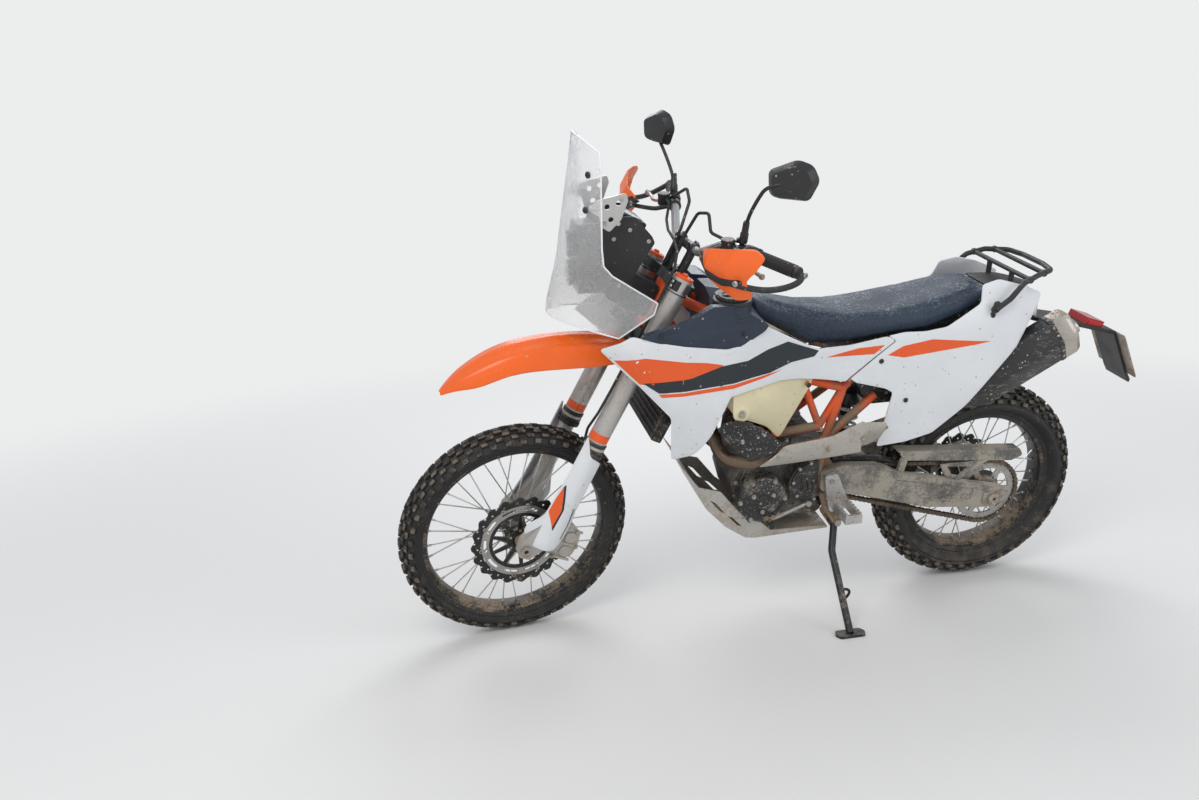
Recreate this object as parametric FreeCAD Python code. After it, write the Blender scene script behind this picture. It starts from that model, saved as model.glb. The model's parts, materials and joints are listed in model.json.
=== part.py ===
import FreeCAD
import Part
import math
import os
from functools import lru_cache

# A dual sport motorcycle, parked leaning on its side stand. Millimetres.
# It is modelled upright, with the front tyre's contact at the origin, x rearwards, y to the
# rider's right and z up. Steered pieces are modelled straight ahead. Everything is then
# steered and leaned as the motorcycle is parked, and moved so that the origin is at the
# bottom centre of its box. The front of the parked motorcycle points to -x.

Vec = FreeCAD.Vector
made_once = lru_cache(maxsize=None)
os.makedirs("parts", exist_ok=True)

# Chassis geometry
WHEELBASE = 1502.0
RAKE = 27.7
TRAIL = 108.0
LEAN = 12.0
STEER_AT_REST = 8.0
STEER_LIMIT = 38.0
PARKING_STEPS = 4

# Wheels: outer radius to the lugs' tips, width, and the radius of the crown across the tread
FRONT_TYRE_R = 350.0
FRONT_TYRE_W = 94.0
FRONT_CROWN_R = 50.0
REAR_TYRE_R = 341.0
REAR_TYRE_W = 138.0
REAR_CROWN_R = 78.0
LUG_HEIGHT = 12.0
LUG_ROOT = 8.0
TYRE_STEPS = 22
FRONT_RIM_R = 284.0
FRONT_RIM_W = 56.0
REAR_RIM_R = 243.0
REAR_RIM_W = 76.0
RIM_DEPTH = 17.0
RIM_WALL = 4.0
SPOKE_COUNT = 36
SPOKE_R = 2.0
FRONT_HUB_R = 26.0
FRONT_HUB_FLANGE_R = 42.0
FRONT_HUB_W = 92.0
REAR_HUB_R = 34.0
REAR_HUB_FLANGE_R = 60.0
REAR_HUB_W = 150.0
RUNNING_FIT = 0.05
SIDE_PLAY = 0.3

# Swingarm pivot
PIVOT_X = 942.0
PIVOT_Z = 469.0
PIVOT_R = 10.0
PIVOT_PLATE = [(884, 560), (925, 570), (966, 500), (966, 440), (930, 400), (884, 400)]
PIVOT_PLATE_Y = (100.5, 105.5)

# Brakes and final drive
FRONT_DISC_R = 150.0
FRONT_DISC_Y = -62.0
REAR_DISC_R = 120.0
REAR_DISC_Y = 90.0
DISC_T = 5.0
SPROCKET_R = 102.0
SPROCKET_Y = -90.0
SPROCKET_T = 6.0
CHAIN_R = 107.0
FRONT_SPROCKET_R = 40.0
FRONT_SPROCKET_AT = (905.0, 458.0)
CHAIN_GAP = 10.0
CHAIN_PLATE_T = 3.0
CHAIN_DEPTH = 14.0
CHAIN_PIN_R = 2.4
CHAIN_LINK = 80.0

# Axles
FRONT_AXLE_R = 12.0
FRONT_AXLE_BORE_R = 7.0
REAR_AXLE_R = 12.5
REAR_AXLE_BORE_R = 6.0

# Fork and steering, placed along the steering axis (t, from the ground) and ahead of it
LEG_OFFSET = 20.0
LEG_Y = 102.0
FORK_TUBE_R = 29.0
FORK_SLIDER_R = 24.0
FORK_TUBE_T = (715.0, 1266.0)
LOWER_LEG_T = (395.0, 640.0)
LOWER_CLAMP_T = (1052.0, 1086.0)
UPPER_CLAMP_T = (1230.0, 1258.0)
HEAD_R = 30.0
STEM_R = 15.0
GUARD_WALL = 4.0

# Body panels
PANEL_WALL = 4.0
# The outer face of the side panels, seen from above
#             x      y
SIDE_FACE = [(190.0, 186.0),
             (300.0, 214.0),
             (450.0, 224.0),
             (700.0, 186.0),
             (880.0, 154.0),
             (1080.0, 154.0),
             (1350.0, 166.0),
             (1480.0, 158.0),
             (1600.0, 116.0)]
PANEL_Z = (500.0, 1150.0)

# Side outlines, as corners (x, z)
SHROUD = [(226, 965), (308, 1007), (380, 986), (522, 957), (576, 946), (627, 953), (695, 993), (767, 955),
          (861, 905), (959, 907), (1074, 924), (1098, 910), (1026, 855), (963, 805), (955, 796), (809, 825),
          (744, 830), (672, 818), (592, 804), (542, 691), (495, 628), (433, 613), (418, 762), (328, 863)]
REAR_PANEL = [(1076, 924), (1127, 932), (1190, 931), (1253, 941), (1359, 1000), (1368, 1048), (1420, 1060),
              (1497, 1039), (1567, 1008), (1494, 862), (1340, 678), (1251, 599), (1170, 576), (1082, 567),
              (1095, 658), (1107, 747), (1083, 762), (966, 796), (970, 803), (1030, 852), (1102, 909)]
LOWER_TANK = [(600, 930), (860, 880), (856, 800), (764, 632), (718, 684), (641, 723), (605, 733)]
LOWER_GUARD = [(571, 714), (605, 730), (641, 720), (714, 680), (760, 628), (735, 601), (675, 582), (613, 637),
               (575, 673)]
CRANKCASE = [(645, 470), (668, 390), (720, 345), (930, 338), (968, 400), (968, 520), (930, 590), (820, 610),
             (690, 590)]
SPROCKET_COVER = [(815, 470), (835, 512), (880, 540), (908, 528), (908, 400), (880, 388), (825, 420)]
SKID_SIDE = [(479, 560), (536, 481), (605, 459), (665, 383), (714, 346), (737, 339), (771, 307), (957, 300),
             (957, 292), (720, 286), (690, 291), (627, 335), (561, 406), (501, 522)]
SKID_SLOTS = [[(572, 434), (590, 424), (622, 384), (606, 392)],
              [(630, 374), (644, 368), (678, 332), (664, 336)]]
HEAT_SHIELD = [(694, 562), (773, 621), (914, 638), (1020, 675), (1084, 668), (1075, 604), (1045, 581), (826, 566)]
# What lies along the swingarm: share of the way from its pivot to the axle, height above that line
SWINGARM_SIDE = [(-0.05, 21), (0.077, 53), (0.282, 67), (0.443, 43), (0.602, 46), (0.791, 39), (1.048, 39),
                 (1.096, 21), (1.086, -12), (0.973, -37), (0.596, -59), (0.314, -47), (0.13, -40), (-0.046, -41)]
SWINGARM_YOKE = [(0.077, 41), (0.282, 61), (0.304, 40), (0.304, -20), (0.246, -39), (0.104, -40)]
SWINGARM_RECESS = [(0.364, 25), (0.884, 24), (0.864, -19), (0.582, -33), (0.42, -16)]
CHAIN_GUARD_STAY = [(0.964, 120), (0.791, 38), (0.72, 34), (0.668, 84)]
CHAIN_GUARD_HOLE = [(0.716, 81), (0.843, 89), (0.788, 54), (0.746, 55)]
CHAIN_GUARD = [(0.407, 113), (1.154, 170), (1.175, 151), (1.104, 128), (0.443, 84)]
CHAIN_GUARD_LIP = [(0.407, 113), (1.154, 170), (1.154, 166), (0.407, 109)]
CHAIN_GUARD_FOOT = [(0.425, 90), (0.461, 90), (0.443, 40), (0.407, 45)]
REAR_TANK = [(985, 820), (998, 908), (1100, 924), (1230, 934), (1330, 970), (1400, 1004), (1470, 1008),
             (1530, 960), (1460, 850), (1330, 735), (1180, 690), (1060, 690)]
PLATE_W = 180.0
PLATE_T = 3.0
TAIL_STRIP = [(1440, 960), (1530, 935), (1610, 905), (1770, 872), (1900, 836), (1972, 690), (1988, 664)]

# Seat sections: place, underside, top, half width
#       x     z_low  z_top  half
SEAT = [(705, 985, 1040, 62),
        (770, 950, 1012, 88),
        (860, 897, 990, 104),
        (975, 897, 974, 122),
        (1090, 916, 978, 134),
        (1210, 924, 994, 136),
        (1330, 962, 1016, 124),
        (1415, 1003, 1030, 92)]

# Tank top sections: place, underside, top, half width
#           x    z_low  z_top  half
TANK_TOP = [(560, 940, 1078, 96),
            (610, 930, 1072, 128),
            (660, 935, 1050, 140),
            (700, 940, 1010, 120)]

# Front fender sections, straight ahead: place, crown, half width, edge
#         x     z_top  half  z_edge
FENDER = [(-204, 842, 12, 834),
          (-160, 885, 40, 858),
          (-103, 922, 62, 862),
          (-62, 942, 68, 870),
          (-38, 950, 70, 894),
          (-20, 957, 72, 900),
          (100, 969, 76, 897),
          (235, 962, 76, 884),
          (330, 938, 66, 884),
          (402, 906, 50, 880)]
FENDER_WALL = 4.0

# Windshield sections, from the top down: height, centre line, side edge, half width
#             z     x_mid  x_edge  half
WINDSHIELD = [(1508, 196, 212, 66),
              (1470, 190, 228, 128),
              (1384, 179, 234, 150),
              (1235, 158, 232, 160),
              (1190, 151, 250, 166),
              (1087, 124, 380, 186),
              (1040, 112, 350, 176),
              (1000, 124, 282, 140)]
SCREEN_WALL = 4.0


def unit(vector):
    """The same direction, one long."""
    return Vec(vector) * (1.0 / vector.Length)


def fuse(shapes):
    """One solid from shapes that meet or overlap."""
    first = shapes[0]
    if len(shapes) == 1:
        return first
    return first.fuse(shapes[1:]).removeSplitter()


def main_solid(shape):
    """The shape without the slivers that a cut leaves beside it."""
    return max(shape.Solids, key=lambda solid: solid.Volume)


def rod(start, end, radius):
    """A round bar from one point to another."""
    start, end = Vec(*start), Vec(*end)
    run = end - start
    return Part.makeCylinder(radius, run.Length, start, run)


def across(x, z, y0, y1, radius):
    """A round bar along y."""
    return rod((x, y0, z), (x, y1, z), radius)


def ring(x, z, y0, y1, outer, inner):
    """A round collar along y."""
    return across(x, z, y0, y1, outer).cut(across(x, z, y0 - 1, y1 + 1, inner))


def mirror(shape):
    """The same piece on the other side."""
    return shape.mirror(Vec(0, 0, 0), Vec(0, 1, 0))


def both(shape):
    """A piece and its mirror image, as one compound."""
    return Part.makeCompound([shape, mirror(shape)])


def rounded_edges(corners, radius, closed):
    """Straight edges through the corners, each turn rounded by a tangent arc."""
    count = len(corners)
    turns = range(count) if closed else range(1, count - 1)
    stops = {}
    for i in turns:
        here = corners[i]
        back, ahead = corners[i - 1] - here, corners[(i + 1) % count] - here
        to_back, to_ahead = unit(back), unit(ahead)
        half = to_back.getAngle(to_ahead) / 2
        if half > math.radians(88) or radius == 0:
            stops[i] = (here, None, here)
            continue
        reach = min(radius / math.tan(half), 0.45 * back.Length, 0.45 * ahead.Length)
        arc_r = reach * math.tan(half)
        inward = unit(to_back + to_ahead)
        middle = here + inward * (arc_r / math.sin(half) - arc_r)
        stops[i] = (here + to_back * reach, middle, here + to_ahead * reach)
    edges = []
    last = count if closed else count - 1
    for i in range(last):
        j = (i + 1) % count
        start = stops[i][2] if i in stops else corners[i]
        end = stops[j][0] if j in stops else corners[j]
        edges.append(Part.makeLine(start, end))
        if j in stops and stops[j][1] is not None:
            edges.append(Part.Arc(*stops[j]).toShape())
    return edges


def prism(corners, run, radius=0.0):
    """A flat outline with rounded corners, extruded along run."""
    wire = Part.Wire(rounded_edges(corners, radius, True))
    return Part.Face(wire).extrude(run)


def side_prism(outline, y0, y1, radius=0.0):
    """An outline in x and z, extruded along y."""
    return prism([Vec(x, y0, z) for x, z in outline], Vec(0, y1 - y0, 0), radius)


def top_prism(outline, z0, z1, radius=0.0):
    """An outline in x and y, extruded along z."""
    return prism([Vec(x, y, z0) for x, y in outline], Vec(0, 0, z1 - z0), radius)


def front_prism(outline, x0, x1, radius=0.0):
    """An outline in y and z, extruded along x."""
    return prism([Vec(x0, y, z) for y, z in outline], Vec(x1 - x0, 0, 0), radius)


def block(x0, x1, y0, y1, z0, z1):
    """A plain box between two corners."""
    return Part.makeBox(x1 - x0, y1 - y0, z1 - z0, Vec(x0, y0, z0))


def pipe(points, radius, bend):
    """A round bar along straight runs joined by tangent arcs."""
    corners = [Vec(*p) for p in points]
    path = Part.Wire(rounded_edges(corners, bend, False))
    profile = Part.Wire(Part.makeCircle(radius, corners[0], corners[1] - corners[0]))
    return path.makePipeShell([profile], True, False)


def loft(sections):
    """A solid through closed sections, each a list of corners."""
    wires = [Part.makePolygon([Vec(*p) for p in s] + [Vec(*s[0])]) for s in sections]
    return Part.makeLoft(wires, True, True)


# Steering axis: t runs up the axis from the ground, n points square off it, rearwards
AXIS_FOOT = Vec(-TRAIL, 0, 0)
AXIS_DIR = Vec(math.sin(math.radians(RAKE)), 0, math.cos(math.radians(RAKE)))
AXIS_BACK = Vec(math.cos(math.radians(RAKE)), 0, -math.sin(math.radians(RAKE)))
FRONT_CENTRE = Vec(0, 0, FRONT_TYRE_R)
REAR_CENTRE = Vec(WHEELBASE, 0, REAR_TYRE_R)
AXLE_T = (FRONT_CENTRE - AXIS_FOOT).dot(AXIS_DIR)
AXLE_N = (FRONT_CENTRE - AXIS_FOOT).dot(AXIS_BACK)


def along_arm(corners):
    """Corners (x, z) of what lies along the swingarm."""
    drop = REAR_TYRE_R - PIVOT_Z
    return [(PIVOT_X + (WHEELBASE - PIVOT_X) * share, PIVOT_Z + drop * share + rise) for share, rise in corners]


def at_fork(t, n, y):
    """A point by its place along and off the steering axis."""
    return AXIS_FOOT + AXIS_DIR * t + AXIS_BACK * n + Vec(0, y, 0)


def fork_rod(t0, t1, n, y, radius):
    """A round bar parallel to the steering axis."""
    return rod(at_fork(t0, n, y), at_fork(t1, n, y), radius)


def fork_prism(outline, y0, y1, radius=0.0):
    """An outline in t and n, extruded along y."""
    return prism([at_fork(t, n, y0) for t, n in outline], Vec(0, y1 - y0, 0), radius)


def clamp_prism(outline, t0, t1, radius=0.0):
    """An outline in n and y, extruded along the steering axis."""
    return prism([at_fork(t0, n, y) for n, y in outline], AXIS_DIR * (t1 - t0), radius)


def side_y(x):
    """The side panels' outer face at a place along the motorcycle."""
    for (x0, y0), (x1, y1) in zip(SIDE_FACE, SIDE_FACE[1:]):
        if x <= x1:
            return y0 + (y1 - y0) * (x - x0) / (x1 - x0)
    return SIDE_FACE[-1][1]


def side_strip(inset, depth):
    """What lies between two faces that follow the left panels' outer face."""
    outer = [(x, -(y - inset)) for x, y in SIDE_FACE]
    inner = [(x, -(y - inset - depth)) for x, y in reversed(SIDE_FACE)]
    return top_prism(outer + inner, PANEL_Z[0], PANEL_Z[1])


def panel(outline, radius):
    """A curved left panel of even thickness with the given side outline."""
    return side_prism(outline, -260, -60, radius).common(side_strip(0.0, PANEL_WALL))


# Wheels

def faceted_ring(profile, steps):
    """A ring about the y axis with flat faces, from corners (radius, y)."""
    rings = []
    for i in range(steps):
        turn = 2 * math.pi * i / steps
        rings.append([Vec(r * math.sin(turn), y, r * math.cos(turn)) for r, y in profile])
    faces = []
    for here, ahead in zip(rings, rings[1:] + rings[:1]):
        for k in range(len(profile)):
            corners = [here[k - 1], here[k], ahead[k], ahead[k - 1]]
            faces.append(Part.Face(Part.makePolygon(corners + corners[:1])))
    return Part.makeSolid(Part.makeShell(faces))


# Tread blocks: place across the crown in degrees, place along in steps, length and width
#             across  along  length  width
FRONT_LUGS = [(0.0, 0.0, 34.0, 34.0),
              (42.0, 0.5, 34.0, 24.0),
              (-42.0, 0.5, 34.0, 24.0)]
REAR_LUGS = [(0.0, 0.0, 38.0, 44.0),
             (40.0, 0.5, 38.0, 32.0),
             (-40.0, 0.5, 38.0, 32.0)]


def lug(lean, turn, length, width, outer_r, crown_r):
    """A tread block with its top on the crown, at a place across it and a turn about the axle."""
    top = crown_r - length ** 2 / (8 * outer_r)
    shape = block(-length / 2, length / 2, -width / 2, width / 2, top - LUG_HEIGHT - LUG_ROOT, top)
    shape.rotate(Vec(0, 0, 0), Vec(1, 0, 0), -lean)
    shape.translate(Vec(0, 0, outer_r - crown_r))
    shape.rotate(Vec(0, 0, 0), Vec(0, 1, 0), turn)
    return shape


def tyre(centre, outer_r, width, crown_r, rim_r, rim_w, lugs):
    """A carcass with its tread blocks, out to the lugs' tips."""
    half = width / 2
    reach = crown_r - LUG_HEIGHT
    edge = math.asin((half - 4) / crown_r)
    crown = [(outer_r - crown_r + reach * math.cos(edge * k), reach * math.sin(edge * k))
             for k in (-1, -0.4, 0.4, 1)]
    wall = [(crown[-1][0] - 16, half - 2), (rim_r + 14, half - 4), (rim_r - 6, rim_w / 2)]
    profile = crown + wall + [(r, -y) for r, y in reversed(wall)]
    step = 360.0 / TYRE_STEPS
    blocks = []
    for i in range(TYRE_STEPS):
        for lean, along, length, wide in lugs:
            blocks.append(lug(lean, (i + 0.5 + along) * step, length, wide, outer_r, crown_r))
    made = fuse([faceted_ring(profile, TYRE_STEPS)] + blocks).cut(across(0, 0, -half, half, rim_r))
    made.translate(centre)
    return made


def rim(centre, rim_r, rim_w, hub_r, flange_r, hub_w, axle_r):
    """A rim, its hub and laced spokes, as one solid."""
    half = rim_w / 2
    well = half - 9
    profile = [(rim_r, half), (rim_r, half - RIM_WALL), (rim_r - 7, half - RIM_WALL - 3),
               (rim_r - RIM_DEPTH + RIM_WALL, well - 5), (rim_r - RIM_DEPTH + RIM_WALL, -well + 5),
               (rim_r - 7, -half + RIM_WALL + 3), (rim_r, -half + RIM_WALL), (rim_r, -half),
               (rim_r - 11, -half), (rim_r - RIM_DEPTH, -well), (rim_r - RIM_DEPTH, well), (rim_r - 11, half)]
    wire = Part.makePolygon([Vec(r, y, 0) for r, y in profile + profile[:1]])
    hoop = Part.Face(wire).revolve(Vec(0, 0, 0), Vec(0, 1, 0), 360)
    flange_y = hub_w / 2 - 10
    pieces = [hoop, across(0, 0, -hub_w / 2, hub_w / 2, hub_r)]
    for side in (-1, 1):
        pieces.append(across(0, 0, side * flange_y - 3, side * flange_y + 3, flange_r))
    for i in range(SPOKE_COUNT):
        rim_turn = 2 * math.pi * i / SPOKE_COUNT
        lead = math.radians(58) * (1 if i % 4 < 2 else -1)
        side = 1 if i % 2 else -1
        hub_end = Vec((flange_r - 6) * math.cos(rim_turn + lead), side * flange_y,
                      (flange_r - 6) * math.sin(rim_turn + lead))
        rim_end = Vec((rim_r - RIM_DEPTH + 2) * math.cos(rim_turn), side * 4, (rim_r - RIM_DEPTH + 2) * math.sin(rim_turn))
        pieces.append(rod(hub_end, rim_end, SPOKE_R))
    wheel = fuse(pieces).cut(across(0, 0, -hub_w, hub_w, axle_r + RUNNING_FIT))
    wheel.translate(centre)
    return wheel


def wavy_disc(centre, y, outer_r, hub_r, lobes):
    """A brake disc with a wavy rim, open between its arms, that seats on the hub."""
    ring_w = outer_r * 0.24
    body = ring(0, 0, y - DISC_T / 2, y + DISC_T / 2, outer_r, outer_r - ring_w)
    pieces = [body, ring(0, 0, y - DISC_T / 2, y + DISC_T / 2, hub_r + 14, hub_r)]
    cuts = []
    for i in range(lobes):
        turn = 2 * math.pi * i / lobes
        arm = rod((math.cos(turn) * (hub_r + 8), y, math.sin(turn) * (hub_r + 8)),
                  (math.cos(turn + 0.35) * (outer_r - ring_w + 4), y,
                   math.sin(turn + 0.35) * (outer_r - ring_w + 4)), DISC_T / 2)
        pieces.append(arm)
        for half in (0.0, math.pi / lobes):
            cuts.append(across(math.cos(turn + half) * (outer_r + 9), math.sin(turn + half) * (outer_r + 9),
                               y - 9, y + 9, 13))
    disc = fuse(pieces).cut(cuts)
    disc.translate(Vec(centre.x, 0, centre.z))
    return disc


@made_once
def front_tyre():
    return tyre(FRONT_CENTRE, FRONT_TYRE_R, FRONT_TYRE_W, FRONT_CROWN_R, FRONT_RIM_R, FRONT_RIM_W, FRONT_LUGS)


@made_once
def rear_tyre():
    return tyre(REAR_CENTRE, REAR_TYRE_R, REAR_TYRE_W, REAR_CROWN_R, REAR_RIM_R, REAR_RIM_W, REAR_LUGS)


@made_once
def front_rim():
    return rim(FRONT_CENTRE, FRONT_RIM_R, FRONT_RIM_W, FRONT_HUB_R, FRONT_HUB_FLANGE_R, FRONT_HUB_W,
               FRONT_AXLE_R)


@made_once
def rear_rim():
    return rim(REAR_CENTRE, REAR_RIM_R, REAR_RIM_W, REAR_HUB_R, REAR_HUB_FLANGE_R, REAR_HUB_W, REAR_AXLE_R)


@made_once
def front_disc():
    return fuse([wavy_disc(FRONT_CENTRE, FRONT_DISC_Y, FRONT_DISC_R, FRONT_HUB_R, 10),
                 ring(0, FRONT_TYRE_R, FRONT_DISC_Y, -FRONT_HUB_W / 2, FRONT_HUB_R + 12, FRONT_HUB_R)])


@made_once
def rear_disc():
    return fuse([wavy_disc(REAR_CENTRE, REAR_DISC_Y, REAR_DISC_R, REAR_HUB_R, 8),
                 ring(WHEELBASE, REAR_TYRE_R, REAR_HUB_W / 2 - 7, REAR_DISC_Y, REAR_HUB_R + 12, REAR_HUB_R)])


@made_once
def sprocket():
    """The rear sprocket: a toothed ring on arms, bolted to the hub."""
    teeth = 42
    low, high = SPROCKET_Y - SPROCKET_T / 2, SPROCKET_Y + SPROCKET_T / 2
    body = ring(0, 0, low, high, SPROCKET_R, SPROCKET_R - 22)
    pieces = [body, ring(0, 0, low, -REAR_HUB_W / 2 + 7, REAR_HUB_R + 14, REAR_HUB_R)]
    for i in range(6):
        turn = 2 * math.pi * i / 6
        c, s = math.cos(turn), math.sin(turn)
        inner, outer = REAR_HUB_R + 8, SPROCKET_R - 18
        corners = [Vec(c * inner + s * 11, low, s * inner - c * 11), Vec(c * outer + s * 8, low, s * outer - c * 8),
                   Vec(c * outer - s * 8, low, s * outer + c * 8), Vec(c * inner - s * 11, low, s * inner + c * 11)]
        pieces.append(prism(corners, Vec(0, SPROCKET_T, 0)))
    cuts = []
    for i in range(teeth):
        turn = 2 * math.pi * (i + 0.5) / teeth
        cuts.append(across(math.cos(turn) * SPROCKET_R, math.sin(turn) * SPROCKET_R, low - 1, high + 1, 4.6))
    wheel = fuse(pieces).cut(cuts)
    wheel.translate(Vec(WHEELBASE, 0, REAR_TYRE_R))
    return wheel


# Fork, steering and what turns with it

@made_once
def front_axle():
    """The hollow front axle with its two spacers."""
    x, z = FRONT_CENTRE.x, FRONT_CENTRE.z
    end = LEG_Y + 26
    inner = LEG_Y - 18
    pieces = [across(x, z, -end, end, FRONT_AXLE_R)]
    for side in (-1, 1):
        hub_face = side * (FRONT_HUB_W / 2 + SIDE_PLAY)
        low, high = sorted((hub_face, side * inner))
        pieces.append(across(x, z, low, high, FRONT_AXLE_R + 6))
        low, high = sorted((side * (LEG_Y + 19), side * end))
        pieces.append(across(x, z, low, high, FRONT_AXLE_R + 5))
    return fuse(pieces).cut(across(x, z, -end - 1, end + 1, FRONT_AXLE_BORE_R))


@made_once
def fork_lowers():
    """The two lower legs: slider tubes and the castings that hold the axle."""
    legs = []
    n = -LEG_OFFSET
    for side in (-1, 1):
        y = side * LEG_Y
        pieces = [fork_rod(LOWER_LEG_T[1] - 20, FORK_TUBE_T[0] + 40, n, y, FORK_SLIDER_R),
                  fork_rod(LOWER_LEG_T[0], LOWER_LEG_T[1], n, y, FORK_SLIDER_R + 2)]
        foot = [(AXLE_T - 26, AXLE_N - 14), (AXLE_T - 26, AXLE_N + 22), (LOWER_LEG_T[0] + 10, n + 24),
                (LOWER_LEG_T[0] + 110, n + 22), (LOWER_LEG_T[0] + 110, n - 20), (AXLE_T + 24, AXLE_N - 22)]
        pieces.append(fork_prism(foot, y - 18, y + 18, 14))
        leg = fuse(pieces).cut(across(0, FRONT_TYRE_R, y - 60, y + 60, FRONT_AXLE_R))
        legs.append(leg)
    return Part.makeCompound(legs)


@made_once
def fork_tubes():
    """The two outer tubes with their caps."""
    tubes = []
    n = -LEG_OFFSET
    for side in (-1, 1):
        y = side * LEG_Y
        tube = fork_rod(FORK_TUBE_T[0], FORK_TUBE_T[1], n, y, FORK_TUBE_R)
        wiper = fork_rod(FORK_TUBE_T[0], FORK_TUBE_T[0] + 26, n, y, FORK_TUBE_R + 3)
        bore = fork_rod(FORK_TUBE_T[0] - 1, FORK_TUBE_T[0] + 40, n, y, FORK_SLIDER_R)
        tubes.append(fuse([tube, wiper]).cut(bore))
    return Part.makeCompound(tubes)


@made_once
def fork_guards():
    """The two lower fork guards, open to the rear and inside."""
    outline = [(757, -62), (700, -36), (690, 14), (650, 16), (528, 18), (463, 38), (396, 30), (384, -6),
               (382, -60), (404, -88), (430, -88), (486, -66), (608, -62)]
    inner = [(770, -58), (700, -32), (700, 60), (360, 60), (360, -56), (406, -84), (428, -84), (484, -62),
             (608, -58)]
    outer_y = LEG_Y + FORK_TUBE_R + 6
    shell = fork_prism(outline, -outer_y, -(LEG_Y - 16), 8)
    hollow = fork_prism(inner, -(outer_y - GUARD_WALL), -(LEG_Y - 40))
    guard = shell.cut(hollow)
    cut_axle = across(0, FRONT_TYRE_R, -200, 0, FRONT_AXLE_R + 8)
    stay = fork_rod(560, 600, -LEG_OFFSET, -(LEG_Y + FORK_SLIDER_R + 5), 6)
    return both(fuse([guard.cut(cut_axle), stay]).cut(fork_lowers()))


@made_once
def triple_clamps():
    """Both clamps and the stem that joins them."""
    n = -LEG_OFFSET
    out = LEG_Y + FORK_TUBE_R + 5
    plan = [(n - 32, -out + 12), (n + 26, -out), (34, -70), (42, -24), (42, 24), (34, 70), (n + 26, out),
            (n - 32, out - 12), (n - 24, 60), (n - 12, 20), (n - 12, -20), (n - 24, -60)]
    pieces = [clamp_prism(plan, LOWER_CLAMP_T[0], LOWER_CLAMP_T[1], 14),
              clamp_prism(plan, UPPER_CLAMP_T[0], UPPER_CLAMP_T[1], 14),
              fork_rod(LOWER_CLAMP_T[0], UPPER_CLAMP_T[1] + 12, 0, 0, STEM_R)]
    for side in (-1, 1):
        pieces.append(fork_rod(UPPER_CLAMP_T[1] - 2, BAR_T - 2, BAR_N, side * 42, 13))
    cuts = [fork_rod(LOWER_CLAMP_T[0] - 5, FORK_TUBE_T[1] + 5, n, side * LEG_Y, FORK_TUBE_R) for side in (-1, 1)]
    cuts.append(handlebar())
    return fuse(pieces).cut(cuts)


# Handlebar route, straight ahead, right side: x, y, z
BAR_ROUTE = [(515, 0, 1190), (515, 80, 1190), (548, 168, 1243), (634, 405, 1236)]
BAR_R = 12.0
GRIP_R = 17.0
GRIP_END = 0.97
GRIP_START = 0.45
BAR_T = (Vec(*BAR_ROUTE[0]) - AXIS_FOOT).dot(AXIS_DIR)
BAR_N = (Vec(*BAR_ROUTE[0]) - AXIS_FOOT).dot(AXIS_BACK)


def bar_point(share, side):
    """A point on the handlebar's outer straight, by its share of that straight."""
    a, b = Vec(*BAR_ROUTE[2]), Vec(*BAR_ROUTE[3])
    p = a + (b - a) * share
    return Vec(p.x, side * p.y, p.z)


@made_once
def handlebar():
    left = [(x, -y, z) for x, y, z in reversed(BAR_ROUTE)]
    return pipe(left + BAR_ROUTE[1:], BAR_R, 45)


@made_once
def hand_controls():
    """Grips, perches and levers, one solid a side."""
    sides = []
    for side in (-1, 1):
        grip = rod(bar_point(GRIP_START, side), bar_point(GRIP_END, side), GRIP_R)
        perch = rod(bar_point(0.16, side), bar_point(GRIP_START + 0.01, side), BAR_R + 8)
        lever = pipe([bar_point(0.26, side) + Vec(-14, 0, 2), bar_point(0.36, side) + Vec(-52, 0, -6),
                      bar_point(0.9, side) + Vec(-78, 0, -10)], 5.5, 18)
        reservoir = rod(bar_point(0.2, side) + Vec(-34, 0, -4), bar_point(0.2, side) + Vec(-34, 0, 30), 17)
        bridge = rod(bar_point(0.2, side), bar_point(0.2, side) + Vec(-34, 0, 8), 11)
        hand = fuse([grip, perch, lever, reservoir, bridge])
        sides.append(hand.cut(handlebar()))
    return Part.makeCompound(sides)


@made_once
def handguards():
    """The two hand shields, each on a bracket from the bar."""
    guards = []
    plan = [(486, 208), (448, 232), (430, 292), (452, 372), (516, 428)]
    inner = [(x + 5, y - 1) for x, y in reversed(plan)]
    face = [(205, 1228), (240, 1276), (330, 1292), (410, 1258), (430, 1222), (405, 1170), (320, 1140), (232, 1168)]
    shell = top_prism(plan + inner, 1100, 1320, 20).common(front_prism(face, 380, 560, 18))
    arm = pipe([bar_point(0.07, 1) + Vec(-BAR_R, 0, 0), bar_point(0.07, 1) + Vec(-60, 4, -6), (449, 262, 1232)], 6, 14)
    collar = rod(bar_point(0.03, 1), bar_point(0.11, 1), BAR_R + 6)
    guard = fuse([shell, arm, collar]).cut(handlebar())
    return Part.makeCompound([guard, mirror(guard)])


# Mirrors: stem route and head, straight ahead, right side; the left one is turned further out
#         side  stem route                                                        head centre      turn
MIRRORS = [(-1, [(566, 215, 1262), (548, 262, 1300), (520, 322, 1345), (545, 330, 1400)], (612, 330, 1432), 48),
           (1, [(566, 215, 1262), (572, 262, 1310), (566, 318, 1370), (556, 328, 1400)], (552, 330, 1432), 18)]


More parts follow.
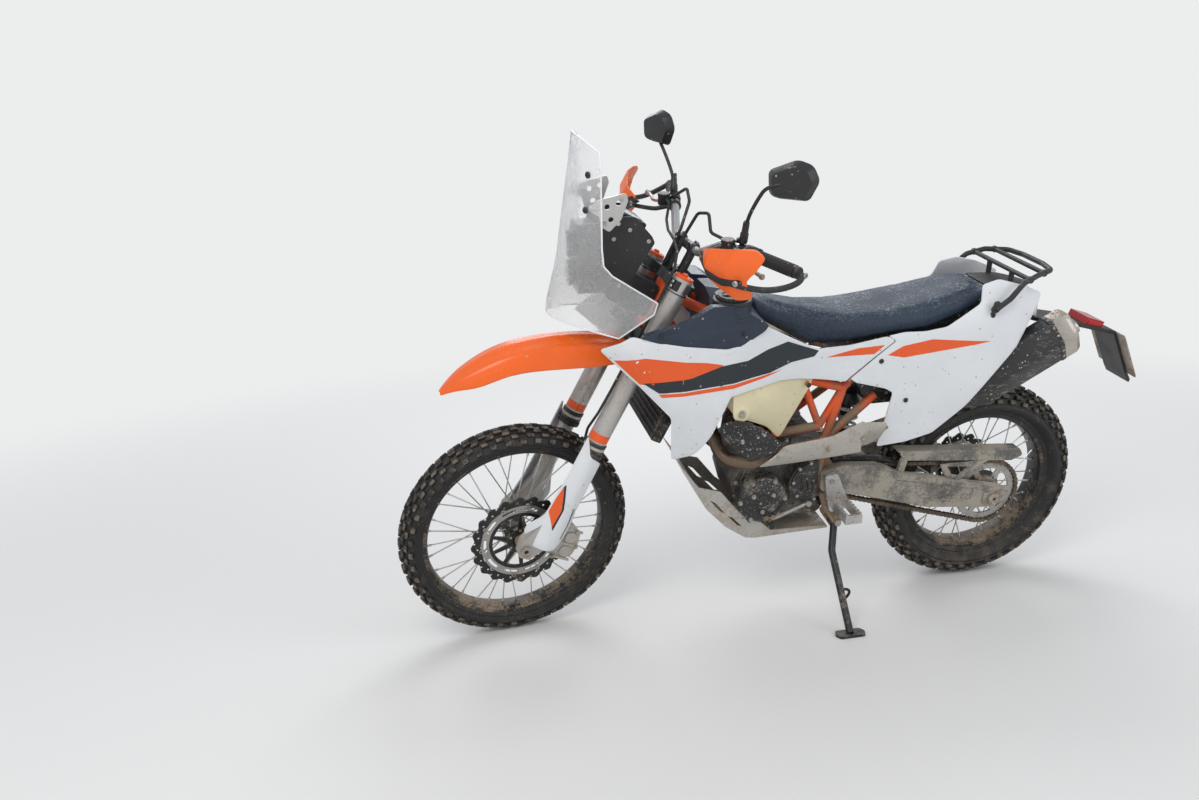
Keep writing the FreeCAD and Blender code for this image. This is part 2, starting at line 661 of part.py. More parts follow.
@made_once
def mirrors():
    """Stems with their faceted heads, one solid a side."""
    heads = []
    for side, route, centre, turn in MIRRORS:
        stem_route = [bar_point(0.2, 1) + Vec(0, 0, 6)] + [Vec(*p) for p in route]
        stem = pipe([Vec(p.x, side * p.y, p.z) for p in stem_route], 5, 14)
        face = [(-62, 6), (-40, 40), (46, 44), (68, 8), (44, -40), (-38, -38)]
        head = front_prism(face, -12, 12, 10)
        head.rotate(Vec(0, 0, 0), Vec(0, 0, 1), turn)
        head.translate(Vec(centre[0], side * centre[1], centre[2]))
        tip = Vec(route[-1][0], side * route[-1][1], route[-1][2])
        neck = rod(tip, Vec(centre[0], side * centre[1], centre[2]), 6)
        heads.append(fuse([stem, head, neck]).cut([handlebar(), hand_controls()]))
    return Part.makeCompound(heads)


@made_once
def front_fender():
    """The long beak fender, bolted under the lower clamp."""
    sections = []
    for x, top, half, edge in FENDER:
        rise = top - edge
        outer = [(x, -half, edge), (x, -half * 0.7, edge + rise * 0.72), (x, -half * 0.3, edge + rise * 0.93),
                 (x, 0, top), (x, half * 0.3, edge + rise * 0.93), (x, half * 0.7, edge + rise * 0.72), (x, half, edge)]
        w = FENDER_WALL
        inner = [(x, half - w, edge), (x, half * 0.7 - w, edge + rise * 0.72 - w), (x, half * 0.3, edge + rise * 0.93 - w),
                 (x, 0, top - w), (x, -half * 0.3, edge + rise * 0.93 - w), (x, -half * 0.7 + w, edge + rise * 0.72 - w),
                 (x, -half + w, edge)]
        sections.append(outer + inner)
    beak = loft(sections)
    seat = clamp_prism([(-46, -34), (30, -34), (30, 34), (-46, 34)], LOWER_CLAMP_T[0] - 22, LOWER_CLAMP_T[0], 8)
    return fuse([beak, seat])


@made_once
def front_caliper():
    """The caliper behind the left leg, over the disc."""
    n0, n1 = -LEG_OFFSET + 26, -LEG_OFFSET + 84
    y = FRONT_DISC_Y
    body = fork_prism([(AXLE_T + 8, n0), (AXLE_T + 20, n1), (AXLE_T + 96, n1 - 4), (AXLE_T + 104, n0)], y - 24, y + 20, 10)
    slot = across(0, FRONT_TYRE_R, y - DISC_T / 2 - 2, y + DISC_T / 2 + 2, FRONT_DISC_R + 5)
    lug = fork_prism([(AXLE_T + 30, n0 - 14), (AXLE_T + 30, n0 + 8), (AXLE_T + 90, n0 + 8), (AXLE_T + 90, n0 - 14)],
                     -LEG_Y - 8, y - 12)
    return fuse([body.cut(slot), lug]).cut(fork_lowers())


HOSE_R = 4.0
CABLE_R = 4.5


@made_once
def front_cables():
    """The front brake hose from the right perch to the caliper, and the two cables to the top clamp."""
    front = -LEG_OFFSET - FORK_TUBE_R - 9
    hose = [bar_point(0.2, 1) + Vec(-34, -15, 20), bar_point(0.2, 1) + Vec(-40, -55, 14), at_fork(1368, -32, 116),
            at_fork(1350, -44, 58), at_fork(1340, -48, -4), at_fork(1322, -56, -66), at_fork(1280, front, -100),
            at_fork(1220, front, -106), at_fork(1140, front, -105), at_fork(1060, front, -104),
            at_fork(980, front, -104), at_fork(900, front, -104), at_fork(825, front, -100),
            at_fork(760, -46, -66), at_fork(690, -26, -62), at_fork(620, -4, -66), at_fork(550, 20, -72),
            at_fork(500, 34, -76), at_fork(AXLE_T + 101, 38, -76)]
    clutch = [bar_point(0.24, -1) + Vec(-10, 4, 10), at_fork(1412, -34, -138), at_fork(1452, -40, -92),
              at_fork(1436, -42, -44), at_fork(1370, -34, -22), at_fork(1250, -26, -20)]
    throttle = [bar_point(0.4, 1) + Vec(-6, -14, 10), at_fork(1432, -16, 170), at_fork(1472, -22, 112),
                at_fork(1446, -28, 52), at_fork(1370, -28, 24), at_fork(1250, -26, 22)]
    cuts = [hand_controls(), handlebar(), triple_clamps(), handguards(), mirrors()]
    made = [main_solid(pipe(hose, HOSE_R, 40).cut(hand_controls()))]
    made += [main_solid(pipe(route, CABLE_R, 22).cut(cuts)) for route in (clutch, throttle)]
    return Part.makeCompound(made)


# Chassis

def tubes(table):
    """Straight frame tubes on both sides, by a table of radius, start and end."""
    pieces = []
    for radius, start, end in table:
        tube = rod(start, end, radius)
        pieces += [tube, mirror(tube)]
    return pieces


# Trellis, right side: radius, start, end
TRELLIS = [(14, at_fork(1196, 10, 18), (620, 88, 985)),
           (14, (620, 88, 985), (838, 108, 800)),
           (14, (838, 108, 800), (968, 112, 760)),
           (13, (968, 112, 760), (925, 114, 600)),
           (13, (925, 114, 600), (896, 114, 400)),
           (14, at_fork(1140, 10, 16), (560, 80, 850)),
           (14, (560, 80, 850), (700, 96, 620)),
           (14, (700, 96, 620), (905, 108, 640)),
           (11, (560, 80, 850), (620, 88, 985)),
           (11, (838, 108, 800), (700, 96, 620)),
           (11, (838, 108, 800), (905, 108, 640)),
           (11, (905, 108, 640), (968, 112, 760)),
           (13, (968, 112, 760), (1040, 96, 830)),
           (13, (925, 114, 600), (1080, 96, 720))]


@made_once
def frame():
    """The trellis frame with its headstock and the spigots that carry the panels."""
    pieces = tubes(TRELLIS)
    pieces.append(fork_rod(LOWER_CLAMP_T[1] + SIDE_PLAY, UPPER_CLAMP_T[0] - SIDE_PLAY, 0, 0, HEAD_R))
    for side in (-1, 1):
        low, high = sorted((side * PIVOT_PLATE_Y[0], side * PIVOT_PLATE_Y[1]))
        pieces.append(side_prism(PIVOT_PLATE, low, high, 10))
    pieces.append(across(PIVOT_X, PIVOT_Z, -138, 138, PIVOT_R))
    pieces.append(rod((838, -108, 800), (838, 108, 800), 12))
    for x, z in ((620, 985), (560, 850)):
        pieces.append(across(x, z, -84, 84, 10))
    # spigots from the tubes out to the shrouds
    for x, z, y in ((620, 985, 84), (560, 850, 76), (838, 800, 104)):
        reach = side_y(x) - PANEL_WALL / 2
        pieces += [across(x, z, y, reach, 7), across(x, z, -reach, -y, 7)]
    trellis = fuse(pieces + stand_bracket())
    bore = fork_rod(LOWER_CLAMP_T[0], UPPER_CLAMP_T[1], 0, 0, STEM_R + RUNNING_FIT)
    return trellis.cut([bore, shroud_left(), shroud_right()])


def frame_slice(low, high):
    """The frame between two planes along the motorcycle."""
    return frame().common(block(-100, 1200, low, high, 200, 1300))


@made_once
def frame_sides():
    return Part.makeCompound([frame_slice(-300, -HEAD_R), frame_slice(HEAD_R, 300)])


@made_once
def frame_middle():
    return frame_slice(-HEAD_R, HEAD_R)


@made_once
def crankcase():
    case = side_prism(CRANKCASE, -92, 92, 24)
    cover = side_prism(SPROCKET_COVER, -128, -92, 14)
    x, z = FRONT_SPROCKET_AT
    window = across(x, z, -106, -74, FRONT_SPROCKET_R + 14)
    slot = block(x, 1010, -106, -74, z - FRONT_SPROCKET_R - 40, z + FRONT_SPROCKET_R + 14)
    seat_r = FRONT_SPROCKET_R - CHAIN_PIN_R - SIDE_PLAY
    wheel = across(x, z, SPROCKET_Y - SPROCKET_T / 2, SPROCKET_Y + SPROCKET_T / 2, seat_r)
    shaft = across(x, z, SPROCKET_Y - SPROCKET_T, -60, 14)
    body = fuse([case, cover]).cut([window, slot])
    return main_solid(fuse([body, wheel, shaft]).cut(frame()))


@made_once
def engine_covers():
    """The round ignition cover on the left and the clutch cover on the right."""
    left = [across(731, 425, -132, -92, 74), across(731, 425, -142, -132, 52)]
    left += [across(x, z, -137, -92, 9) for x, z in polar_places(731, 425, 70, 6)]
    right = [across(800, 440, 92, 126, 84), across(800, 440, 126, 138, 62), across(690, 520, 92, 118, 38)]
    right += [across(x, z, 92, 131, 9) for x, z in polar_places(800, 440, 80, 8)]
    return Part.makeCompound([fuse(left).cut(frame()), fuse(right).cut(frame())])


def polar_places(x, z, radius, count):
    """Places (x, z) evenly round a centre."""
    turns = [2 * math.pi * i / count for i in range(count)]
    return [(x + radius * math.cos(turn), z + radius * math.sin(turn)) for turn in turns]


@made_once
def cylinder():
    """The cylinder, head and cam cover, leaning forwards a little."""
    barrel = side_prism([(700, 605), (850, 610), (836, 700), (690, 690)], -74, 74, 10)
    head = side_prism([(684, 690), (842, 700), (834, 790), (680, 782)], -84, 84, 14)
    cover = side_prism([(692, 782), (822, 790), (806, 836), (704, 830)], -62, 62, 18)
    fins = [block(690, 856, -80, 80, z, z + 5) for z in (622, 638, 654, 670)]
    return fuse([barrel, head, cover] + fins).cut([crankcase(), frame()])


@made_once
def skid_plate():
    """The folded plate under the engine."""
    outer = side_prism(SKID_SIDE, -118, 118, 8)
    sheet = [(x + 5, z + 7) for x, z in [(501, 522), (561, 406), (627, 335), (690, 291), (720, 286), (957, 292)]]
    hollow = side_prism(sheet + [(1100, 300), (1100, 620), (480, 620)], -114, 114)
    slots = [side_prism(slot, -130, 130) for slot in SKID_SLOTS]
    stay = block(760, 800, -60, 60, 290, 346)
    return fuse([outer.cut([hollow] + slots), stay]).cut([crankcase(), engine_covers()])


EXHAUST_ROUTE = [(690, -20, 745), (620, -20, 730), (588, -40, 640), (610, -96, 560), (680, -146, 560),
                 (790, -152, 592), (950, -152, 606), (1080, -130, 628), (1200, -116, 650), (1318, -105, 672)]
EXHAUST_R = 20.0


@made_once
def exhaust_pipe():
    return pipe(EXHAUST_ROUTE, EXHAUST_R, 60).cut([cylinder(), silencer()])


@made_once
def heat_shield():
    """The long shield over the pipe."""
    shield = side_prism(HEAT_SHIELD, -184, -180, 16)
    stays = [across(x, z, -181, -150, 8) for x, z in ((800, 592), (1000, 614))]
    return fuse([shield] + stays).cut(exhaust_pipe())


SILENCER_FRONT = Vec(1318, -105, 672)
SILENCER_END = Vec(1698, -105, 882)
SILENCER_CONE = 110.0
SILENCER_CAP = 60.0
SILENCER_HALF = (70.0, 46.0)


def silencer_section(along, scale):
    """A six-sided section of the silencer at a distance from its front."""
    run = unit(SILENCER_END - SILENCER_FRONT)
    up = unit(Vec(-run.z, 0, run.x))
    high, wide = SILENCER_HALF[0] * scale, SILENCER_HALF[1] * scale
    flat = [(high, -0.5), (high, 0.5), (0, 1), (-high, 0.5), (-high, -0.5), (0, -1)]
    centre = SILENCER_FRONT + run * along
    return [centre + up * h + Vec(0, w * wide, 0) for h, w in flat]


@made_once
def silencer():
    length = (SILENCER_END - SILENCER_FRONT).Length
    body = loft([silencer_section(0, 0.42), silencer_section(SILENCER_CONE, 1.0),
                 silencer_section(length - SILENCER_CAP, 1.0)])
    hanger = rod((1450, -90, 790), (1440, -60, 840), 9)
    return fuse([body, hanger]).cut(rear_tank())


@made_once
def silencer_cap():
    length = (SILENCER_END - SILENCER_FRONT).Length
    cap = loft([silencer_section(length - SILENCER_CAP, 1.02), silencer_section(length - 12, 1.02),
                silencer_section(length, 0.86)])
    run = unit(SILENCER_END - SILENCER_FRONT)
    outlet = rod(SILENCER_END - run * 30, SILENCER_END + run * 12, 24)
    bore = rod(SILENCER_END - run * 26, SILENCER_END + run * 13, 21)
    return fuse([cap, outlet]).cut(bore)


@made_once
def lower_tank():
    """The translucent tank: a lobe each side of the frame, joined over the engine."""
    lobe = side_prism(LOWER_TANK, -260, -124, 22).common(side_strip(PANEL_WALL + 4, 90))
    bridge = side_prism([(600, 930), (860, 880), (856, 850), (600, 870)], -140, 140, 8)
    body = fuse([lobe, mirror(lobe), bridge])
    return body.cut([frame(), cylinder()])


@made_once
def lower_guards():
    guard = side_prism(LOWER_GUARD, -196, -118, 16)
    stay = across(660, 660, -118, -80, 10)
    return both(fuse([guard, stay]).cut([frame(), lower_tank(), exhaust_pipe()]))


def section_loft(table):
    """A crowned body through sections of place, underside, top and half width."""
    sections = []
    for x, low, top, half in table:
        rise = top - low
        sections.append([(x, -half, low), (x, -half, low + rise * 0.5), (x, -half * 0.8, low + rise * 0.86),
                         (x, -half * 0.4, low + rise * 0.98), (x, half * 0.4, low + rise * 0.98),
                         (x, half * 0.8, low + rise * 0.86), (x, half, low + rise * 0.5), (x, half, low)])
    return loft(sections)


@made_once
def tank_top():
    """The tank's top cover with its two side wings and the raised filler neck."""
    middle = section_loft(TANK_TOP)
    wing_face = side_prism(TANK_WING, -260, -60, 8)
    wing = wing_face.common(side_strip(PANEL_WALL + 1, 22))
    root = wing_face.common(side_strip(PANEL_WALL + 1, 100)).common(block(562, 720, -260, 0, 900, 1100))
    neck = rod(FILLER_AT - Vec(0, 0, 90), FILLER_AT, 46)
    body = fuse([middle, wing, root, mirror(wing), mirror(root), neck])
    return body.cut([frame(), lower_tank()])


FILLER_AT = Vec(610, -122, 1078)
TANK_WING = [(330, 1002), (445, 1034), (532, 1072), (600, 1066), (700, 1000), (690, 985), (627, 950), (576, 944),
             (522, 955), (380, 984)]


@made_once
def filler_cap():
    return fuse([rod(FILLER_AT, FILLER_AT + Vec(0, 0, 10), 52), rod(FILLER_AT + Vec(0, 0, 10), FILLER_AT + Vec(0, 0, 22), 40)])


@made_once
def shroud_left():
    return panel(SHROUD, 10)


@made_once
def shroud_right():
    return mirror(panel(SHROUD, 10))


@made_once
def rear_panel_left():
    return panel(REAR_PANEL, 10)


@made_once
def rear_panel_right():
    return mirror(panel(REAR_PANEL, 10))


@made_once
def radiator():
    """The radiator, parallel to the fork, on two stays."""
    core = fork_prism([(820, 118), (1010, 118), (1010, 150), (820, 150)], -150, 150, 5)
    stays = [rod(at_fork(960, 146, side * 60), (560, side * 80, 850), 9) for side in (-1, 1)]
    slats = [fork_prism([(t, 114), (t + 3, 114), (t + 3, 120), (t, 120)], -140, 140) for t in range(836, 1000, 16)]
    return main_solid(fuse([core] + stays + slats).cut(frame()))


@made_once
def coolant_hoses():
    """The upper hose to the cylinder head and the lower one to the pump."""
    upper = pipe([at_fork(986, 146, -44), (560, -44, 792), (630, -46, 788), (700, -50, 762)], 13, 40)
    lower = pipe([at_fork(846, 146, 56), (500, 58, 646), (600, 60, 560), (668, 60, 500)], 12, 60)
    cuts = [radiator(), cylinder(), crankcase(), frame(), exhaust_pipe()]
    return Part.makeCompound([main_solid(upper.cut(cuts)), main_solid(lower.cut(cuts))])


@made_once
def rear_tank():
    """The self-supporting rear tank that carries the seat, the tail and the panels."""
    body = side_prism(REAR_TANK, -96, 96, 30)
    spigots = []
    for x, z in ((1060, 850), (1300, 880), (1150, 720), (1392, 965)):
        reach = side_y(x) - PANEL_WALL / 2
        spigots.append(across(x, z, -reach, reach, 9))
    return fuse([body] + spigots).cut([frame(), rear_panel_left(), rear_panel_right()])


@made_once
def seat():
    return section_loft(SEAT).cut([rear_tank(), tank_top(), frame()])


@made_once
def tail_fender():
    """The mudguard and plate holder behind the tank."""
    top = [(x, z) for x, z in TAIL_STRIP]
    low = [(x - 5, z - 11) for x, z in reversed(TAIL_STRIP)]
    return side_prism(top + low, -54, 54, 10).cut(rear_tank())


# Tail cover sections: place, underside, top, half width
#              x     z_low  z_top  half
TAIL_COVER = [(1396, 985, 1016, 86),
              (1450, 980, 1020, 90),
              (1520, 945, 1017, 84),
              (1580, 922, 1002, 66),
              (1612, 908, 980, 50)]


@made_once
def tail_cover():
    """The cover over the tail, between the side panels."""
    return main_solid(section_loft(TAIL_COVER).cut([rear_tank(), tail_fender(), rack(), seat()]))


@made_once
def number_plate():
    """The blank plate on the holder."""
    (x0, z0), (x1, z1) = TAIL_STRIP[4], TAIL_STRIP[5]
    top, low = Vec(x0, 0, z0), Vec(x1, 0, z1)
    run = low - top
    out = unit(Vec(-run.z, 0, run.x)) * PLATE_T
    corners = [top + run * 0.04, top + run * 1.02, top + run * 1.02 + out, top + run * 0.04 + out]
    return prism([c - Vec(0, PLATE_W / 2, 0) for c in corners], Vec(0, PLATE_W, 0)).cut(tail_fender())


@made_once
def tail_lamp():
    (x0, z0), (x1, z1) = TAIL_STRIP[3], TAIL_STRIP[4]
    slope = (z1 - z0) / (x1 - x0)
    low = [(x, z0 + slope * (x - x0)) for x in (x0 + 22, x0 + 82)]
    return side_prism(low + [(x0 + 90, z0 - 6), (x0 + 30, z0 + 14)], -45, 45)


RACK_ROUTE = [(1392, 172, 985), (1437, 168, 1014), (1478, 158, 1054), (1530, 144, 1070), (1592, 112, 1072),
              (1606, 50, 1072)]


@made_once
def rack():
    """Grab rails joined behind the seat, with a cross plate."""
    left = [(x, -y, z) for x, y, z in RACK_ROUTE]
    rail = pipe(left + [(x, y, z) for x, y, z in reversed(RACK_ROUTE)], 8, 26)
    pieces = [rail]
    for x, z, y in ((1500, 1061, 152), (1556, 1071, 130)):
        pieces.append(across(x, z, -y, y, 7))
    for side in (-1, 1):
        foot = side_y(RACK_ROUTE[0][0]) - PANEL_WALL / 2
        pieces.append(rod(RACK_ROUTE[0][:1] + (side * foot,) + RACK_ROUTE[0][2:],
                          (RACK_ROUTE[0][0], side * RACK_ROUTE[0][1], RACK_ROUTE[0][2]), 11))
        pieces.append(rod((1500, side * 60, 1061), (1500, side * 60, 950), 8))
    return fuse(pieces).cut([rear_tank(), rear_panel_left(), rear_panel_right()])


@made_once
def screen_tower():
    """The bracket on the headstock and the two side plates that carry the screen."""
    arm = fork_prism([(1112, -HEAD_R + 4), (1208, -HEAD_R + 4), (1215, -150), (1150, -170), (1118, -150)], -32, 32, 10)
    plate = side_prism([(246, 1262), (262, 1302), (345, 1296), (392, 1240), (400, 1222), (338, 1128), (306, 1092),
                        (262, 1116)], -84, -80, 10)
    bars = [across(x, z, -82, 82, 9) for x, z in ((300, 1112), (330, 1262), (286, 1240))]
    return fuse([arm, plate, mirror(plate)] + bars).cut(frame())


def screen_x(z, y):
    """The windshield's rear face at a height and a distance from its centre line."""
    for (z0, m0, e0, h0), (z1, m1, e1, h1) in zip(WINDSHIELD, WINDSHIELD[1:]):
        if z1 <= z <= z0:
            share = (z0 - z) / (z0 - z1)
            mid, edge, half = m0 + (m1 - m0) * share, e0 + (e1 - e0) * share, h0 + (h1 - h0) * share
            return mid + (edge - mid) * (abs(y) / half) ** 2 + SCREEN_WALL
    return 0.0


@made_once
def windshield():
    sections = []
    steps = [-1.0, -0.75, -0.45, 0.0, 0.45, 0.75, 1.0]
    for z, mid, edge, half in WINDSHIELD:
        outer = [(mid + (edge - mid) * s * s, half * s, z) for s in steps]
        inner = [(x + SCREEN_WALL, y - SCREEN_WALL * 0.6 * y / half, z) for x, y, z in reversed(outer)]
        sections.append(outer + inner)
    return loft(sections)


@made_once
def screen_brackets():
    """The drilled triangular plates between the tower and the screen."""
    y = 112
    outline = [(screen_x(1330, y) + 1, 1330), (236, 1352), (313, 1368), (318, 1348), (300, 1299), (268, 1267),
               (249, 1280), (240, 1310)]
    plate = side_prism(outline, y - 2, y + 2, 8)
    holes = [across(x, z, y - 9, y + 9, 7) for x, z in ((262, 1334), (292, 1342), (272, 1300))]
    stay = across(292, 1288, 82, y, 6)
    grip = rod((screen_x(1330, y + 8) + 2, y + 4, 1332), (250, y, 1334), 6)
    return both(fuse([plate.cut(holes), stay, grip]).cut([windshield(), screen_tower()]))


@made_once
def headlight():
    """The lamp unit: a tall housing with two round lamps."""
    face = [(-52, 1082), (-74, 1150), (-70, 1236), (-40, 1272), (40, 1272), (70, 1236), (74, 1150), (52, 1082)]
    housing = front_prism(face, 196, 268, 12)
    lamps = [rod((184, 0, z), (200, 0, z), 34) for z in (1132, 1212)]
    pivots = across(250, 1170, -80, 80, 8)
    return fuse([housing, pivots] + lamps).cut([screen_tower(), windshield()])


@made_once
def instrument():
    box = side_prism([(300, 1272), (318, 1300), (384, 1268), (372, 1244)], -58, 58, 6)
    return box.cut(screen_tower())


@made_once
def swingarm():
    """The swingarm: two arms and the yoke ahead of the tyre."""
    arm = side_prism(along_arm(SWINGARM_SIDE), -136, -106, 12)
    yoke = side_prism(along_arm(SWINGARM_YOKE), -108, 108, 10)
    band = CHAIN_DEPTH / 2 + 8
    chain_way = side_prism(chain_outline(band), -106, -70).cut(side_prism(chain_outline(-band), -107, -69))
    recess = side_prism(along_arm(SWINGARM_RECESS), -137, -132, 10)
    body = fuse([arm, mirror(arm), yoke]).cut([chain_way, recess, mirror(recess)])
    bores = [across(PIVOT_X, PIVOT_Z, -150, 150, PIVOT_R), across(WHEELBASE, REAR_TYRE_R, -150, 150, REAR_AXLE_R)]
    return body.cut(bores + [frame()])


def chain_outline(offset):
    """The chain's side outline around both sprockets, as corners."""
    big, small = CHAIN_R + offset, FRONT_SPROCKET_R + offset
    cx, cz = WHEELBASE, REAR_TYRE_R
    sx, sz = FRONT_SPROCKET_AT
    base = math.atan2(cz - sz, cx - sx)
    spread = math.acos((CHAIN_R - FRONT_SPROCKET_R) / math.hypot(cx - sx, cz - sz))
    corners = []
    for i in range(13):
        turn = base + math.pi - spread + 2 * spread * i / 12
        corners.append((sx + small * math.cos(turn), sz + small * math.sin(turn)))
    for i in range(29):
        turn = base - (math.pi - spread) + (2 * math.pi - 2 * spread) * i / 28
        corners.append((cx + big * math.cos(turn), cz + big * math.sin(turn)))
    return corners


@made_once
def chain():
    """The drive chain as one closed loop of plates and rollers."""
    y = SPROCKET_Y
    outer, inner = chain_outline(CHAIN_DEPTH / 2), chain_outline(-CHAIN_DEPTH / 2)
    pieces = []
    for side in (-1, 1):
        low, high = sorted((y + side * CHAIN_GAP / 2, y + side * (CHAIN_GAP / 2 + CHAIN_PLATE_T)))
        pieces.append(side_prism(outer, low, high).cut(side_prism(inner, low - 1, high + 1)))
    path = chain_outline(0.0)
    half = CHAIN_PIN_R / math.sqrt(2)
    for (x0, z0), (x1, z1) in zip(path, path[1:] + path[:1]):
        links = max(1, round(math.hypot(x1 - x0, z1 - z0) / CHAIN_LINK))
        for i in range(links):
            x, z = x0 + (x1 - x0) * i / links, z0 + (z1 - z0) * i / links
            pieces.append(block(x - half, x + half, y - CHAIN_GAP / 2 - 1, y + CHAIN_GAP / 2 + 1,
                                z - half, z + half))
    return fuse(pieces)


@made_once
def chain_guard():
    guard = side_prism(along_arm(CHAIN_GUARD), -118, -114, 8)
    lip = side_prism(along_arm(CHAIN_GUARD_LIP), -118, -74)
    foot = side_prism(along_arm(CHAIN_GUARD_FOOT), -124, -112, 3)
    stay = side_prism(along_arm(CHAIN_GUARD_STAY), -118, -114).cut(
        side_prism(along_arm(CHAIN_GUARD_HOLE), -119, -113))
    return fuse([guard, lip, foot, stay]).cut(swingarm())


@made_once
def rear_axle():
    """The rear axle with its spacers and end nuts."""
    x, z = WHEELBASE, REAR_TYRE_R
    pieces = [across(x, z, -150, 150, REAR_AXLE_R)]
    for side in (-1, 1):
        low, high = sorted((side * (REAR_HUB_W / 2 + 18 + SIDE_PLAY), side * 106))
        pieces.append(across(x, z, low, high, REAR_AXLE_R + 7))
        low, high = sorted((side * 136, side * 150))
        pieces.append(across(x, z, low, high, REAR_AXLE_R + 6))
    return fuse(pieces).cut(across(x, z, -151, 151, REAR_AXLE_BORE_R))


@made_once
def rear_caliper():
    x, z, y = WHEELBASE, REAR_TYRE_R, REAR_DISC_Y
    body = side_prism([(x - 150, z + 48), (x - 84, z + 96), (x - 48, z + 66), (x - 92, z + 12), (x - 140, z + 10)],
                      y - 16, 106, 8)
    slot = across(x, z, y - DISC_T / 2 - 2, y + DISC_T / 2 + 2, REAR_DISC_R + 5)
    return body.cut([slot, swingarm()])


@made_once
def shock():
    """The single shock absorber with its spring, behind the engine."""
    top, low = Vec(1040, 0, 700), Vec(1030, 0, 430)
    run = unit(low - top)
    body = rod(top, low, 18)
    spring = rod(top + run * 50, low - run * 50, 28)
    coils = [rod(top + run * (54 + 23 * i), top + run * (64 + 23 * i), 35) for i in range(7)]
    return fuse([body, spring] + coils).cut([rear_tank(), swingarm()])


@made_once
def foot_pegs():
    """The serrated pegs on their brackets."""
    bracket = side_prism([(915, 496), (956, 500), (997, 406), (985, 372), (940, 372), (930, 410)], -160, -140, 10)
    root = side_prism([(925, 490), (955, 490), (975, 400), (945, 400)], -142, -118, 6)
    peg = block(944, 996, -262, -158, 384, 412)
    window = block(954, 986, -252, -170, 380, 416)
    teeth = [block(x, x + 6, y, y + 7, 411, 417) for x in (945, 989) for y in range(-258, -170, 16)]
    return both(fuse([bracket, root, peg.cut(window)] + teeth).cut([swingarm(), frame(), crankcase()]))


@made_once
def foot_controls():
    """Gear lever on the left, brake pedal on the right."""
    gear = pipe([(880, -128, 395), (860, -140, 395), (780, -150, 372), (742, -158, 368)], 6, 14)
    toe = rod((742, -150, 368), (742, -196, 368), 9)
    shaft = across(880, 395, -140, -90, 9)
    pedal = pipe([(900, 150, 400), (840, 158, 352), (742, 160, 360)], 7, 20)
    pad = block(722, 760, 148, 184, 356, 370)
    pivot = across(900, 400, 92, 156, 11)
    left = main_solid(fuse([gear, toe, shaft]).cut(crankcase()))
    right = main_solid(fuse([pedal, pad, pivot]).cut([crankcase(), frame()]))
    return Part.makeCompound([left, right])


# How it parks: steered, leaned and set on its tyres

def steered(shape):
    turned = shape.copy()
    turned.rotate(AXIS_FOOT, AXIS_DIR, STEER_AT_REST)
    return turned


def low_point(shape, placement):
    """The lowest height of a shape once it is placed."""
    placed = shape.copy()
    placed.Placement = placement.multiply(placed.Placement)
    return placed.optimalBoundingBox(True, False).ZMin


def parking_placement():
    """Leans the motorcycle and pitches it until both tyres touch the ground."""
    lean = FreeCAD.Rotation(Vec(1, 0, 0), LEAN)
    front, rear = steered(front_tyre()), rear_tyre()
    pitch, lift = 0.0, 0.0
    for _ in range(PARKING_STEPS):
        rotation = FreeCAD.Rotation(Vec(0, 1, 0), pitch).multiply(lean)
        placement = FreeCAD.Placement(Vec(0, 0, lift), rotation)
        low_front, low_rear = low_point(front, placement), low_point(rear, placement)
        pitch += math.degrees(math.atan2(low_rear - low_front, WHEELBASE))
        lift -= low_front
    rotation = FreeCAD.Rotation(Vec(0, 1, 0), pitch).multiply(lean)
    lift -= low_point(front, FreeCAD.Placement(Vec(0, 0, lift), rotation))
    return FreeCAD.Placement(Vec(0, 0, lift), rotation)


PARKED = parking_placement()

# Side stand: pivot, where the leg bends, and where its foot is on the ground
STAND_PIVOT = Vec(968, -138, 332)
STAND_KNEE = Vec(940, -190, 250)
STAND_FOOT_GROUND = Vec(936, -385, 0)
STAND_LEG_R = 11.0
STAND_EYE_R = 20.0
STAND_EYE_T = 24.0
STAND_PIN_R = 8.0
STAND_FOOT_T = 8.0
STAND_STOWED = Vec(0.985, -0.16, -0.02)


def stand_foot():
    """The foot's centre on the ground, in the upright motorcycle."""
    return PARKED.inverse().multVec(STAND_FOOT_GROUND)


@made_once
def side_stand():
    """The bent leg with its pivot eye and a foot plate flat on the ground."""
    down = unit(PARKED.inverse().Rotation.multVec(Vec(0, 0, -1)))
    sole = stand_foot()
    ankle = sole - down * (STAND_FOOT_T - 1)
    axis = stand_axis()
    knee = STAND_KNEE - axis * (STAND_KNEE - STAND_PIVOT).dot(axis)
    leg = pipe([STAND_PIVOT, knee, ankle], STAND_LEG_R, 40)
    forward = PARKED.inverse().Rotation.multVec(Vec(1, 0, 0))
    outward = PARKED.inverse().Rotation.multVec(Vec(0, -1, 0))
    corners = [sole + forward * a + outward * b - down * STAND_FOOT_T
               for a, b in ((-38, -22), (38, -22), (46, 0), (38, 24), (-38, 24), (-46, 0))]
    plate = prism(corners, down * STAND_FOOT_T, 12)
    eye = rod(STAND_PIVOT - axis * (STAND_EYE_T / 2), STAND_PIVOT + axis * (STAND_EYE_T / 2), STAND_EYE_R)
    bore = rod(STAND_PIVOT - axis * 30, STAND_PIVOT + axis * 30, STAND_PIN_R + RUNNING_FIT)
    return fuse([leg, plate, eye]).cut(bore)


def stand_axis():
    """The stand's hinge, square to the leg deployed and stowed."""
    deployed = unit(stand_foot() - STAND_PIVOT)
    return unit(deployed.cross(STAND_STOWED))


def stand_sweep():
    """Degrees from deployed to stowed."""
    return math.degrees((stand_foot() - STAND_PIVOT).getAngle(STAND_STOWED))


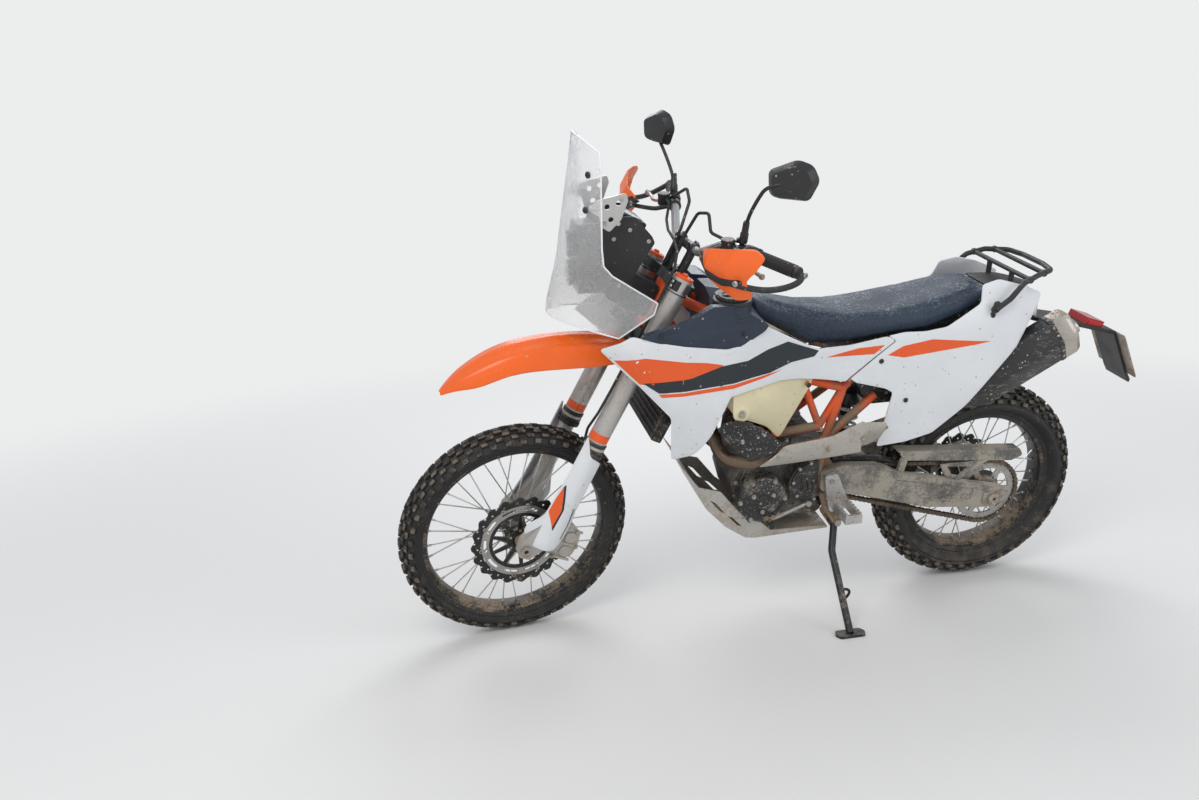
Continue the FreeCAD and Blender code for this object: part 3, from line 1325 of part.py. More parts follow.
def stand_bracket():
    """The clevis and pin that carry the side stand, on an arm of the frame."""
    axis = stand_axis()
    root = Vec(930, -114, 420)
    up = unit((root - STAND_PIVOT) - axis * (root - STAND_PIVOT).dot(axis))
    wide = axis.cross(up)
    pieces = [rod(STAND_PIVOT - axis * 24, STAND_PIVOT + axis * 24, STAND_PIN_R),
              rod(STAND_PIVOT + up * 40, root, 13)]
    for side in (-1, 1):
        base = STAND_PIVOT + axis * (side * (STAND_EYE_T / 2 + SIDE_PLAY))
        corners = [base + wide * w + up * u for w, u in ((-17, -15), (17, -15), (17, 52), (-17, 52))]
        pieces.append(prism(corners, axis * (side * 8), 10))
    base = STAND_PIVOT - axis * (STAND_EYE_T / 2 + 2)
    corners = [base + wide * w + up * u for w, u in ((-17, 28), (17, 28), (17, 52), (-17, 52))]
    pieces.append(prism(corners, axis * (STAND_EYE_T + 4)))
    return pieces


# Every piece: node, body, the function that makes it
PIECES = [("frame_sides", "chassis", frame_sides), ("frame_middle", "chassis", frame_middle),
          ("coolant_hoses", "chassis", coolant_hoses), ("crankcase", "chassis", crankcase),
          ("engine_covers", "chassis", engine_covers), ("cylinder", "chassis", cylinder),
          ("skid_plate", "chassis", skid_plate), ("exhaust_pipe", "chassis", exhaust_pipe),
          ("heat_shield", "chassis", heat_shield), ("silencer", "chassis", silencer),
          ("silencer_cap", "chassis", silencer_cap), ("lower_tank", "chassis", lower_tank),
          ("lower_guards", "chassis", lower_guards), ("tank_top", "chassis", tank_top),
          ("filler_cap", "chassis", filler_cap), ("shroud_left", "chassis", shroud_left),
          ("shroud_right", "chassis", shroud_right), ("rear_panel_left", "chassis", rear_panel_left),
          ("rear_panel_right", "chassis", rear_panel_right), ("radiator", "chassis", radiator),
          ("rear_tank", "chassis", rear_tank), ("seat", "chassis", seat),
          ("tail_fender", "chassis", tail_fender), ("tail_cover", "chassis", tail_cover),
          ("number_plate", "chassis", number_plate),
          ("tail_lamp", "chassis", tail_lamp), ("rack", "chassis", rack),
          ("screen_tower", "chassis", screen_tower), ("windshield", "chassis", windshield),
          ("screen_brackets", "chassis", screen_brackets), ("headlight", "chassis", headlight),
          ("instrument", "chassis", instrument), ("swingarm", "chassis", swingarm),
          ("chain", "chassis", chain), ("chain_guard", "chassis", chain_guard),
          ("rear_axle", "chassis", rear_axle), ("rear_caliper", "chassis", rear_caliper),
          ("shock", "chassis", shock), ("foot_pegs", "chassis", foot_pegs),
          ("foot_controls", "chassis", foot_controls),
          ("triple_clamps", "steering", triple_clamps), ("fork_tubes", "steering", fork_tubes),
          ("fork_lowers", "steering", fork_lowers), ("fork_guards", "steering", fork_guards),
          ("front_axle", "steering", front_axle), ("front_fender", "steering", front_fender),
          ("front_caliper", "steering", front_caliper), ("handlebar", "steering", handlebar),
          ("hand_controls", "steering", hand_controls), ("handguards", "steering", handguards),
          ("mirrors", "steering", mirrors), ("front_cables", "steering", front_cables),
          ("front_tyre", "front_wheel", front_tyre), ("front_rim", "front_wheel", front_rim),
          ("front_disc", "front_wheel", front_disc),
          ("rear_tyre", "rear_wheel", rear_tyre), ("rear_rim", "rear_wheel", rear_rim),
          ("rear_disc", "rear_wheel", rear_disc), ("sprocket", "rear_wheel", sprocket),
          ("side_stand", "side_stand", side_stand)]


def parked(body, make):
    """A piece steered, if it turns with the fork, and set down as the motorcycle is parked."""
    shape = steered(make()) if body in ("steering", "front_wheel") else make().copy()
    shape.Placement = PARKED.multiply(shape.Placement)
    return shape


NODES = {node: parked(body, make) for node, body, make in PIECES}
BOX = Part.makeCompound(list(NODES.values())).optimalBoundingBox(True, False)
SHIFT = Vec(-(BOX.XMin + BOX.XMax) / 2, -(BOX.YMin + BOX.YMax) / 2, -BOX.ZMin)
for node, shape in NODES.items():
    shape.translate(SHIFT)
    shape.exportStep("parts/" + node + ".step")
print("size", BOX.XLength, BOX.YLength, BOX.ZLength)
print("shift", SHIFT.x, SHIFT.y, SHIFT.z)
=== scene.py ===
import json
import math

import bpy
from bpy.props import FloatProperty, FloatVectorProperty, IntProperty, PointerProperty
from mathutils import Matrix, Vector


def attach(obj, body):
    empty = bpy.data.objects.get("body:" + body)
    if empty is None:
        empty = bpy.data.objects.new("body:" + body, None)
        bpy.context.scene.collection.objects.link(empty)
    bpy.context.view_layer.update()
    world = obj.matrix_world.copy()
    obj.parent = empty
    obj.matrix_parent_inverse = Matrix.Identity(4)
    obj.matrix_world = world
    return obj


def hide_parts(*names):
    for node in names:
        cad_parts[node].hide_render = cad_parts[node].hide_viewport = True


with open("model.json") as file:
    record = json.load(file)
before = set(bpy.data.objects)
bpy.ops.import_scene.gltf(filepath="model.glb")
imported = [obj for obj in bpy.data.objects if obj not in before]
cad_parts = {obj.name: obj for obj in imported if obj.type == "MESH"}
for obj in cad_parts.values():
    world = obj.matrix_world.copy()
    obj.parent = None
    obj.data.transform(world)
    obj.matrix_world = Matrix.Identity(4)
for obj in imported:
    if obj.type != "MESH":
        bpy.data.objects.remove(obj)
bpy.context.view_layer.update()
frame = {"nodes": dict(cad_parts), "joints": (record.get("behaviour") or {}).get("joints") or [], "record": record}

bl_info = {
    "name": "Dual sport motorcycle",
    "version": (1, 0, 0),
    "blender": (4, 5, 0),
    "location": "View3D > Sidebar > Motorcycle",
    "description": "Dresses the packed motorcycle: tyres, panels, seat, engine trim and finishes",
    "category": "Object",
}

# Shapes are drawn on the upright motorcycle in millimetres, as in the part's source: the front
# tyre's contact at the origin, x rearwards, y to the rider's right and z up, steered straight
# ahead. settle() then steers, leans and scales each piece to the parked motorcycle in metres.
MM = 0.001
RAKE = math.radians(27.7)
TRAIL = 108.0
STEER_AT_REST = math.radians(8.0)
LEG_OFFSET = 20.0
LEG_Y = 102.0
FRONT_CENTRE = Vector((0, 0, 350))
REAR_CENTRE = Vector((1502, 0, 341))
AXIS_FOOT = Vector((-TRAIL, 0, 0))
AXIS_DIR = Vector((math.sin(RAKE), 0, math.cos(RAKE)))
AXIS_BACK = Vector((math.cos(RAKE), 0, -math.sin(RAKE)))
AXLE_T = (FRONT_CENTRE - AXIS_FOOT).dot(AXIS_DIR)
AXLE_N = (FRONT_CENTRE - AXIS_FOOT).dot(AXIS_BACK)
X = Vector((1, 0, 0))
Y = Vector((0, 1, 0))
Z = Vector((0, 0, 1))

# The outer face of the side panels, seen from above: x, y
SIDE_FACE = [(190, 186), (300, 214), (450, 224), (700, 186), (880, 154), (1080, 154), (1350, 166), (1480, 158),
    (1600, 116)]


def joint(name):
    return next(j for j in frame["joints"] if j["name"] == name)


def upright_matrix():
    """From the upright motorcycle in millimetres to the parked one in metres."""
    across = Vector(joint("rear_wheel")["axis"]).normalized()
    up_fork = Vector(joint("steering")["axis"]).normalized()
    back = across.cross(up_fork)
    x = up_fork * math.sin(RAKE) + back * math.cos(RAKE)
    z = up_fork * math.cos(RAKE) - back * math.sin(RAKE)
    turn = Matrix((x, across, z)).transposed()
    place = Vector(joint("rear_wheel")["pos_m"]) - turn @ REAR_CENTRE * MM
    return Matrix.Translation(place) @ turn.to_4x4() @ Matrix.Scale(MM, 4)


def steered_matrix():
    """The same for what turns with the fork."""
    turn = Matrix.Rotation(STEER_AT_REST, 4, AXIS_DIR)
    return UPRIGHT @ Matrix.Translation(AXIS_FOOT) @ turn @ Matrix.Translation(-AXIS_FOOT)


UPRIGHT = upright_matrix()
STEERED = steered_matrix()
PLACES = {"chassis": UPRIGHT, "rear_wheel": UPRIGHT, "side_stand": UPRIGHT, "steering": STEERED,
    "front_wheel": STEERED}


def at_fork(t, n, y):
    """A point by its place along and off the steering axis."""
    return AXIS_FOOT + AXIS_DIR * t + AXIS_BACK * n + Vector((0, y, 0))


def along_table(table, x):
    """The values of a table's row at x, between its rows."""
    if x <= table[0][0]:
        return table[0][1:]
    for low, high in zip(table, table[1:]):
        if x <= high[0]:
            share = (x - low[0]) / (high[0] - low[0])
            return tuple(a + (b - a) * share for a, b in zip(low[1:], high[1:]))
    return table[-1][1:]


def side_y(x):
    """The side panels' outer face at a place along the motorcycle."""
    return along_table(SIDE_FACE, x)[0]


# Modelling steps

def at_rest():
    """Leaves edit mode and deselects everything."""
    if bpy.context.object and bpy.context.object.mode != "OBJECT":
        bpy.ops.object.mode_set(mode="OBJECT")
    bpy.ops.object.select_all(action="DESELECT")


def pick(obj):
    at_rest()
    obj.select_set(True)
    bpy.context.view_layer.objects.active = obj
    return obj


def applied():
    """Takes the picked piece's place, turn and size into its mesh."""
    bpy.ops.object.transform_apply(location=True, rotation=True, scale=True)


def editing(obj, kind="FACE", every=True):
    """Opens a piece in edit mode with everything or nothing selected."""
    pick(obj)
    bpy.ops.object.mode_set(mode="EDIT")
    bpy.ops.mesh.select_mode(type=kind)
    bpy.ops.mesh.select_all(action="SELECT" if every else "DESELECT")


def modified(obj, kind, **settings):
    """Adds a modifier and applies it."""
    pick(obj)
    bpy.ops.object.modifier_add(type=kind)
    step = obj.modifiers[-1]
    for name, value in settings.items():
        setattr(step, name, value)
    bpy.ops.object.modifier_apply(modifier=step.name)
    return obj


def beveled(obj, width, segments=2, angle=30):
    return modified(obj, "BEVEL", width=width, segments=segments, limit_method="ANGLE",
        angle_limit=math.radians(angle), use_clamp_overlap=True)


def subdivided(obj, levels=2):
    return modified(obj, "SUBSURF", levels=levels, render_levels=levels)


def cut_by(obj, *cutters):
    """Takes the cutters' shapes out of a piece."""
    for cutter in cutters:
        pick(obj)
        bpy.ops.object.modifier_add(type="BOOLEAN")
        step = obj.modifiers[-1]
        step.operation, step.solver, step.object = "DIFFERENCE", "EXACT", cutter
        bpy.ops.object.modifier_apply(modifier=step.name)
        bpy.data.objects.remove(cutter)
    return obj


def outward(obj):
    """Turns all faces outwards."""
    editing(obj)
    bpy.ops.mesh.normals_make_consistent(inside=False)
    at_rest()
    return obj


def face(name, corners, rounding=0.0, segments=4):
    """A flat face with the given corners, which may be rounded."""
    at_rest()
    bpy.ops.mesh.primitive_circle_add(vertices=len(corners), fill_type="NGON")
    obj = bpy.context.object
    obj.name = name
    for vertex, corner in zip(obj.data.vertices, corners):
        vertex.co = corner
    if rounding:
        editing(obj, "VERT")
        bpy.ops.mesh.bevel(offset=rounding, segments=segments, affect="VERTICES")
        at_rest()
    return obj


def plate(name, corners, run, rounding=0.0, edge=0.0, segments=2):
    """A flat outline extruded along run, with its edges beveled."""
    obj = face(name, corners, rounding)
    editing(obj)
    bpy.ops.mesh.extrude_region_move(TRANSFORM_OT_translate={"value": run})
    outward(obj)
    if edge:
        beveled(obj, edge, segments)
    return obj


def side_plate(name, outline, y0, y1, rounding=0.0, edge=0.0):
    """An outline in x and z, extruded along y."""
    return plate(name, [Vector((x, y0, z)) for x, z in outline], Vector((0, y1 - y0, 0)), rounding, edge)


def fork_plate(name, outline, y0, y1, rounding=0.0, edge=0.0):
    """An outline in t and n, extruded along y."""
    return plate(name, [at_fork(t, n, y0) for t, n in outline], Vector((0, y1 - y0, 0)), rounding, edge)


def turned(name, profile, at, along, steps=48):
    """A closed profile of radius and height, spun about a line through a place."""
    at_rest()
    bpy.ops.mesh.primitive_circle_add(vertices=len(profile), fill_type="NOTHING")
    obj = bpy.context.object
    obj.name = name
    for vertex, (radius, height) in zip(obj.data.vertices, profile):
        vertex.co = (radius, 0, height)
    editing(obj, "VERT")
    bpy.ops.mesh.spin(steps=steps, angle=2 * math.pi, center=(0, 0, 0), axis=(0, 0, 1))
    bpy.ops.mesh.select_all(action="SELECT")
    bpy.ops.mesh.remove_doubles(threshold=0.01)
    bpy.ops.mesh.normals_make_consistent(inside=False)
    at_rest()
    stand = Vector(along).to_track_quat("Z", "Y").to_matrix().to_4x4()
    obj.data.transform(Matrix.Translation(Vector(at)) @ stand)
    return obj


def disc_profile(radius, height, edge=1.0, bore=0.0):
    """The profile of a short round bar with broken edges, from its foot to its top."""
    outer = [(radius - edge, 0), (radius, edge), (radius, height - edge), (radius - edge, height)]
    return [(bore, 0)] + outer + [(bore, height)]


def bar(name, start, end, radius, edge=1.0, steps=24, bore=0.0):
    """A round bar between two places."""
    start, end = Vector(start), Vector(end)
    return turned(name, disc_profile(radius, (end - start).length, edge, bore), start, end - start, steps)


def tube(name, route, radius, closed=False, order=3, steps=8):
    """A smooth round bar along a route, as a mesh with closed ends."""
    at_rest()
    bpy.ops.curve.primitive_nurbs_path_add()
    obj = bpy.context.object
    obj.name = name
    obj.data.splines.clear()
    line = obj.data.splines.new("NURBS")
    line.points.add(len(route) - 1)
    for point, place in zip(line.points, route):
        point.co = (*place, 1)
    line.order_u = order
    line.use_endpoint_u = not closed
    line.use_cyclic_u = closed
    obj.data.dimensions = "3D"
    obj.data.resolution_u = steps
    obj.data.bevel_depth = radius
    obj.data.bevel_resolution = 3
    obj.data.use_fill_caps = True
    pick(obj)
    bpy.ops.object.convert(target="MESH")
    obj = bpy.context.object
    editing(obj, "VERT")
    bpy.ops.mesh.remove_doubles(threshold=0.01)
    at_rest()
    return obj


def skin(name, rows, closed=False, caps=False):
    """A surface through rows of points, each row with the same count."""
    count = len(rows[0])
    at_rest()
    bpy.ops.mesh.primitive_grid_add(x_subdivisions=count - 1 + closed, y_subdivisions=len(rows) - 1)
    obj = bpy.context.object
    obj.name = name
    width = count + closed
    for i, vertex in enumerate(obj.data.vertices):
        vertex.co = rows[i // width][i % width % count]
    editing(obj, "VERT")
    bpy.ops.mesh.remove_doubles(threshold=0.01)
    if caps:
        bpy.ops.mesh.select_all(action="DESELECT")
        bpy.ops.mesh.select_non_manifold()
        bpy.ops.mesh.edge_face_add()
    bpy.ops.mesh.select_all(action="SELECT")
    bpy.ops.mesh.normals_make_consistent(inside=False)
    at_rest()
    return obj


def joined(name, parts):
    """One piece from several meshes."""
    at_rest()
    for part in parts:
        part.select_set(True)
    bpy.context.view_layer.objects.active = parts[0]
    if len(parts) > 1:
        bpy.ops.object.join()
    parts[0].name = name
    return parts[0]


def copied(obj, matrix):
    """A copy with a mesh of its own, moved by a matrix."""
    twin = obj.copy()
    twin.data = obj.data.copy()
    bpy.context.scene.collection.objects.link(twin)
    twin.data.transform(matrix)
    if matrix.determinant() < 0:
        twin.data.flip_normals()
    return twin


MIRROR = Matrix.Scale(-1, 4, Y)


def both_sides(name, obj):
    """A piece joined with its mirror image."""
    return joined(name, [obj, copied(obj, MIRROR)])


def around(obj, centre, count, first=0.0, sweep=2 * math.pi, axis=Y):
    """Copies of a piece, evenly spaced about an axis, with the first one kept."""
    made = []
    for i in range(count):
        turn = Matrix.Rotation(first + sweep * i / count, 4, axis)
        made.append(copied(obj, Matrix.Translation(centre) @ turn @ Matrix.Translation(-Vector(centre))))
    bpy.data.objects.remove(obj)
    return made


def socket_bolt(radius, height=5.0):
    """A round bolt head with a six-sided socket, standing on the origin along z."""
    obj = turned("bolt", disc_profile(radius, height, radius * 0.18), (0, 0, 0), Z, 16)
    at_rest()
    bpy.ops.mesh.primitive_cylinder_add(vertices=6, radius=radius * 0.5, depth=height, location=(0, 0, height * 0.95))
    return cut_by(obj, bpy.context.object)


def hex_bolt(radius, height=5.0):
    """A six-sided bolt head on its washer, standing on the origin along z."""
    at_rest()
    bpy.ops.mesh.primitive_cylinder_add(vertices=6, radius=radius, depth=height, location=(0, 0, height / 2 + 1.2))
    head = bpy.context.object
    pick(head)
    applied()
    beveled(head, radius * 0.12, 1)
    washer = turned("washer", disc_profile(radius * 1.25, 1.6, 0.4), (0, 0, 0), Z, 20)
    return joined("bolt", [head, washer])


def bolts(name, head, places):
    """A bolt head copied to places, each with the direction that it faces."""
    made = []
    for at, along in places:
        stand = Vector(along).to_track_quat("Z", "Y").to_matrix().to_4x4()
        made.append(copied(head, Matrix.Translation(Vector(at)) @ stand))
    bpy.data.objects.remove(head)
    return joined(name, made)


def settle(obj, body, finish, replaces=(), smooth=35, place=True):
    """Sets a finished piece on the parked motorcycle, gives it its finish and makes it ride."""
    pick(obj)
    applied()
    if place:
        obj.data.transform(PLACES[body])
    if smooth:
        bpy.ops.object.shade_smooth_by_angle(angle=math.radians(smooth))
    obj.data.materials.clear()
    obj.data.materials.append(FINISHES[finish])
    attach(obj, body)
    if replaces:
        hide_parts(*replaces)
    at_rest()
    return obj


# Finishes

def new_node(tree, kind, inputs=(), **settings):
    """A node with its settings; an input takes a value or another node's socket."""
    made = tree.nodes.new(kind)
    for name, value in settings.items():
        setattr(made, name, value)
    for key, value in dict(inputs).items():
        if isinstance(value, bpy.types.NodeSocket):
            tree.links.new(value, made.inputs[key])
        else:
            made.inputs[key].default_value = value
    return made


def sums(tree, operation, a, b=0.0, clamp=False):
    made = new_node(tree, "ShaderNodeMath", {0: a, 1: b}, operation=operation, use_clamp=clamp)
    return made.outputs[0]


def times(tree, a, b):
    return sums(tree, "MULTIPLY", a, b)


def plus(tree, a, b):
    return sums(tree, "ADD", a, b)


def ramp(tree, value, low, high):
    """0 below low, 1 above high, smooth between them."""
    made = new_node(tree, "ShaderNodeMapRange", {"Value": value, "From Min": low, "From Max": high},
        interpolation_type="SMOOTHSTEP")
    return made.outputs["Result"]


def object_place(tree):
    return tree.nodes.new("ShaderNodeTexCoord").outputs["Object"]


def mixed(tree, mask, a, b):
    made = new_node(tree, "ShaderNodeMix", data_type="RGBA")
    for key, value in ((0, mask), (6, a), (7, b)):
        if isinstance(value, bpy.types.NodeSocket):
            tree.links.new(value, made.inputs[key])
        else:
            made.inputs[key].default_value = value
    return made.outputs[2]


def noise(tree, vector, scale, detail=4.0, rough=0.55):
    made = new_node(tree, "ShaderNodeTexNoise", {"Vector": vector, "Scale": scale, "Detail": detail,
        "Roughness": rough})
    return made.outputs["Fac"]


def group(name, inputs, output):
    """An empty node group with number inputs and one number output."""
    tree = bpy.data.node_groups.new(name, "ShaderNodeTree")
    for label, value in inputs:
        socket = tree.interface.new_socket(label, in_out="INPUT", socket_type="NodeSocketFloat")
        socket.default_value = value
    tree.interface.new_socket(output, in_out="OUTPUT", socket_type="NodeSocketFloat")
    return tree, tree.nodes.new("NodeGroupInput"), tree.nodes.new("NodeGroupOutput")


def dust_group():
    """Where dust and mud lie: in patches, thicker low down and on what faces up."""
    tree, given, out = group("Dust", [("Amount", 0.3), ("Size", 14.0), ("Low", 0.4)], "Mask")
    place = object_place(tree)
    normal = tree.nodes.new("ShaderNodeNewGeometry").outputs["Normal"]
    up = new_node(tree, "ShaderNodeSeparateXYZ", {0: normal}).outputs["Z"]
    height = new_node(tree, "ShaderNodeSeparateXYZ", {0: place}).outputs["Z"]
    broad = noise(tree, place, given.outputs["Size"], 6.0, 0.62)
    fine = noise(tree, place, times(tree, given.outputs["Size"], 9.0), 4.0, 0.7)
    patches = plus(tree, times(tree, broad, 0.62), times(tree, fine, 0.38))
    facing = times(tree, up, 0.05)
    sunk = sums(tree, "SUBTRACT", 1.0, sums(tree, "DIVIDE", height, 0.85), clamp=True)
    low = times(tree, times(tree, sunk, given.outputs["Low"]), 0.3)
    total = plus(tree, plus(tree, patches, facing), low)
    edge = sums(tree, "SUBTRACT", 0.72, times(tree, given.outputs["Amount"], 0.42))
    rise = sums(tree, "SUBTRACT", total, edge)
    tree.links.new(ramp(tree, rise, -0.07, 0.09), out.inputs[0])
    return tree


def speckle_group():
    """Small splashes of dried mud."""
    tree, given, out = group("Splashes", [("Amount", 0.3), ("Size", 90.0)], "Mask")
    place = object_place(tree)
    cells = new_node(tree, "ShaderNodeTexVoronoi", {"Vector": place, "Scale": given.outputs["Size"]})
    chance = new_node(tree, "ShaderNodeSeparateXYZ", {0: cells.outputs["Color"]})
    wanted = sums(tree, "LESS_THAN", chance.outputs["X"], given.outputs["Amount"])
    reach = times(tree, chance.outputs["Y"], 0.32)
    spot = ramp(tree, sums(tree, "SUBTRACT", reach, cells.outputs["Distance"]), 0.0, 0.06)
    tree.links.new(times(tree, spot, wanted), out.inputs[0])
    return tree


def scratch_group():
    """Fine scratches that run mostly one way."""
    tree, given, out = group("Scratches", [("Amount", 0.3), ("Size", 30.0)], "Mask")
    place = object_place(tree)
    warp = noise(tree, place, 6.0, 2.0)
    total = None
    for turn, stretch in ((0.5, 26.0), (-0.9, 34.0)):
        moved = new_node(tree, "ShaderNodeMapping", {"Vector": place, "Rotation": (0.1, turn, 0.0),
            "Scale": (1.0, 1.0, stretch)})
        lines = noise(tree, moved.outputs[0], given.outputs["Size"], 2.0, 0.5)
        line = ramp(tree, lines, 0.66, 0.70)
        total = line if total is None else sums(tree, "MAXIMUM", total, line)
    patchy = ramp(tree, warp, 0.46, 0.6)
    kept = times(tree, times(tree, total, patchy), given.outputs["Amount"])
    tree.links.new(kept, out.inputs[0])
    return tree


def wear_group():
    """Rubbed edges."""
    tree, given, out = group("Edge wear", [("Amount", 0.5), ("Width", 0.002)], "Mask")
    place = object_place(tree)
    soft = new_node(tree, "ShaderNodeBevel", {"Radius": given.outputs["Width"]}, samples=4)
    true = tree.nodes.new("ShaderNodeNewGeometry").outputs["Normal"]
    dot = new_node(tree, "ShaderNodeVectorMath", {0: soft.outputs[0], 1: true}, operation="DOT_PRODUCT")
    edge = ramp(tree, sums(tree, "SUBTRACT", 1.0, dot.outputs["Value"]), 0.01, 0.12)
    broken = ramp(tree, noise(tree, place, 60.0, 5.0, 0.7), 0.38, 0.6)
    tree.links.new(times(tree, times(tree, edge, broken), given.outputs["Amount"]), out.inputs[0])
    return tree


def grain_group():
    """The height of a fine moulded or cast grain."""
    tree, given, out = group("Grain", [("Size", 300.0), ("Coarse", 0.4)], "Height")
    place = object_place(tree)
    fine = noise(tree, place, given.outputs["Size"], 3.0, 0.6)
    broad = noise(tree, place, times(tree, given.outputs["Size"], 0.16), 3.0, 0.5)
    total = plus(tree, fine, times(tree, broad, given.outputs["Coarse"]))
    tree.links.new(total, out.inputs[0])
    return tree


GROUPS = {}


def placed_group(tree, name, **values):
    made = tree.nodes.new("ShaderNodeGroup")
    made.node_tree = GROUPS[name]
    for label, value in values.items():
        made.inputs[label.capitalize()].default_value = value
    return made.outputs[0]


MUD = (0.23, 0.165, 0.105)
PALE_DUST = (0.42, 0.36, 0.28)


class Finish:
    """A material in the making: a base colour that the next layers cover."""

    def __init__(self, name, colour, shade=0.82, rough=0.5, metal=0.0):
        self.material = bpy.data.materials.new(name)
        self.material.use_nodes = True
        self.tree = self.material.node_tree
        self.bsdf = self.tree.nodes["Principled BSDF"]
        self.bsdf.inputs["Metallic"].default_value = metal
        self.place = object_place(self.tree)
        darker = (*[c * shade for c in colour[:3]], 1)
        patches = ramp(self.tree, noise(self.tree, self.place, 9.0, 5.0), 0.3, 0.7)
        self.colour = mixed(self.tree, patches, (*colour[:3], 1), darker)
        self.rough = plus(self.tree, rough - 0.06, times(self.tree, patches, 0.12))
        self.metal = metal
        self.height = None
        self.dirt = bpy.context.scene.motorcycle_colours.dirt

    def layer(self, mask, colour, rough=None, metal=None, raised=0.0):
        """Covers the colour where the mask is 1."""
        tree = self.tree
        self.colour = mixed(tree, mask, self.colour, (*colour[:3], 1))
        if rough is not None:
            gap = sums(tree, "SUBTRACT", rough, self.rough)
            self.rough = plus(tree, self.rough, times(tree, mask, gap))
        if metal is not None:
            gap = sums(tree, "SUBTRACT", metal, self.metal)
            self.metal = plus(tree, self.metal, times(tree, mask, gap))
        if raised:
            self.raise_by(times(tree, mask, raised))
        return self

    def raise_by(self, height):
        self.height = height if self.height is None else plus(self.tree, self.height, height)
        return self

    def grain(self, size, strength, coarse=0.4):
        height = placed_group(self.tree, "grain", size=size, coarse=coarse)
        return self.raise_by(times(self.tree, height, strength))

    def dust(self, amount, colour=MUD, size=14.0, low=0.4, raised=0.25):
        mask = placed_group(self.tree, "dust", amount=amount * self.dirt, size=size, low=low)
        return self.layer(mask, colour, 0.9, 0.0 if self.bsdf.inputs["Metallic"].default_value else None, raised)

    def splashes(self, amount, colour=MUD, size=90.0):
        mask = placed_group(self.tree, "splash", amount=amount * self.dirt, size=size)
        return self.layer(mask, colour, 0.85, None, 0.4)

    def scratches(self, amount, colour, size=30.0):
        return self.layer(placed_group(self.tree, "scratch", amount=amount, size=size), colour, 0.6)

    def worn(self, amount, colour, width=0.002):
        return self.layer(placed_group(self.tree, "wear", amount=amount, width=width), colour, 0.35)

    def done(self, soft_edge=0.0, depth=0.0006):
        """Joins the layers to the shader; sharp solid edges look broken by soft_edge."""
        tree, sockets = self.tree, self.bsdf.inputs
        tree.links.new(self.colour, sockets["Base Color"])
        tree.links.new(self.rough, sockets["Roughness"])
        if isinstance(self.metal, bpy.types.NodeSocket):
            tree.links.new(self.metal, sockets["Metallic"])
        normal = None
        if soft_edge:
            normal = new_node(tree, "ShaderNodeBevel", {"Radius": soft_edge}, samples=4).outputs[0]
        if self.height is not None:
            bump = new_node(tree, "ShaderNodeBump", {"Height": self.height, "Distance": depth})
            if normal is not None:
                tree.links.new(normal, bump.inputs["Normal"])
            normal = bump.outputs[0]
        if normal is not None:
            tree.links.new(normal, sockets["Normal"])
        return self.material


def glass_finish(name, haze, tint, clear):
    """Clear plastic with a whitish haze and dried splashes."""
    material = bpy.data.materials.new(name)
    material.use_nodes = True
    tree = material.node_tree
    bsdf = tree.nodes["Principled BSDF"]
    bsdf.inputs["Transmission Weight"].default_value = clear
    bsdf.inputs["IOR"].default_value = 1.3
    place = object_place(tree)
    film = ramp(tree, noise(tree, place, 7.0, 6.0, 0.65), 0.42, 0.72)
    spots = placed_group(tree, "splash", amount=0.5, size=170.0)
    veil = times(tree, film, haze)
    rough = plus(tree, 0.03, times(tree, sums(tree, "MAXIMUM", veil, spots), 0.5))
    tree.links.new(rough, bsdf.inputs["Roughness"])
    tree.links.new(mixed(tree, spots, (*tint, 1), (0.62, 0.56, 0.47, 1)), bsdf.inputs["Base Color"])
    bump = new_node(tree, "ShaderNodeBump", {"Height": spots, "Distance": 0.0003})
    tree.links.new(bump.outputs[0], bsdf.inputs["Normal"])
    return material


def tyre_finish(colours):
    """Black rubber with dried mud between the lugs and on their worn tips."""
    made = Finish("tyre_rubber", colours.tyre_rubber, 0.8, 0.62)
    tree = made.tree
    made.grain(420.0, 0.3)
    made.dust(0.22, (0.085, 0.068, 0.05), 26.0, 0.3, 0.4)
    tip = new_node(tree, "ShaderNodeAttribute", attribute_name="tip").outputs["Fac"]
    broken = ramp(tree, noise(tree, made.place, 38.0, 5.0, 0.65), 0.40, 0.60)
    made.layer(times(tree, ramp(tree, tip, 0.72, 0.99), times(tree, broken, 0.7)), (0.21, 0.17, 0.125), 0.85)
    made.splashes(0.16, (0.2, 0.165, 0.12), 150.0)
    return made.done(0.0, 0.0008)


def seat_finish(colours):
    """Dark blue grained cover with shiny raised drops on top. The drops' light blue colour is a painted sky reflection
    on what faces up, and a fainter lighter mottle lies where the drops are.
    """
    made = Finish("seat_cover", colours.seat_cover, 0.8, 0.5)
    tree = made.tree
    cells = new_node(tree, "ShaderNodeTexVoronoi", {"Vector": made.place, "Scale": 420.0}, feature="DISTANCE_TO_EDGE")
    made.raise_by(times(tree, ramp(tree, cells.outputs["Distance"], 0.0, 0.2), 0.45))
    normal = tree.nodes.new("ShaderNodeNewGeometry").outputs["Normal"]
    up = new_node(tree, "ShaderNodeSeparateXYZ", {0: normal}).outputs["Z"]
    drops = noise(tree, made.place, 150.0, 3.0, 0.6)
    broad = ramp(tree, noise(tree, made.place, 16.0, 4.0), 0.36, 0.62)
    # Up-facing drops get a light blue colour, which is a painted sky reflection; their low roughness and raised bump
    # are real.
    top = times(tree, ramp(tree, up, 0.35, 1.0), broad)
    wet_drops_and_sky_reflection = times(tree, ramp(tree, drops, 0.53, 0.60), top)
    made.layer(times(tree, wet_drops_and_sky_reflection, 0.6), (0.26, 0.33, 0.42), 0.24, raised=0.8)
    made.layer(times(tree, ramp(tree, drops, 0.42, 0.5), 0.3), (0.04, 0.07, 0.11))
    made.dust(0.1, PALE_DUST, 20.0, 0.0)
    return made.done(0.0, 0.0007)


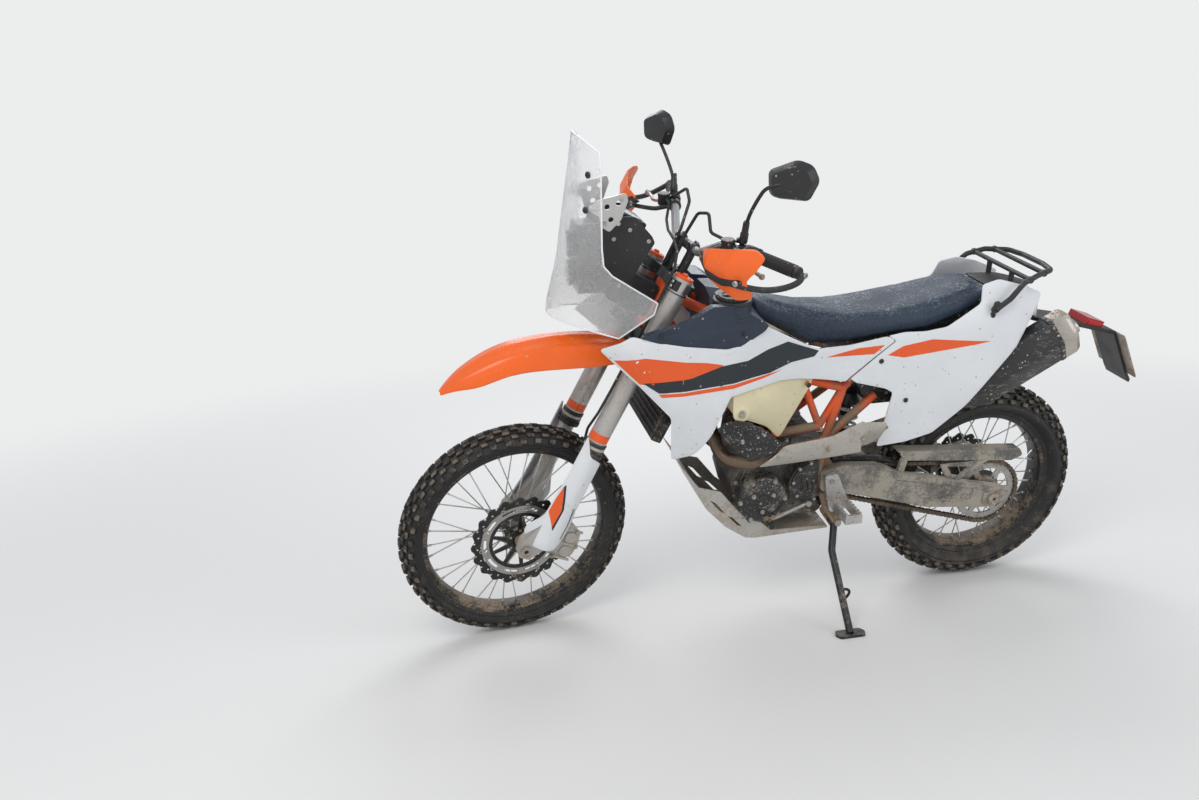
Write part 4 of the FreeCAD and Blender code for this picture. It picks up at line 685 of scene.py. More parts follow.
def silencer_finish(colours):
    """Satin black can with pale scuffs, scratches and splashes."""
    made = Finish("silencer_black", colours.silencer_black, 0.75, 0.42, 0.0)
    made.grain(260.0, 0.2)
    tree = made.tree
    moved = new_node(tree, "ShaderNodeMapping", {"Vector": made.place, "Rotation": (0.0, 0.5, 0.0),
        "Scale": (1.0, 1.0, 3.0)})
    scuffs = ramp(tree, noise(tree, moved.outputs[0], 26.0, 8.0, 0.75), 0.56, 0.68)
    made.layer(times(tree, scuffs, 0.5), (0.34, 0.32, 0.29), 0.7)
    made.scratches(0.8, (0.62, 0.6, 0.56), 22.0)
    made.splashes(0.45, (0.45, 0.41, 0.35), 120.0)
    made.worn(0.6, (0.5, 0.48, 0.45), 0.003)
    return made.done(0.0015)


def header_finish(colours):
    """Steel browned by heat, straw to dark brown along its length."""
    made = Finish("exhaust_steel", colours.exhaust_steel, 0.7, 0.42, 0.85)
    tree = made.tree
    bands = noise(tree, made.place, 5.0, 3.0)
    made.layer(ramp(tree, bands, 0.45, 0.62), (0.42, 0.27, 0.14), 0.38)
    made.dust(0.35, (0.25, 0.19, 0.13), 18.0, 0.3)
    return made.done(0.0)


# Plain layered finishes.
#  name: colour, shade, roughness, metal, grain size, grain height, dust, dust colour, splashes,
#        wear, wear colour, scratches, soft edge
PLAIN = {
    "orange_frame": (None, 0.88, 0.34, 0, 200, 0.06, 0.2, MUD, 0.2, 0.5, (0.75, 0.5, 0.4), 0, 0.002),
    "engine_metal": ((0.10, 0.097, 0.092), 0.7, 0.5, 0.7, 240, 0.5, 0.28, (0.24, 0.21, 0.17), 0.8, 0.5,
      (0.5, 0.48, 0.45), 0.1, 0.003),
    "black_cover": ((0.022, 0.022, 0.023), 0.7, 0.42, 0, 220, 0.4, 0.24, (0.27, 0.24, 0.2), 0.75, 0.4,
      (0.3, 0.28, 0.26), 0.3, 0.003),
    "muddy_plastic": ((0.018, 0.018, 0.019), 0.75, 0.4, 0, 480, 0.6, 0.24, (0.32, 0.3, 0.265), 0.9, 0.3,
      (0.16, 0.155, 0.15), 0.2, 0.002),
    "raw_plate": ((0.55, 0.53, 0.50), 0.85, 0.42, 0.8, 120, 0.15, 0.34, (0.36, 0.30, 0.23), 0.4, 0.5,
      (0.8, 0.78, 0.74), 0.7, 0),
    "shield_metal": ((0.50, 0.47, 0.42), 0.85, 0.38, 0.75, 130, 0.12, 0.34, (0.33, 0.28, 0.22), 0.4, 0.7,
      (0.82, 0.8, 0.76), 0.5, 0.003),
    "cap_steel": ((0.50, 0.46, 0.40), 0.85, 0.36, 0.9, 180, 0.15, 0.28, (0.3, 0.23, 0.165), 0.2, 0.6,
      (0.8, 0.78, 0.75), 0.4, 0.002),
    "tank_plastic": (None, 0.88, 0.42, 0, 260, 0.2, 0.1, (0.45, 0.37, 0.25), 0.12, 0, MUD, 0.1, 0),
    "black_plastic": (None, 0.75, 0.5, 0, 480, 0.7, 0.22, (0.17, 0.14, 0.11), 0.25, 0.3, (0.16, 0.155, 0.15),
      0.1, 0.002),
    "navy_plastic": (None, 0.75, 0.42, 0, 560, 0.8, 0.06, PALE_DUST, 0.15, 0.5, (0.07, 0.10, 0.15), 0.1, 0),
    "white_plastic": (None, 0.95, 0.32, 0, 90, 0.05, 0.06, (0.47, 0.42, 0.35), 0.14, 0, MUD, 0.12, 0),
    "radiator_metal": ((0.03, 0.029, 0.028), 0.7, 0.6, 0.5, 200, 0.3, 0.2, (0.17, 0.14, 0.11), 0.3, 0.2,
      (0.3, 0.3, 0.3), 0, 0.001),
    "lamp_lens": (None, 0.9, 0.15, 0, 300, 0.1, 0.15, MUD, 0.2, 0, MUD, 0, 0.001),
    "plate_blank": ((0.34, 0.29, 0.235), 0.8, 0.5, 0, 120, 0.1, 0.5, (0.2, 0.145, 0.095), 0.5, 0, MUD, 0.2, 0.001),
    "silver_bracket": ((0.56, 0.55, 0.53), 0.9, 0.35, 0.85, 260, 0.15, 0.22, MUD, 0.2, 0.4, (0.8, 0.8, 0.79),
      0.3, 0.0015),
    "swingarm_metal": ((0.17, 0.165, 0.155), 0.7, 0.45, 0.6, 180, 0.5, 0.4, (0.33, 0.295, 0.24), 0.85, 0.5,
      (0.55, 0.53, 0.5), 0.3, 0.003),
    "chain_steel": ((0.12, 0.098, 0.078), 0.7, 0.5, 0.8, 200, 0.3, 0.42, (0.17, 0.125, 0.085), 0.1, 0.4,
      (0.35, 0.3, 0.25), 0, 0),
    "axle_steel": ((0.46, 0.44, 0.41), 0.85, 0.38, 0.9, 200, 0.1, 0.3, MUD, 0.25, 0.4, (0.75, 0.74, 0.72), 0.2, 0.001),
    "spring_steel": ((0.66, 0.66, 0.66), 0.85, 0.4, 0, 200, 0.1, 0.35, MUD, 0.3, 0, MUD, 0, 0),
    "clamp_alloy": ((0.035, 0.035, 0.037), 0.8, 0.42, 0.5, 240, 0.2, 0.15, PALE_DUST, 0.15, 0.6,
      (0.4, 0.4, 0.4), 0.1, 0.002),
    "fork_alloy": (None, 0.88, 0.4, 0.6, 160, 0.08, 0.34, (0.40, 0.36, 0.30), 0.45, 0.2, (0.7, 0.68, 0.64),
      0.4, 0.0015),
    "orange_plastic": (None, 0.94, 0.3, 0, 90, 0.05, 0.03, (0.55, 0.42, 0.3), 0.1, 0, MUD, 0.15, 0),
    "bar_alloy": ((0.60, 0.60, 0.60), 0.9, 0.32, 0.85, 260, 0.1, 0.15, PALE_DUST, 0.2, 0, MUD, 0.3, 0),
    "grip_rubber": ((0.018, 0.018, 0.018), 0.8, 0.62, 0, 320, 0.4, 0.12, PALE_DUST, 0.1, 0, MUD, 0, 0.0015),
    "mirror_shell": ((0.018, 0.018, 0.019), 0.8, 0.42, 0, 480, 0.4, 0.1, PALE_DUST, 0.15, 0, MUD, 0, 0),
    "hose_rubber": ((0.016, 0.016, 0.016), 0.8, 0.5, 0, 300, 0.2, 0.15, PALE_DUST, 0.1, 0, MUD, 0, 0),
    "rim_black": (None, 0.7, 0.38, 0.3, 200, 0.15, 0.2, (0.24, 0.18, 0.125), 0.4, 0.4, (0.35, 0.32, 0.28), 0.2, 0),
    "spoke_steel": ((0.62, 0.61, 0.59), 0.85, 0.32, 0.85, 200, 0.1, 0.1, (0.36, 0.28, 0.2), 0, 0, MUD, 0, 0),
    "disc_steel": ((0.42, 0.41, 0.39), 0.8, 0.34, 0.9, 160, 0.1, 0.2, (0.24, 0.2, 0.155), 0.3, 0.5,
      (0.6, 0.58, 0.55), 0.6, 0),
    "disc_black": ((0.018, 0.018, 0.018), 0.8, 0.42, 0.3, 200, 0.2, 0.12, (0.18, 0.145, 0.105), 0.3, 0.6,
      (0.4, 0.38, 0.35), 0.1, 0),
    "screen_rim": ((0.86, 0.87, 0.88), 0.97, 0.35, 0, 90, 0, 0.06, PALE_DUST, 0.1, 0, MUD, 0, 0),
    "stand_black": ((0.018, 0.018, 0.018), 0.8, 0.42, 0.2, 240, 0.2, 0.04, (0.24, 0.2, 0.155), 0.3, 0.5,
      (0.35, 0.33, 0.3), 0.2, 0.0015),
    "lamp_unit": ((0.02, 0.02, 0.021), 0.8, 0.3, 0, 300, 0.2, 0.15, PALE_DUST, 0.2, 0, MUD, 0, 0.002),
    "flash_orange": (None, 0.95, 0.3, 0, 90, 0.03, 0.05, (0.47, 0.40, 0.3), 0.1, 0, MUD, 0.1, 0),
    "flash_dark": (None, 0.9, 0.3, 0, 90, 0.03, 0.05, (0.3, 0.27, 0.22), 0.12, 0, MUD, 0.1, 0),
    "reflector": ((0.8, 0.8, 0.8), 0.95, 0.08, 1.0, 90, 0, 0, MUD, 0, 0, MUD, 0, 0),
    "mirror_face": ((0.82, 0.83, 0.84), 0.98, 0.03, 1.0, 90, 0, 0.04, PALE_DUST, 0.1, 0, MUD, 0, 0),
    "foot_alloy": ((0.50, 0.47, 0.42), 0.85, 0.5, 0.5, 120, 0.3, 0.4, (0.42, 0.35, 0.26), 0.3, 0.4,
      (0.75, 0.72, 0.68), 0.3, 0.002),
}


# Finishes with more mud low down than the rest
LOW_MUD = {"orange_frame": 1.9, "swingarm_metal": 0.6}


def plain_finish(name, colours):
    (colour, shade, rough, metal, grain, height, dust, dust_colour, splashes, wear, wear_colour, scratches,
        soft) = PLAIN[name]
    colour = colour or tuple(getattr(colours, name))
    made = Finish(name, colour, shade, rough, metal)
    if height:
        made.grain(grain, height)
    if wear:
        made.worn(wear, wear_colour)
    if scratches:
        made.scratches(scratches * 0.6, (*[min(0.8, c * 1.6 + 0.06) for c in colour], 1))
    if dust:
        made.dust(dust, dust_colour, low=LOW_MUD.get(name, 0.4))
    if splashes:
        made.splashes(splashes, dust_colour)
    if splashes > 0.6:
        made.splashes(splashes, dust_colour, 190.0)
        made.splashes(splashes * 0.7, dust_colour, 48.0)
    return made.done(soft)


FINISHES = {}


def finishes(colours):
    """Builds the shared effects and every finish."""
    GROUPS.update({"dust": dust_group(), "splash": speckle_group(), "scratch": scratch_group(), "wear": wear_group(),
        "grain": grain_group()})
    FINISHES.update({name: plain_finish(name, colours) for name in PLAIN})
    FINISHES["tyre_rubber"] = tyre_finish(colours)
    FINISHES["seat_cover"] = seat_finish(colours)
    FINISHES["silencer_black"] = silencer_finish(colours)
    FINISHES["exhaust_steel"] = header_finish(colours)
    FINISHES["clear_screen"] = glass_finish("clear_screen", 0.8, (0.95, 0.96, 0.965), 0.8)
    FINISHES["lamp_glass"] = glass_finish("lamp_glass", 0.3, (0.97, 0.98, 0.98), 1.0)


# The CAD nodes that stay as they are, and their finishes where they differ from the record's slots
KEPT = {"rear_tank": "muddy_plastic"}


# Stage

CAMERA_AT = Vector((-339.3, -2773.8, 1993.0))
CAMERA_LOOK = Vector((0.1943855, 0.8940611, -0.40357034))
CAMERA_UP = Vector((0.09103879, 0.39319916, 0.91493517))
FOCAL_PIXELS = 1070.0
PHOTO_WIDTH = 1199.0
SENSOR = 36.0
SURROUNDINGS = (0.84, 0.845, 0.85, 1)


def make_camera():
    look, up = CAMERA_LOOK.normalized(), CAMERA_UP.normalized()
    right = look.cross(up)
    turn = Matrix((right, up, -look)).transposed().to_4x4()
    placed = UPRIGHT @ Matrix.Translation(CAMERA_AT) @ turn
    at_rest()
    bpy.ops.object.camera_add()
    camera = bpy.context.object
    camera.matrix_world = Matrix.LocRotScale(placed.translation, placed.to_quaternion(), None)
    camera.data.sensor_width = SENSOR
    camera.data.lens = FOCAL_PIXELS / PHOTO_WIDTH * SENSOR
    camera.data.clip_end = 60.0
    bpy.context.scene.camera = camera


def make_stage():
    """The pale floor, the soft lamps and the pale surroundings."""
    at_rest()
    bpy.ops.mesh.primitive_plane_add(size=40.0)
    floor = bpy.context.object
    floor.name = "floor"
    material = bpy.data.materials.new("floor")
    material.use_nodes = True
    bsdf = material.node_tree.nodes["Principled BSDF"]
    bsdf.inputs["Base Color"].default_value = (0.74, 0.73, 0.71, 1)
    bsdf.inputs["Roughness"].default_value = 0.85
    bsdf.inputs["Specular IOR Level"].default_value = 0.2
    tree = material.node_tree
    reach = new_node(tree, "ShaderNodeVectorMath", {0: object_place(tree)}, operation="LENGTH").outputs["Value"]
    rays = tree.nodes.new("ShaderNodeLightPath")
    shown = sums(tree, "MAXIMUM", rays.outputs["Is Camera Ray"], sums(tree, "MAXIMUM", rays.outputs["Is Glossy Ray"],
        rays.outputs["Is Transmission Ray"]))
    pale = new_node(tree, "ShaderNodeEmission", {"Color": SURROUNDINGS, "Strength": 1.0})
    join = new_node(tree, "ShaderNodeMixShader", {0: times(tree, shown, ramp(tree, reach, 1.8, 5.5))})
    tree.links.new(bsdf.outputs[0], join.inputs[1])
    tree.links.new(pale.outputs[0], join.inputs[2])
    tree.links.new(join.outputs[0], tree.nodes["Material Output"].inputs["Surface"])
    floor.data.materials.append(material)
    #        name    place                 aim                size  power  colour
    lamps = [("key", (-2.6, -3.4, 4.2), (0.0, 0.0, 0.6), 2.6, 120.0, (1.0, 0.98, 0.95)),
        ("fill", (3.4, -3.0, 2.6), (0.3, 0.0, 0.6), 3.0, 50.0, (0.95, 0.97, 1.0)), ("back", (0.6, 3.6, 3.6),
        (0.0, 0.0, 0.8), 3.0, 90.0, (0.97, 0.98, 1.0))]
    for name, place, aim, size, power, colour in lamps:
        at_rest()
        bpy.ops.object.light_add(type="AREA", location=place)
        lamp = bpy.context.object
        lamp.name = name
        lamp.rotation_mode = "QUATERNION"
        lamp.rotation_quaternion = (Vector(aim) - Vector(place)).to_track_quat("-Z", "Y")
        lamp.data.size, lamp.data.energy, lamp.data.color = size, power, colour
    world = bpy.data.worlds.new("surroundings")
    bpy.context.scene.world = world
    world.use_nodes = True
    tree = world.node_tree
    sky = tree.nodes["Background"]
    sky.inputs["Color"].default_value = (0.80, 0.84, 0.90, 1)
    sky.inputs["Strength"].default_value = 0.72
    seen = new_node(tree, "ShaderNodeBackground", {"Color": SURROUNDINGS, "Strength": 1.0})
    rays = tree.nodes.new("ShaderNodeLightPath")
    shown = sums(tree, "MAXIMUM", rays.outputs["Is Camera Ray"], rays.outputs["Is Transmission Ray"])
    join = new_node(tree, "ShaderNodeMixShader", {0: shown})
    tree.links.new(sky.outputs[0], join.inputs[1])
    tree.links.new(seen.outputs[0], join.inputs[2])
    tree.links.new(join.outputs[0], tree.nodes["World Output"].inputs["Surface"])
    bpy.context.scene.view_settings.view_transform = "Standard"
    make_camera()


def dress_cad():
    """Gives every CAD node the finish of its slot."""
    for part in frame["record"]["subparts"]:
        slot = KEPT.get(part["node"], part["material_slot"])
        materials = frame["nodes"][part["node"]].data.materials
        materials.clear()
        materials.append(FINISHES[slot if slot in FINISHES else "black_plastic"])


# Wheels

FRONT_TYRE = {"radius": 350, "width": 94, "crown": 50, "rim": 284, "rim_width": 56, "centre": FRONT_CENTRE}
REAR_TYRE = {"radius": 341, "width": 138, "crown": 78, "rim": 243, "rim_width": 76, "centre": REAR_CENTRE}

# Lugs of one pitch: from and to across the crown in degrees, along the tread and its length in
# pitches, how far the outer end is shifted along the tread in pitches
FRONT_LUGS = [(2, 16, 0.0, 0.54, 0.12), (20, 33, 0.5, 0.54, -0.10), (37, 50, 0.0, 0.52, 0.0), (55, 73, 0.5, 0.46, 0.0)]
REAR_LUGS = [(0, 8, 0.5, 0.52, 0.0), (11, 23, 0.0, 0.54, 0.08), (27, 38, 0.5, 0.54, -0.06), (42, 53, 0.0, 0.52, 0.0),
    (56, 67, 0.5, 0.48, 0.0)]


def on_tread(tyre, across, along, drop):
    """A point of the tread: degrees across the crown, radians along it, depth below the lugs' tips."""
    turn = math.radians(across)
    reach = tyre["crown"] - drop
    radius = tyre["radius"] - tyre["crown"] + reach * math.cos(turn)
    return tyre["centre"] + Vector((radius * math.sin(along), reach * math.sin(turn), radius * math.cos(along)))


def lug(tyre, low, high, along, length, shift, depth, side):
    """One block of the tread, a little narrower at its top."""
    at_rest()
    bpy.ops.mesh.primitive_cube_add(size=2)
    block = bpy.context.object
    tip = block.data.attributes.new("tip", "FLOAT", "POINT")
    for vertex in block.data.vertices:
        sx, sy, sz = (1 if c > 0 else -1 for c in vertex.co)
        tip.data[vertex.index].value = max(0, sz)
        taper = 0.86 if sz > 0 else 1.06
        across = (low + high) / 2 + sy * (high - low) / 2 * taper
        middle = along + (shift * length if sy > 0 else 0.0)
        vertex.co = on_tread(tyre, across * side, middle + sx * length / 2 * taper, 0 if sz > 0 else depth + 3)
    return outward(beveled(block, 1.6, 1, 40))


def tyre_piece(name, tyre, lugs, count, depth, body):
    """A carcass with its beads and the blocks of its tread."""
    half, rim, centre = tyre["width"] / 2, tyre["rim"], tyre["centre"]
    edge = math.degrees(math.asin((half - 3) / tyre["crown"]))
    crown = []
    for i in range(13):
        point = on_tread(tyre, -edge + 2 * edge * i / 12, 0, depth) - centre
        crown.append((point.z, point.y))
    shoulder = crown[-1][0]
    wall = [(shoulder - 9, half - 4), (shoulder - 13, half - 6), ((shoulder + rim) / 2 + 6, half - 3),
        (rim + 27, half - 7), (rim + 25, half - 9), (rim + 12, tyre["rim_width"] / 2 + 5),
        (rim + 9, tyre["rim_width"] / 2 + 6), (rim + 2, tyre["rim_width"] / 2 + 3),
        (rim - 4, tyre["rim_width"] / 2 - 3)]
    far = [(r, -y) for r, y in reversed(wall)]
    carcass = turned(name, crown + wall + far, centre, Y, 120)
    pitch = 2 * math.pi / count
    blocks = []
    for low, high, along, length, shift in lugs:
        for side in (1,) if low == 0 else (1, -1):
            if low == 0:
                blocks.append(lug(tyre, -high, high, along * pitch, length * pitch, 0.0, depth, 1))
            else:
                blocks.append(lug(tyre, low, high, along * pitch, length * pitch, shift, depth, side))
    tread = joined("tread", blocks)
    piece = joined(name, [carcass] + around(tread, centre, count))
    return settle(piece, body, "tyre_rubber", replaces=(body.replace("wheel", "tyre"),), smooth=28)


def spoke_ends(i, rim, flange_r, flange_y):
    """Where a spoke meets the hub and the rim, about the wheel's centre."""
    turn = 2 * math.pi * i / 36
    lead = math.radians(58) * (1 if i % 4 < 2 else -1)
    side = 1 if i % 2 else -1
    hub_end = Vector(((flange_r - 6) * math.cos(turn + lead), side * flange_y, (flange_r - 6) * math.sin(turn + lead)))
    rim_end = Vector(((rim - 15) * math.cos(turn), side * 4, (rim - 15) * math.sin(turn)))
    return hub_end, rim_end


def wheel_pieces(body, tyre, hub, spoke):
    """The hoop, the laced spokes with their nipples, and the hub."""
    end = body.split("_")[0]
    centre, rim, half = tyre["centre"], tyre["rim"], tyre["rim_width"] / 2
    well = half - 9
    outer = [(rim - 11, half), (rim - 1, half), (rim + 1, half - 1.5), (rim, half - 4), (rim - 8, half - 7),
        (rim - 13, well - 5)]
    inner = [(rim - 17, well - 2), (rim - 16, well + 1), (rim - 12, half - 1)]
    profile = outer + [(r, -y) for r, y in reversed(outer)] + [(r, -y) for r, y in inner[::-1]] + inner
    hoop = turned(end + "_hoop", profile, centre, Y, 120)
    settle(hoop, body, "rim_black", replaces=(end + "_rim",), smooth=30)
    spokes, nipples = [], []
    for i in range(4):
        hub_end, rim_end = spoke_ends(i, rim, hub["flange_r"], hub["width"] / 2 - 10)
        along = (rim_end - hub_end).normalized()
        spokes.append(bar("spoke", hub_end + centre, rim_end + centre, spoke, 0.3, 8))
        nipples.append(bar("nipple", centre + rim_end - along * 17, centre + rim_end + along * 2, 3.4, 0.8, 8))
    laced = [piece for spoke in spokes + nipples for piece in around(spoke, centre, 9)]
    settle(joined(end + "_spokes", laced), body, "spoke_steel", replaces=(end + "_rim",), smooth=40)
    r, w, f, s = hub["radius"], hub["width"] / 2, hub["flange_r"], hub["width"] / 2 - 10
    barrel = [(hub["bore"], -w), (r - 2, -w), (r, -w + 2), (r, -s - 5), (r + 6, -s - 4), (f - 3, -s - 3),
        (f, -s - 1.5), (f, -s + 1.5), (f - 3, -s + 3), (r + 5, -s + 5), (r - 1, -s + 12)]
    hub_piece = turned(end + "_hub", barrel + [(a, -b) for a, b in reversed(barrel)], centre, Y, 48)
    settle(hub_piece, body, "engine_metal", replaces=(end + "_rim",), smooth=40)


def pin(vertices, radius, depth, at):
    """A round pin along y about a place."""
    at_rest()
    bpy.ops.mesh.primitive_cylinder_add(
        vertices=vertices, radius=radius, depth=depth, location=at, rotation=(math.pi / 2, 0, 0))
    obj = pick(bpy.context.object)
    applied()
    return obj


def ring_cutters(radius, places, centre, depth=40.0):
    """Round cutters along y, joined, at places about a centre."""
    cutters = []
    for x, z in places:
        cutters.append(pin(16, radius, depth, (centre[0] + x, centre[1], centre[2] + z)))
    return joined("cutters", cutters)


def polar(radius, turn):
    return radius * math.cos(turn), radius * math.sin(turn)


def disc_pieces(body, centre, y, radius, hub_r, waves, arms):
    """A wavy, drilled brake disc on its carrier, with the buttons that join them."""
    end = body.split("_")[0]
    middle = Vector((centre.x, y, centre.z))
    rim = []
    for i in range(waves * 8):
        turn = 2 * math.pi * i / (waves * 8)
        reach = radius - 5.0 + 5.0 * math.cos(turn * waves)
        rim.append(middle + Vector((reach * math.cos(turn), -2.0, reach * math.sin(turn))))
    disc = plate(end + "_disc_ring", rim, Vector((0, 4.0, 0)), 0.0, 0.5, 1)
    inside = radius - 29
    cut_by(disc, ring_cutters(inside, [(0, 0)], middle))
    holes = []
    for i in range(waves * 2):
        turn = 2 * math.pi * i / (waves * 2)
        holes.append(polar(radius - (11 if i % 2 else 20), turn + 0.05))
    cut_by(disc, ring_cutters(3.2, holes, middle))
    settle(disc, body, "disc_black", replaces=(end + "_disc",), smooth=30)
    band = turned("band", [(inside - 25, -2.0), (inside - 2, -2.0), (inside - 2, 2.0), (inside - 25, 2.0)], middle, Y,
        72)
    slot = plate("slot", [middle + Vector((r * math.sin(a), -9, r * math.cos(a))) for r,
        a in [(inside - 9, s) for s in (-0.2, -0.1, 0.0, 0.1, 0.2)] + [(inside - 18, s)
        for s in (0.2, 0.1, 0.0, -0.1, -0.2)]], Vector((0, 18, 0)), 2.0)
    cut_by(band, joined("slots", around(slot, middle, arms, math.pi / arms)))
    settle(band, body, "disc_steel", replaces=(end + "_disc",), smooth=30)
    profile = [(inside - 36, -2.4), (inside - 25, -2.4), (inside - 25, 2.4), (inside - 36, 2.4)]
    hub_ring = [(hub_r, -2.6), (hub_r + 15, -2.6), (hub_r + 15, 2.6), (hub_r, 2.6)]
    parts = [turned("carrier", profile, middle, Y, 72), turned("carrier", hub_ring, middle, Y, 48)]
    arm = side_plate("arm", [(-8, hub_r + 8), (-5, inside - 30), (5, inside - 30), (8, hub_r + 8)], -2.2, 2.2, 2.0,
        0.6)
    arm.data.transform(Matrix.Translation(middle))
    parts += around(arm, middle, arms)
    settle(joined(end + "_disc_carrier", parts), body, "disc_black", replaces=(end + "_disc",), smooth=30)
    button = bar("button", middle + Vector((0, -3.6, inside - 0.5)), middle + Vector((0, 3.6, inside - 0.5)), 6.5, 0.8,
        16, 3.0)
    bolt = socket_bolt(4.2, 3.0)
    bolt.data.transform(Matrix.Translation(middle + Vector((0, math.copysign(2.6, y), hub_r + 9))) @ Vector((0,
        math.copysign(1, y), 0)).to_track_quat("Z", "Y").to_matrix().to_4x4())
    small = around(button, middle, arms, 0.2) + around(bolt, middle, 6)
    settle(joined(end + "_disc_buttons", small), body, "axle_steel", replaces=(end + "_disc",), smooth=35)


FRONT_HUB = {"radius": 26, "flange_r": 42, "width": 92, "bore": 12.05}
REAR_HUB = {"radius": 34, "flange_r": 60, "width": 150, "bore": 12.55}


def wheels(sizes):
    """Both tyres, hoops, hubs, sets of spokes and brake discs."""
    tyre_piece("front_tyre_tread", FRONT_TYRE, FRONT_LUGS, sizes.front_pitches, sizes.front_tread / MM, "front_wheel")
    tyre_piece("rear_tyre_tread", REAR_TYRE, REAR_LUGS, sizes.rear_pitches, sizes.rear_tread / MM, "rear_wheel")
    wheel_pieces("front_wheel", FRONT_TYRE, FRONT_HUB, sizes.spoke / MM)
    wheel_pieces("rear_wheel", REAR_TYRE, REAR_HUB, sizes.spoke / MM)
    disc_pieces("front_wheel", FRONT_CENTRE, -62.0, 150.0, 26.0, sizes.front_waves, 10)
    disc_pieces("rear_wheel", REAR_CENTRE, 90.0, 120.0, 34.0, sizes.rear_waves, 8)
    ring = [(26, -46), (38, -46), (38, -60), (26, -60)]
    settle(turned("front_disc_seat", ring, FRONT_CENTRE, Y, 36), "front_wheel", "engine_metal",
        replaces=("front_disc",))
    ring = [(34, 68), (46, 68), (46, 88), (34, 88)]
    settle(turned("rear_disc_seat", ring, REAR_CENTRE, Y, 36), "rear_wheel", "engine_metal", replaces=("rear_disc",))


# Body panels

def curved_panel(name, outline, surface, thickness, rounding=6.0, edge=1.2, step=26.0, segments=2):
    """A left panel: an outline in x and z, laid on a surface that gives y, with its thickness inwards."""
    obj = face(name, [Vector((x, 0, z)) for x, z in outline], rounding, 3)
    low = Vector([min(v.co[i] for v in obj.data.vertices) for i in range(3)])
    high = Vector([max(v.co[i] for v in obj.data.vertices) for i in range(3)])
    editing(obj)
    for axis in (X, Z):
        reach = (high - low).dot(axis)
        count = max(1, int(reach / step))
        for i in range(1, count):
            bpy.ops.mesh.select_all(action="SELECT")
            bpy.ops.mesh.bisect(plane_co=low + axis * (reach * i / count), plane_no=axis)
    at_rest()
    for vertex in obj.data.vertices:
        vertex.co.y = -surface(vertex.co.x, vertex.co.z)
    editing(obj)
    bpy.ops.mesh.normals_make_consistent(inside=False)
    at_rest()
    if obj.data.polygons[0].normal.y > 0:
        obj.data.flip_normals()
    modified(obj, "SOLIDIFY", thickness=thickness, offset=-1, use_even_offset=True)
    if edge:
        beveled(obj, edge, segments, 50)
    return obj


def beyond(x, z, a, b):
    """How far a point lies to the left of the line from a to b."""
    run = Vector((b[0] - a[0], b[1] - a[1])).normalized()
    return (x - a[0]) * -run.y + (z - a[1]) * run.x


def soft_step(value, width):
    """0 below 0, then a slope of one that sets in over width."""
    if value <= 0:
        return 0.0
    return value * value / (2 * width) if value < width else value - width / 2


def shroud_surface(x, z):
    """The tank shroud's outer face: a crest along the tank, a front that turns in, a tucked foot."""
    y = side_y(x)
    y -= 0.34 * soft_step(beyond(x, z, (500, 700), (318, 945)), 14)
    y -= 0.30 * soft_step(beyond(x, z, (318, 972), (700, 935)) if x < 800 else 0.0, 16)
    y -= 0.12 * soft_step(800 - z, 60)
    return y


def rear_surface(x, z):
    """The rear side panel: full at the seat, tucked in towards its foot and its tail."""
    y = side_y(x)
    y -= 0.10 * soft_step(760 - z, 80)
    y -= 0.42 * soft_step(beyond(x, z, (1140, 916), (1600, 985)), 12)
    y -= 0.16 * soft_step(beyond(x, z, (1560, 985), (1240, 600)) - 8, 14)
    return y


def wing_surface(x, z):
    """The tank wing: a raised ridge that runs back to the seat."""
    y = side_y(x) - 3
    y -= 0.40 * soft_step(beyond(x, z, (330, 1001), (715, 1001)), 10)
    y -= 0.10 * soft_step(beyond(x, z, (715, 982), (330, 982)), 10)
    return y


def tank_surface(x, z):
    """The translucent tank's lobe: full in its middle, with a diagonal crease."""
    y = side_y(x) - 9
    y += 5 * math.exp(-((x - 700) ** 2 / 12000 + (z - 770) ** 2 / 5000))
    y -= 0.12 * soft_step(beyond(x, z, (860, 858), (620, 742)), 12)
    y += 5 * math.exp(-((x - 629) ** 2 + (z - 743) ** 2) / 300)
    return y


def guard_surface(x, z):
    """The lower tank's guard: a middle facet, a lower one that turns in and a raised edge at the back."""
    y = 198 - 0.3 * soft_step(beyond(x, z, (640, 735), (760, 600)), 6)
    y -= 0.45 * soft_step(beyond(x, z, (655, 590), (600, 740)), 6)
    return y - 0.5 * soft_step(beyond(x, z, (760, 636), (600, 622)), 6)


SHROUD = [(226, 965), (308, 1007), (380, 986), (522, 957), (576, 946), (627, 953), (695, 993), (767, 955), (861, 905),
    (959, 907), (1074, 924), (1098, 910), (1026, 855), (963, 805), (955, 796), (809, 825), (744, 830), (672, 818),
    (592, 804), (542, 691), (495, 628), (433, 613), (418, 762), (328, 863)]
REAR_PANEL = [(1076, 924), (1127, 932), (1190, 931), (1253, 941), (1359, 1000), (1368, 1048), (1420, 1060),
    (1497, 1039), (1567, 1008), (1494, 862), (1340, 678), (1251, 599), (1170, 576), (1082, 567), (1095, 658),
    (1107, 747), (1083, 762), (966, 796), (970, 803), (1030, 852), (1102, 909)]
LOWER_TANK = [(600, 930), (860, 880), (856, 800), (764, 632), (718, 684), (641, 723), (605, 733)]
LOWER_GUARD = [(571, 714), (605, 730), (641, 720), (714, 680), (760, 628), (735, 601), (675, 582), (613, 637),
    (575, 673)]
TANK_WING = [(330, 1002), (445, 1034), (532, 1072), (600, 1066), (700, 1000), (690, 985), (627, 950), (576, 944),
    (522, 955), (380, 984)]

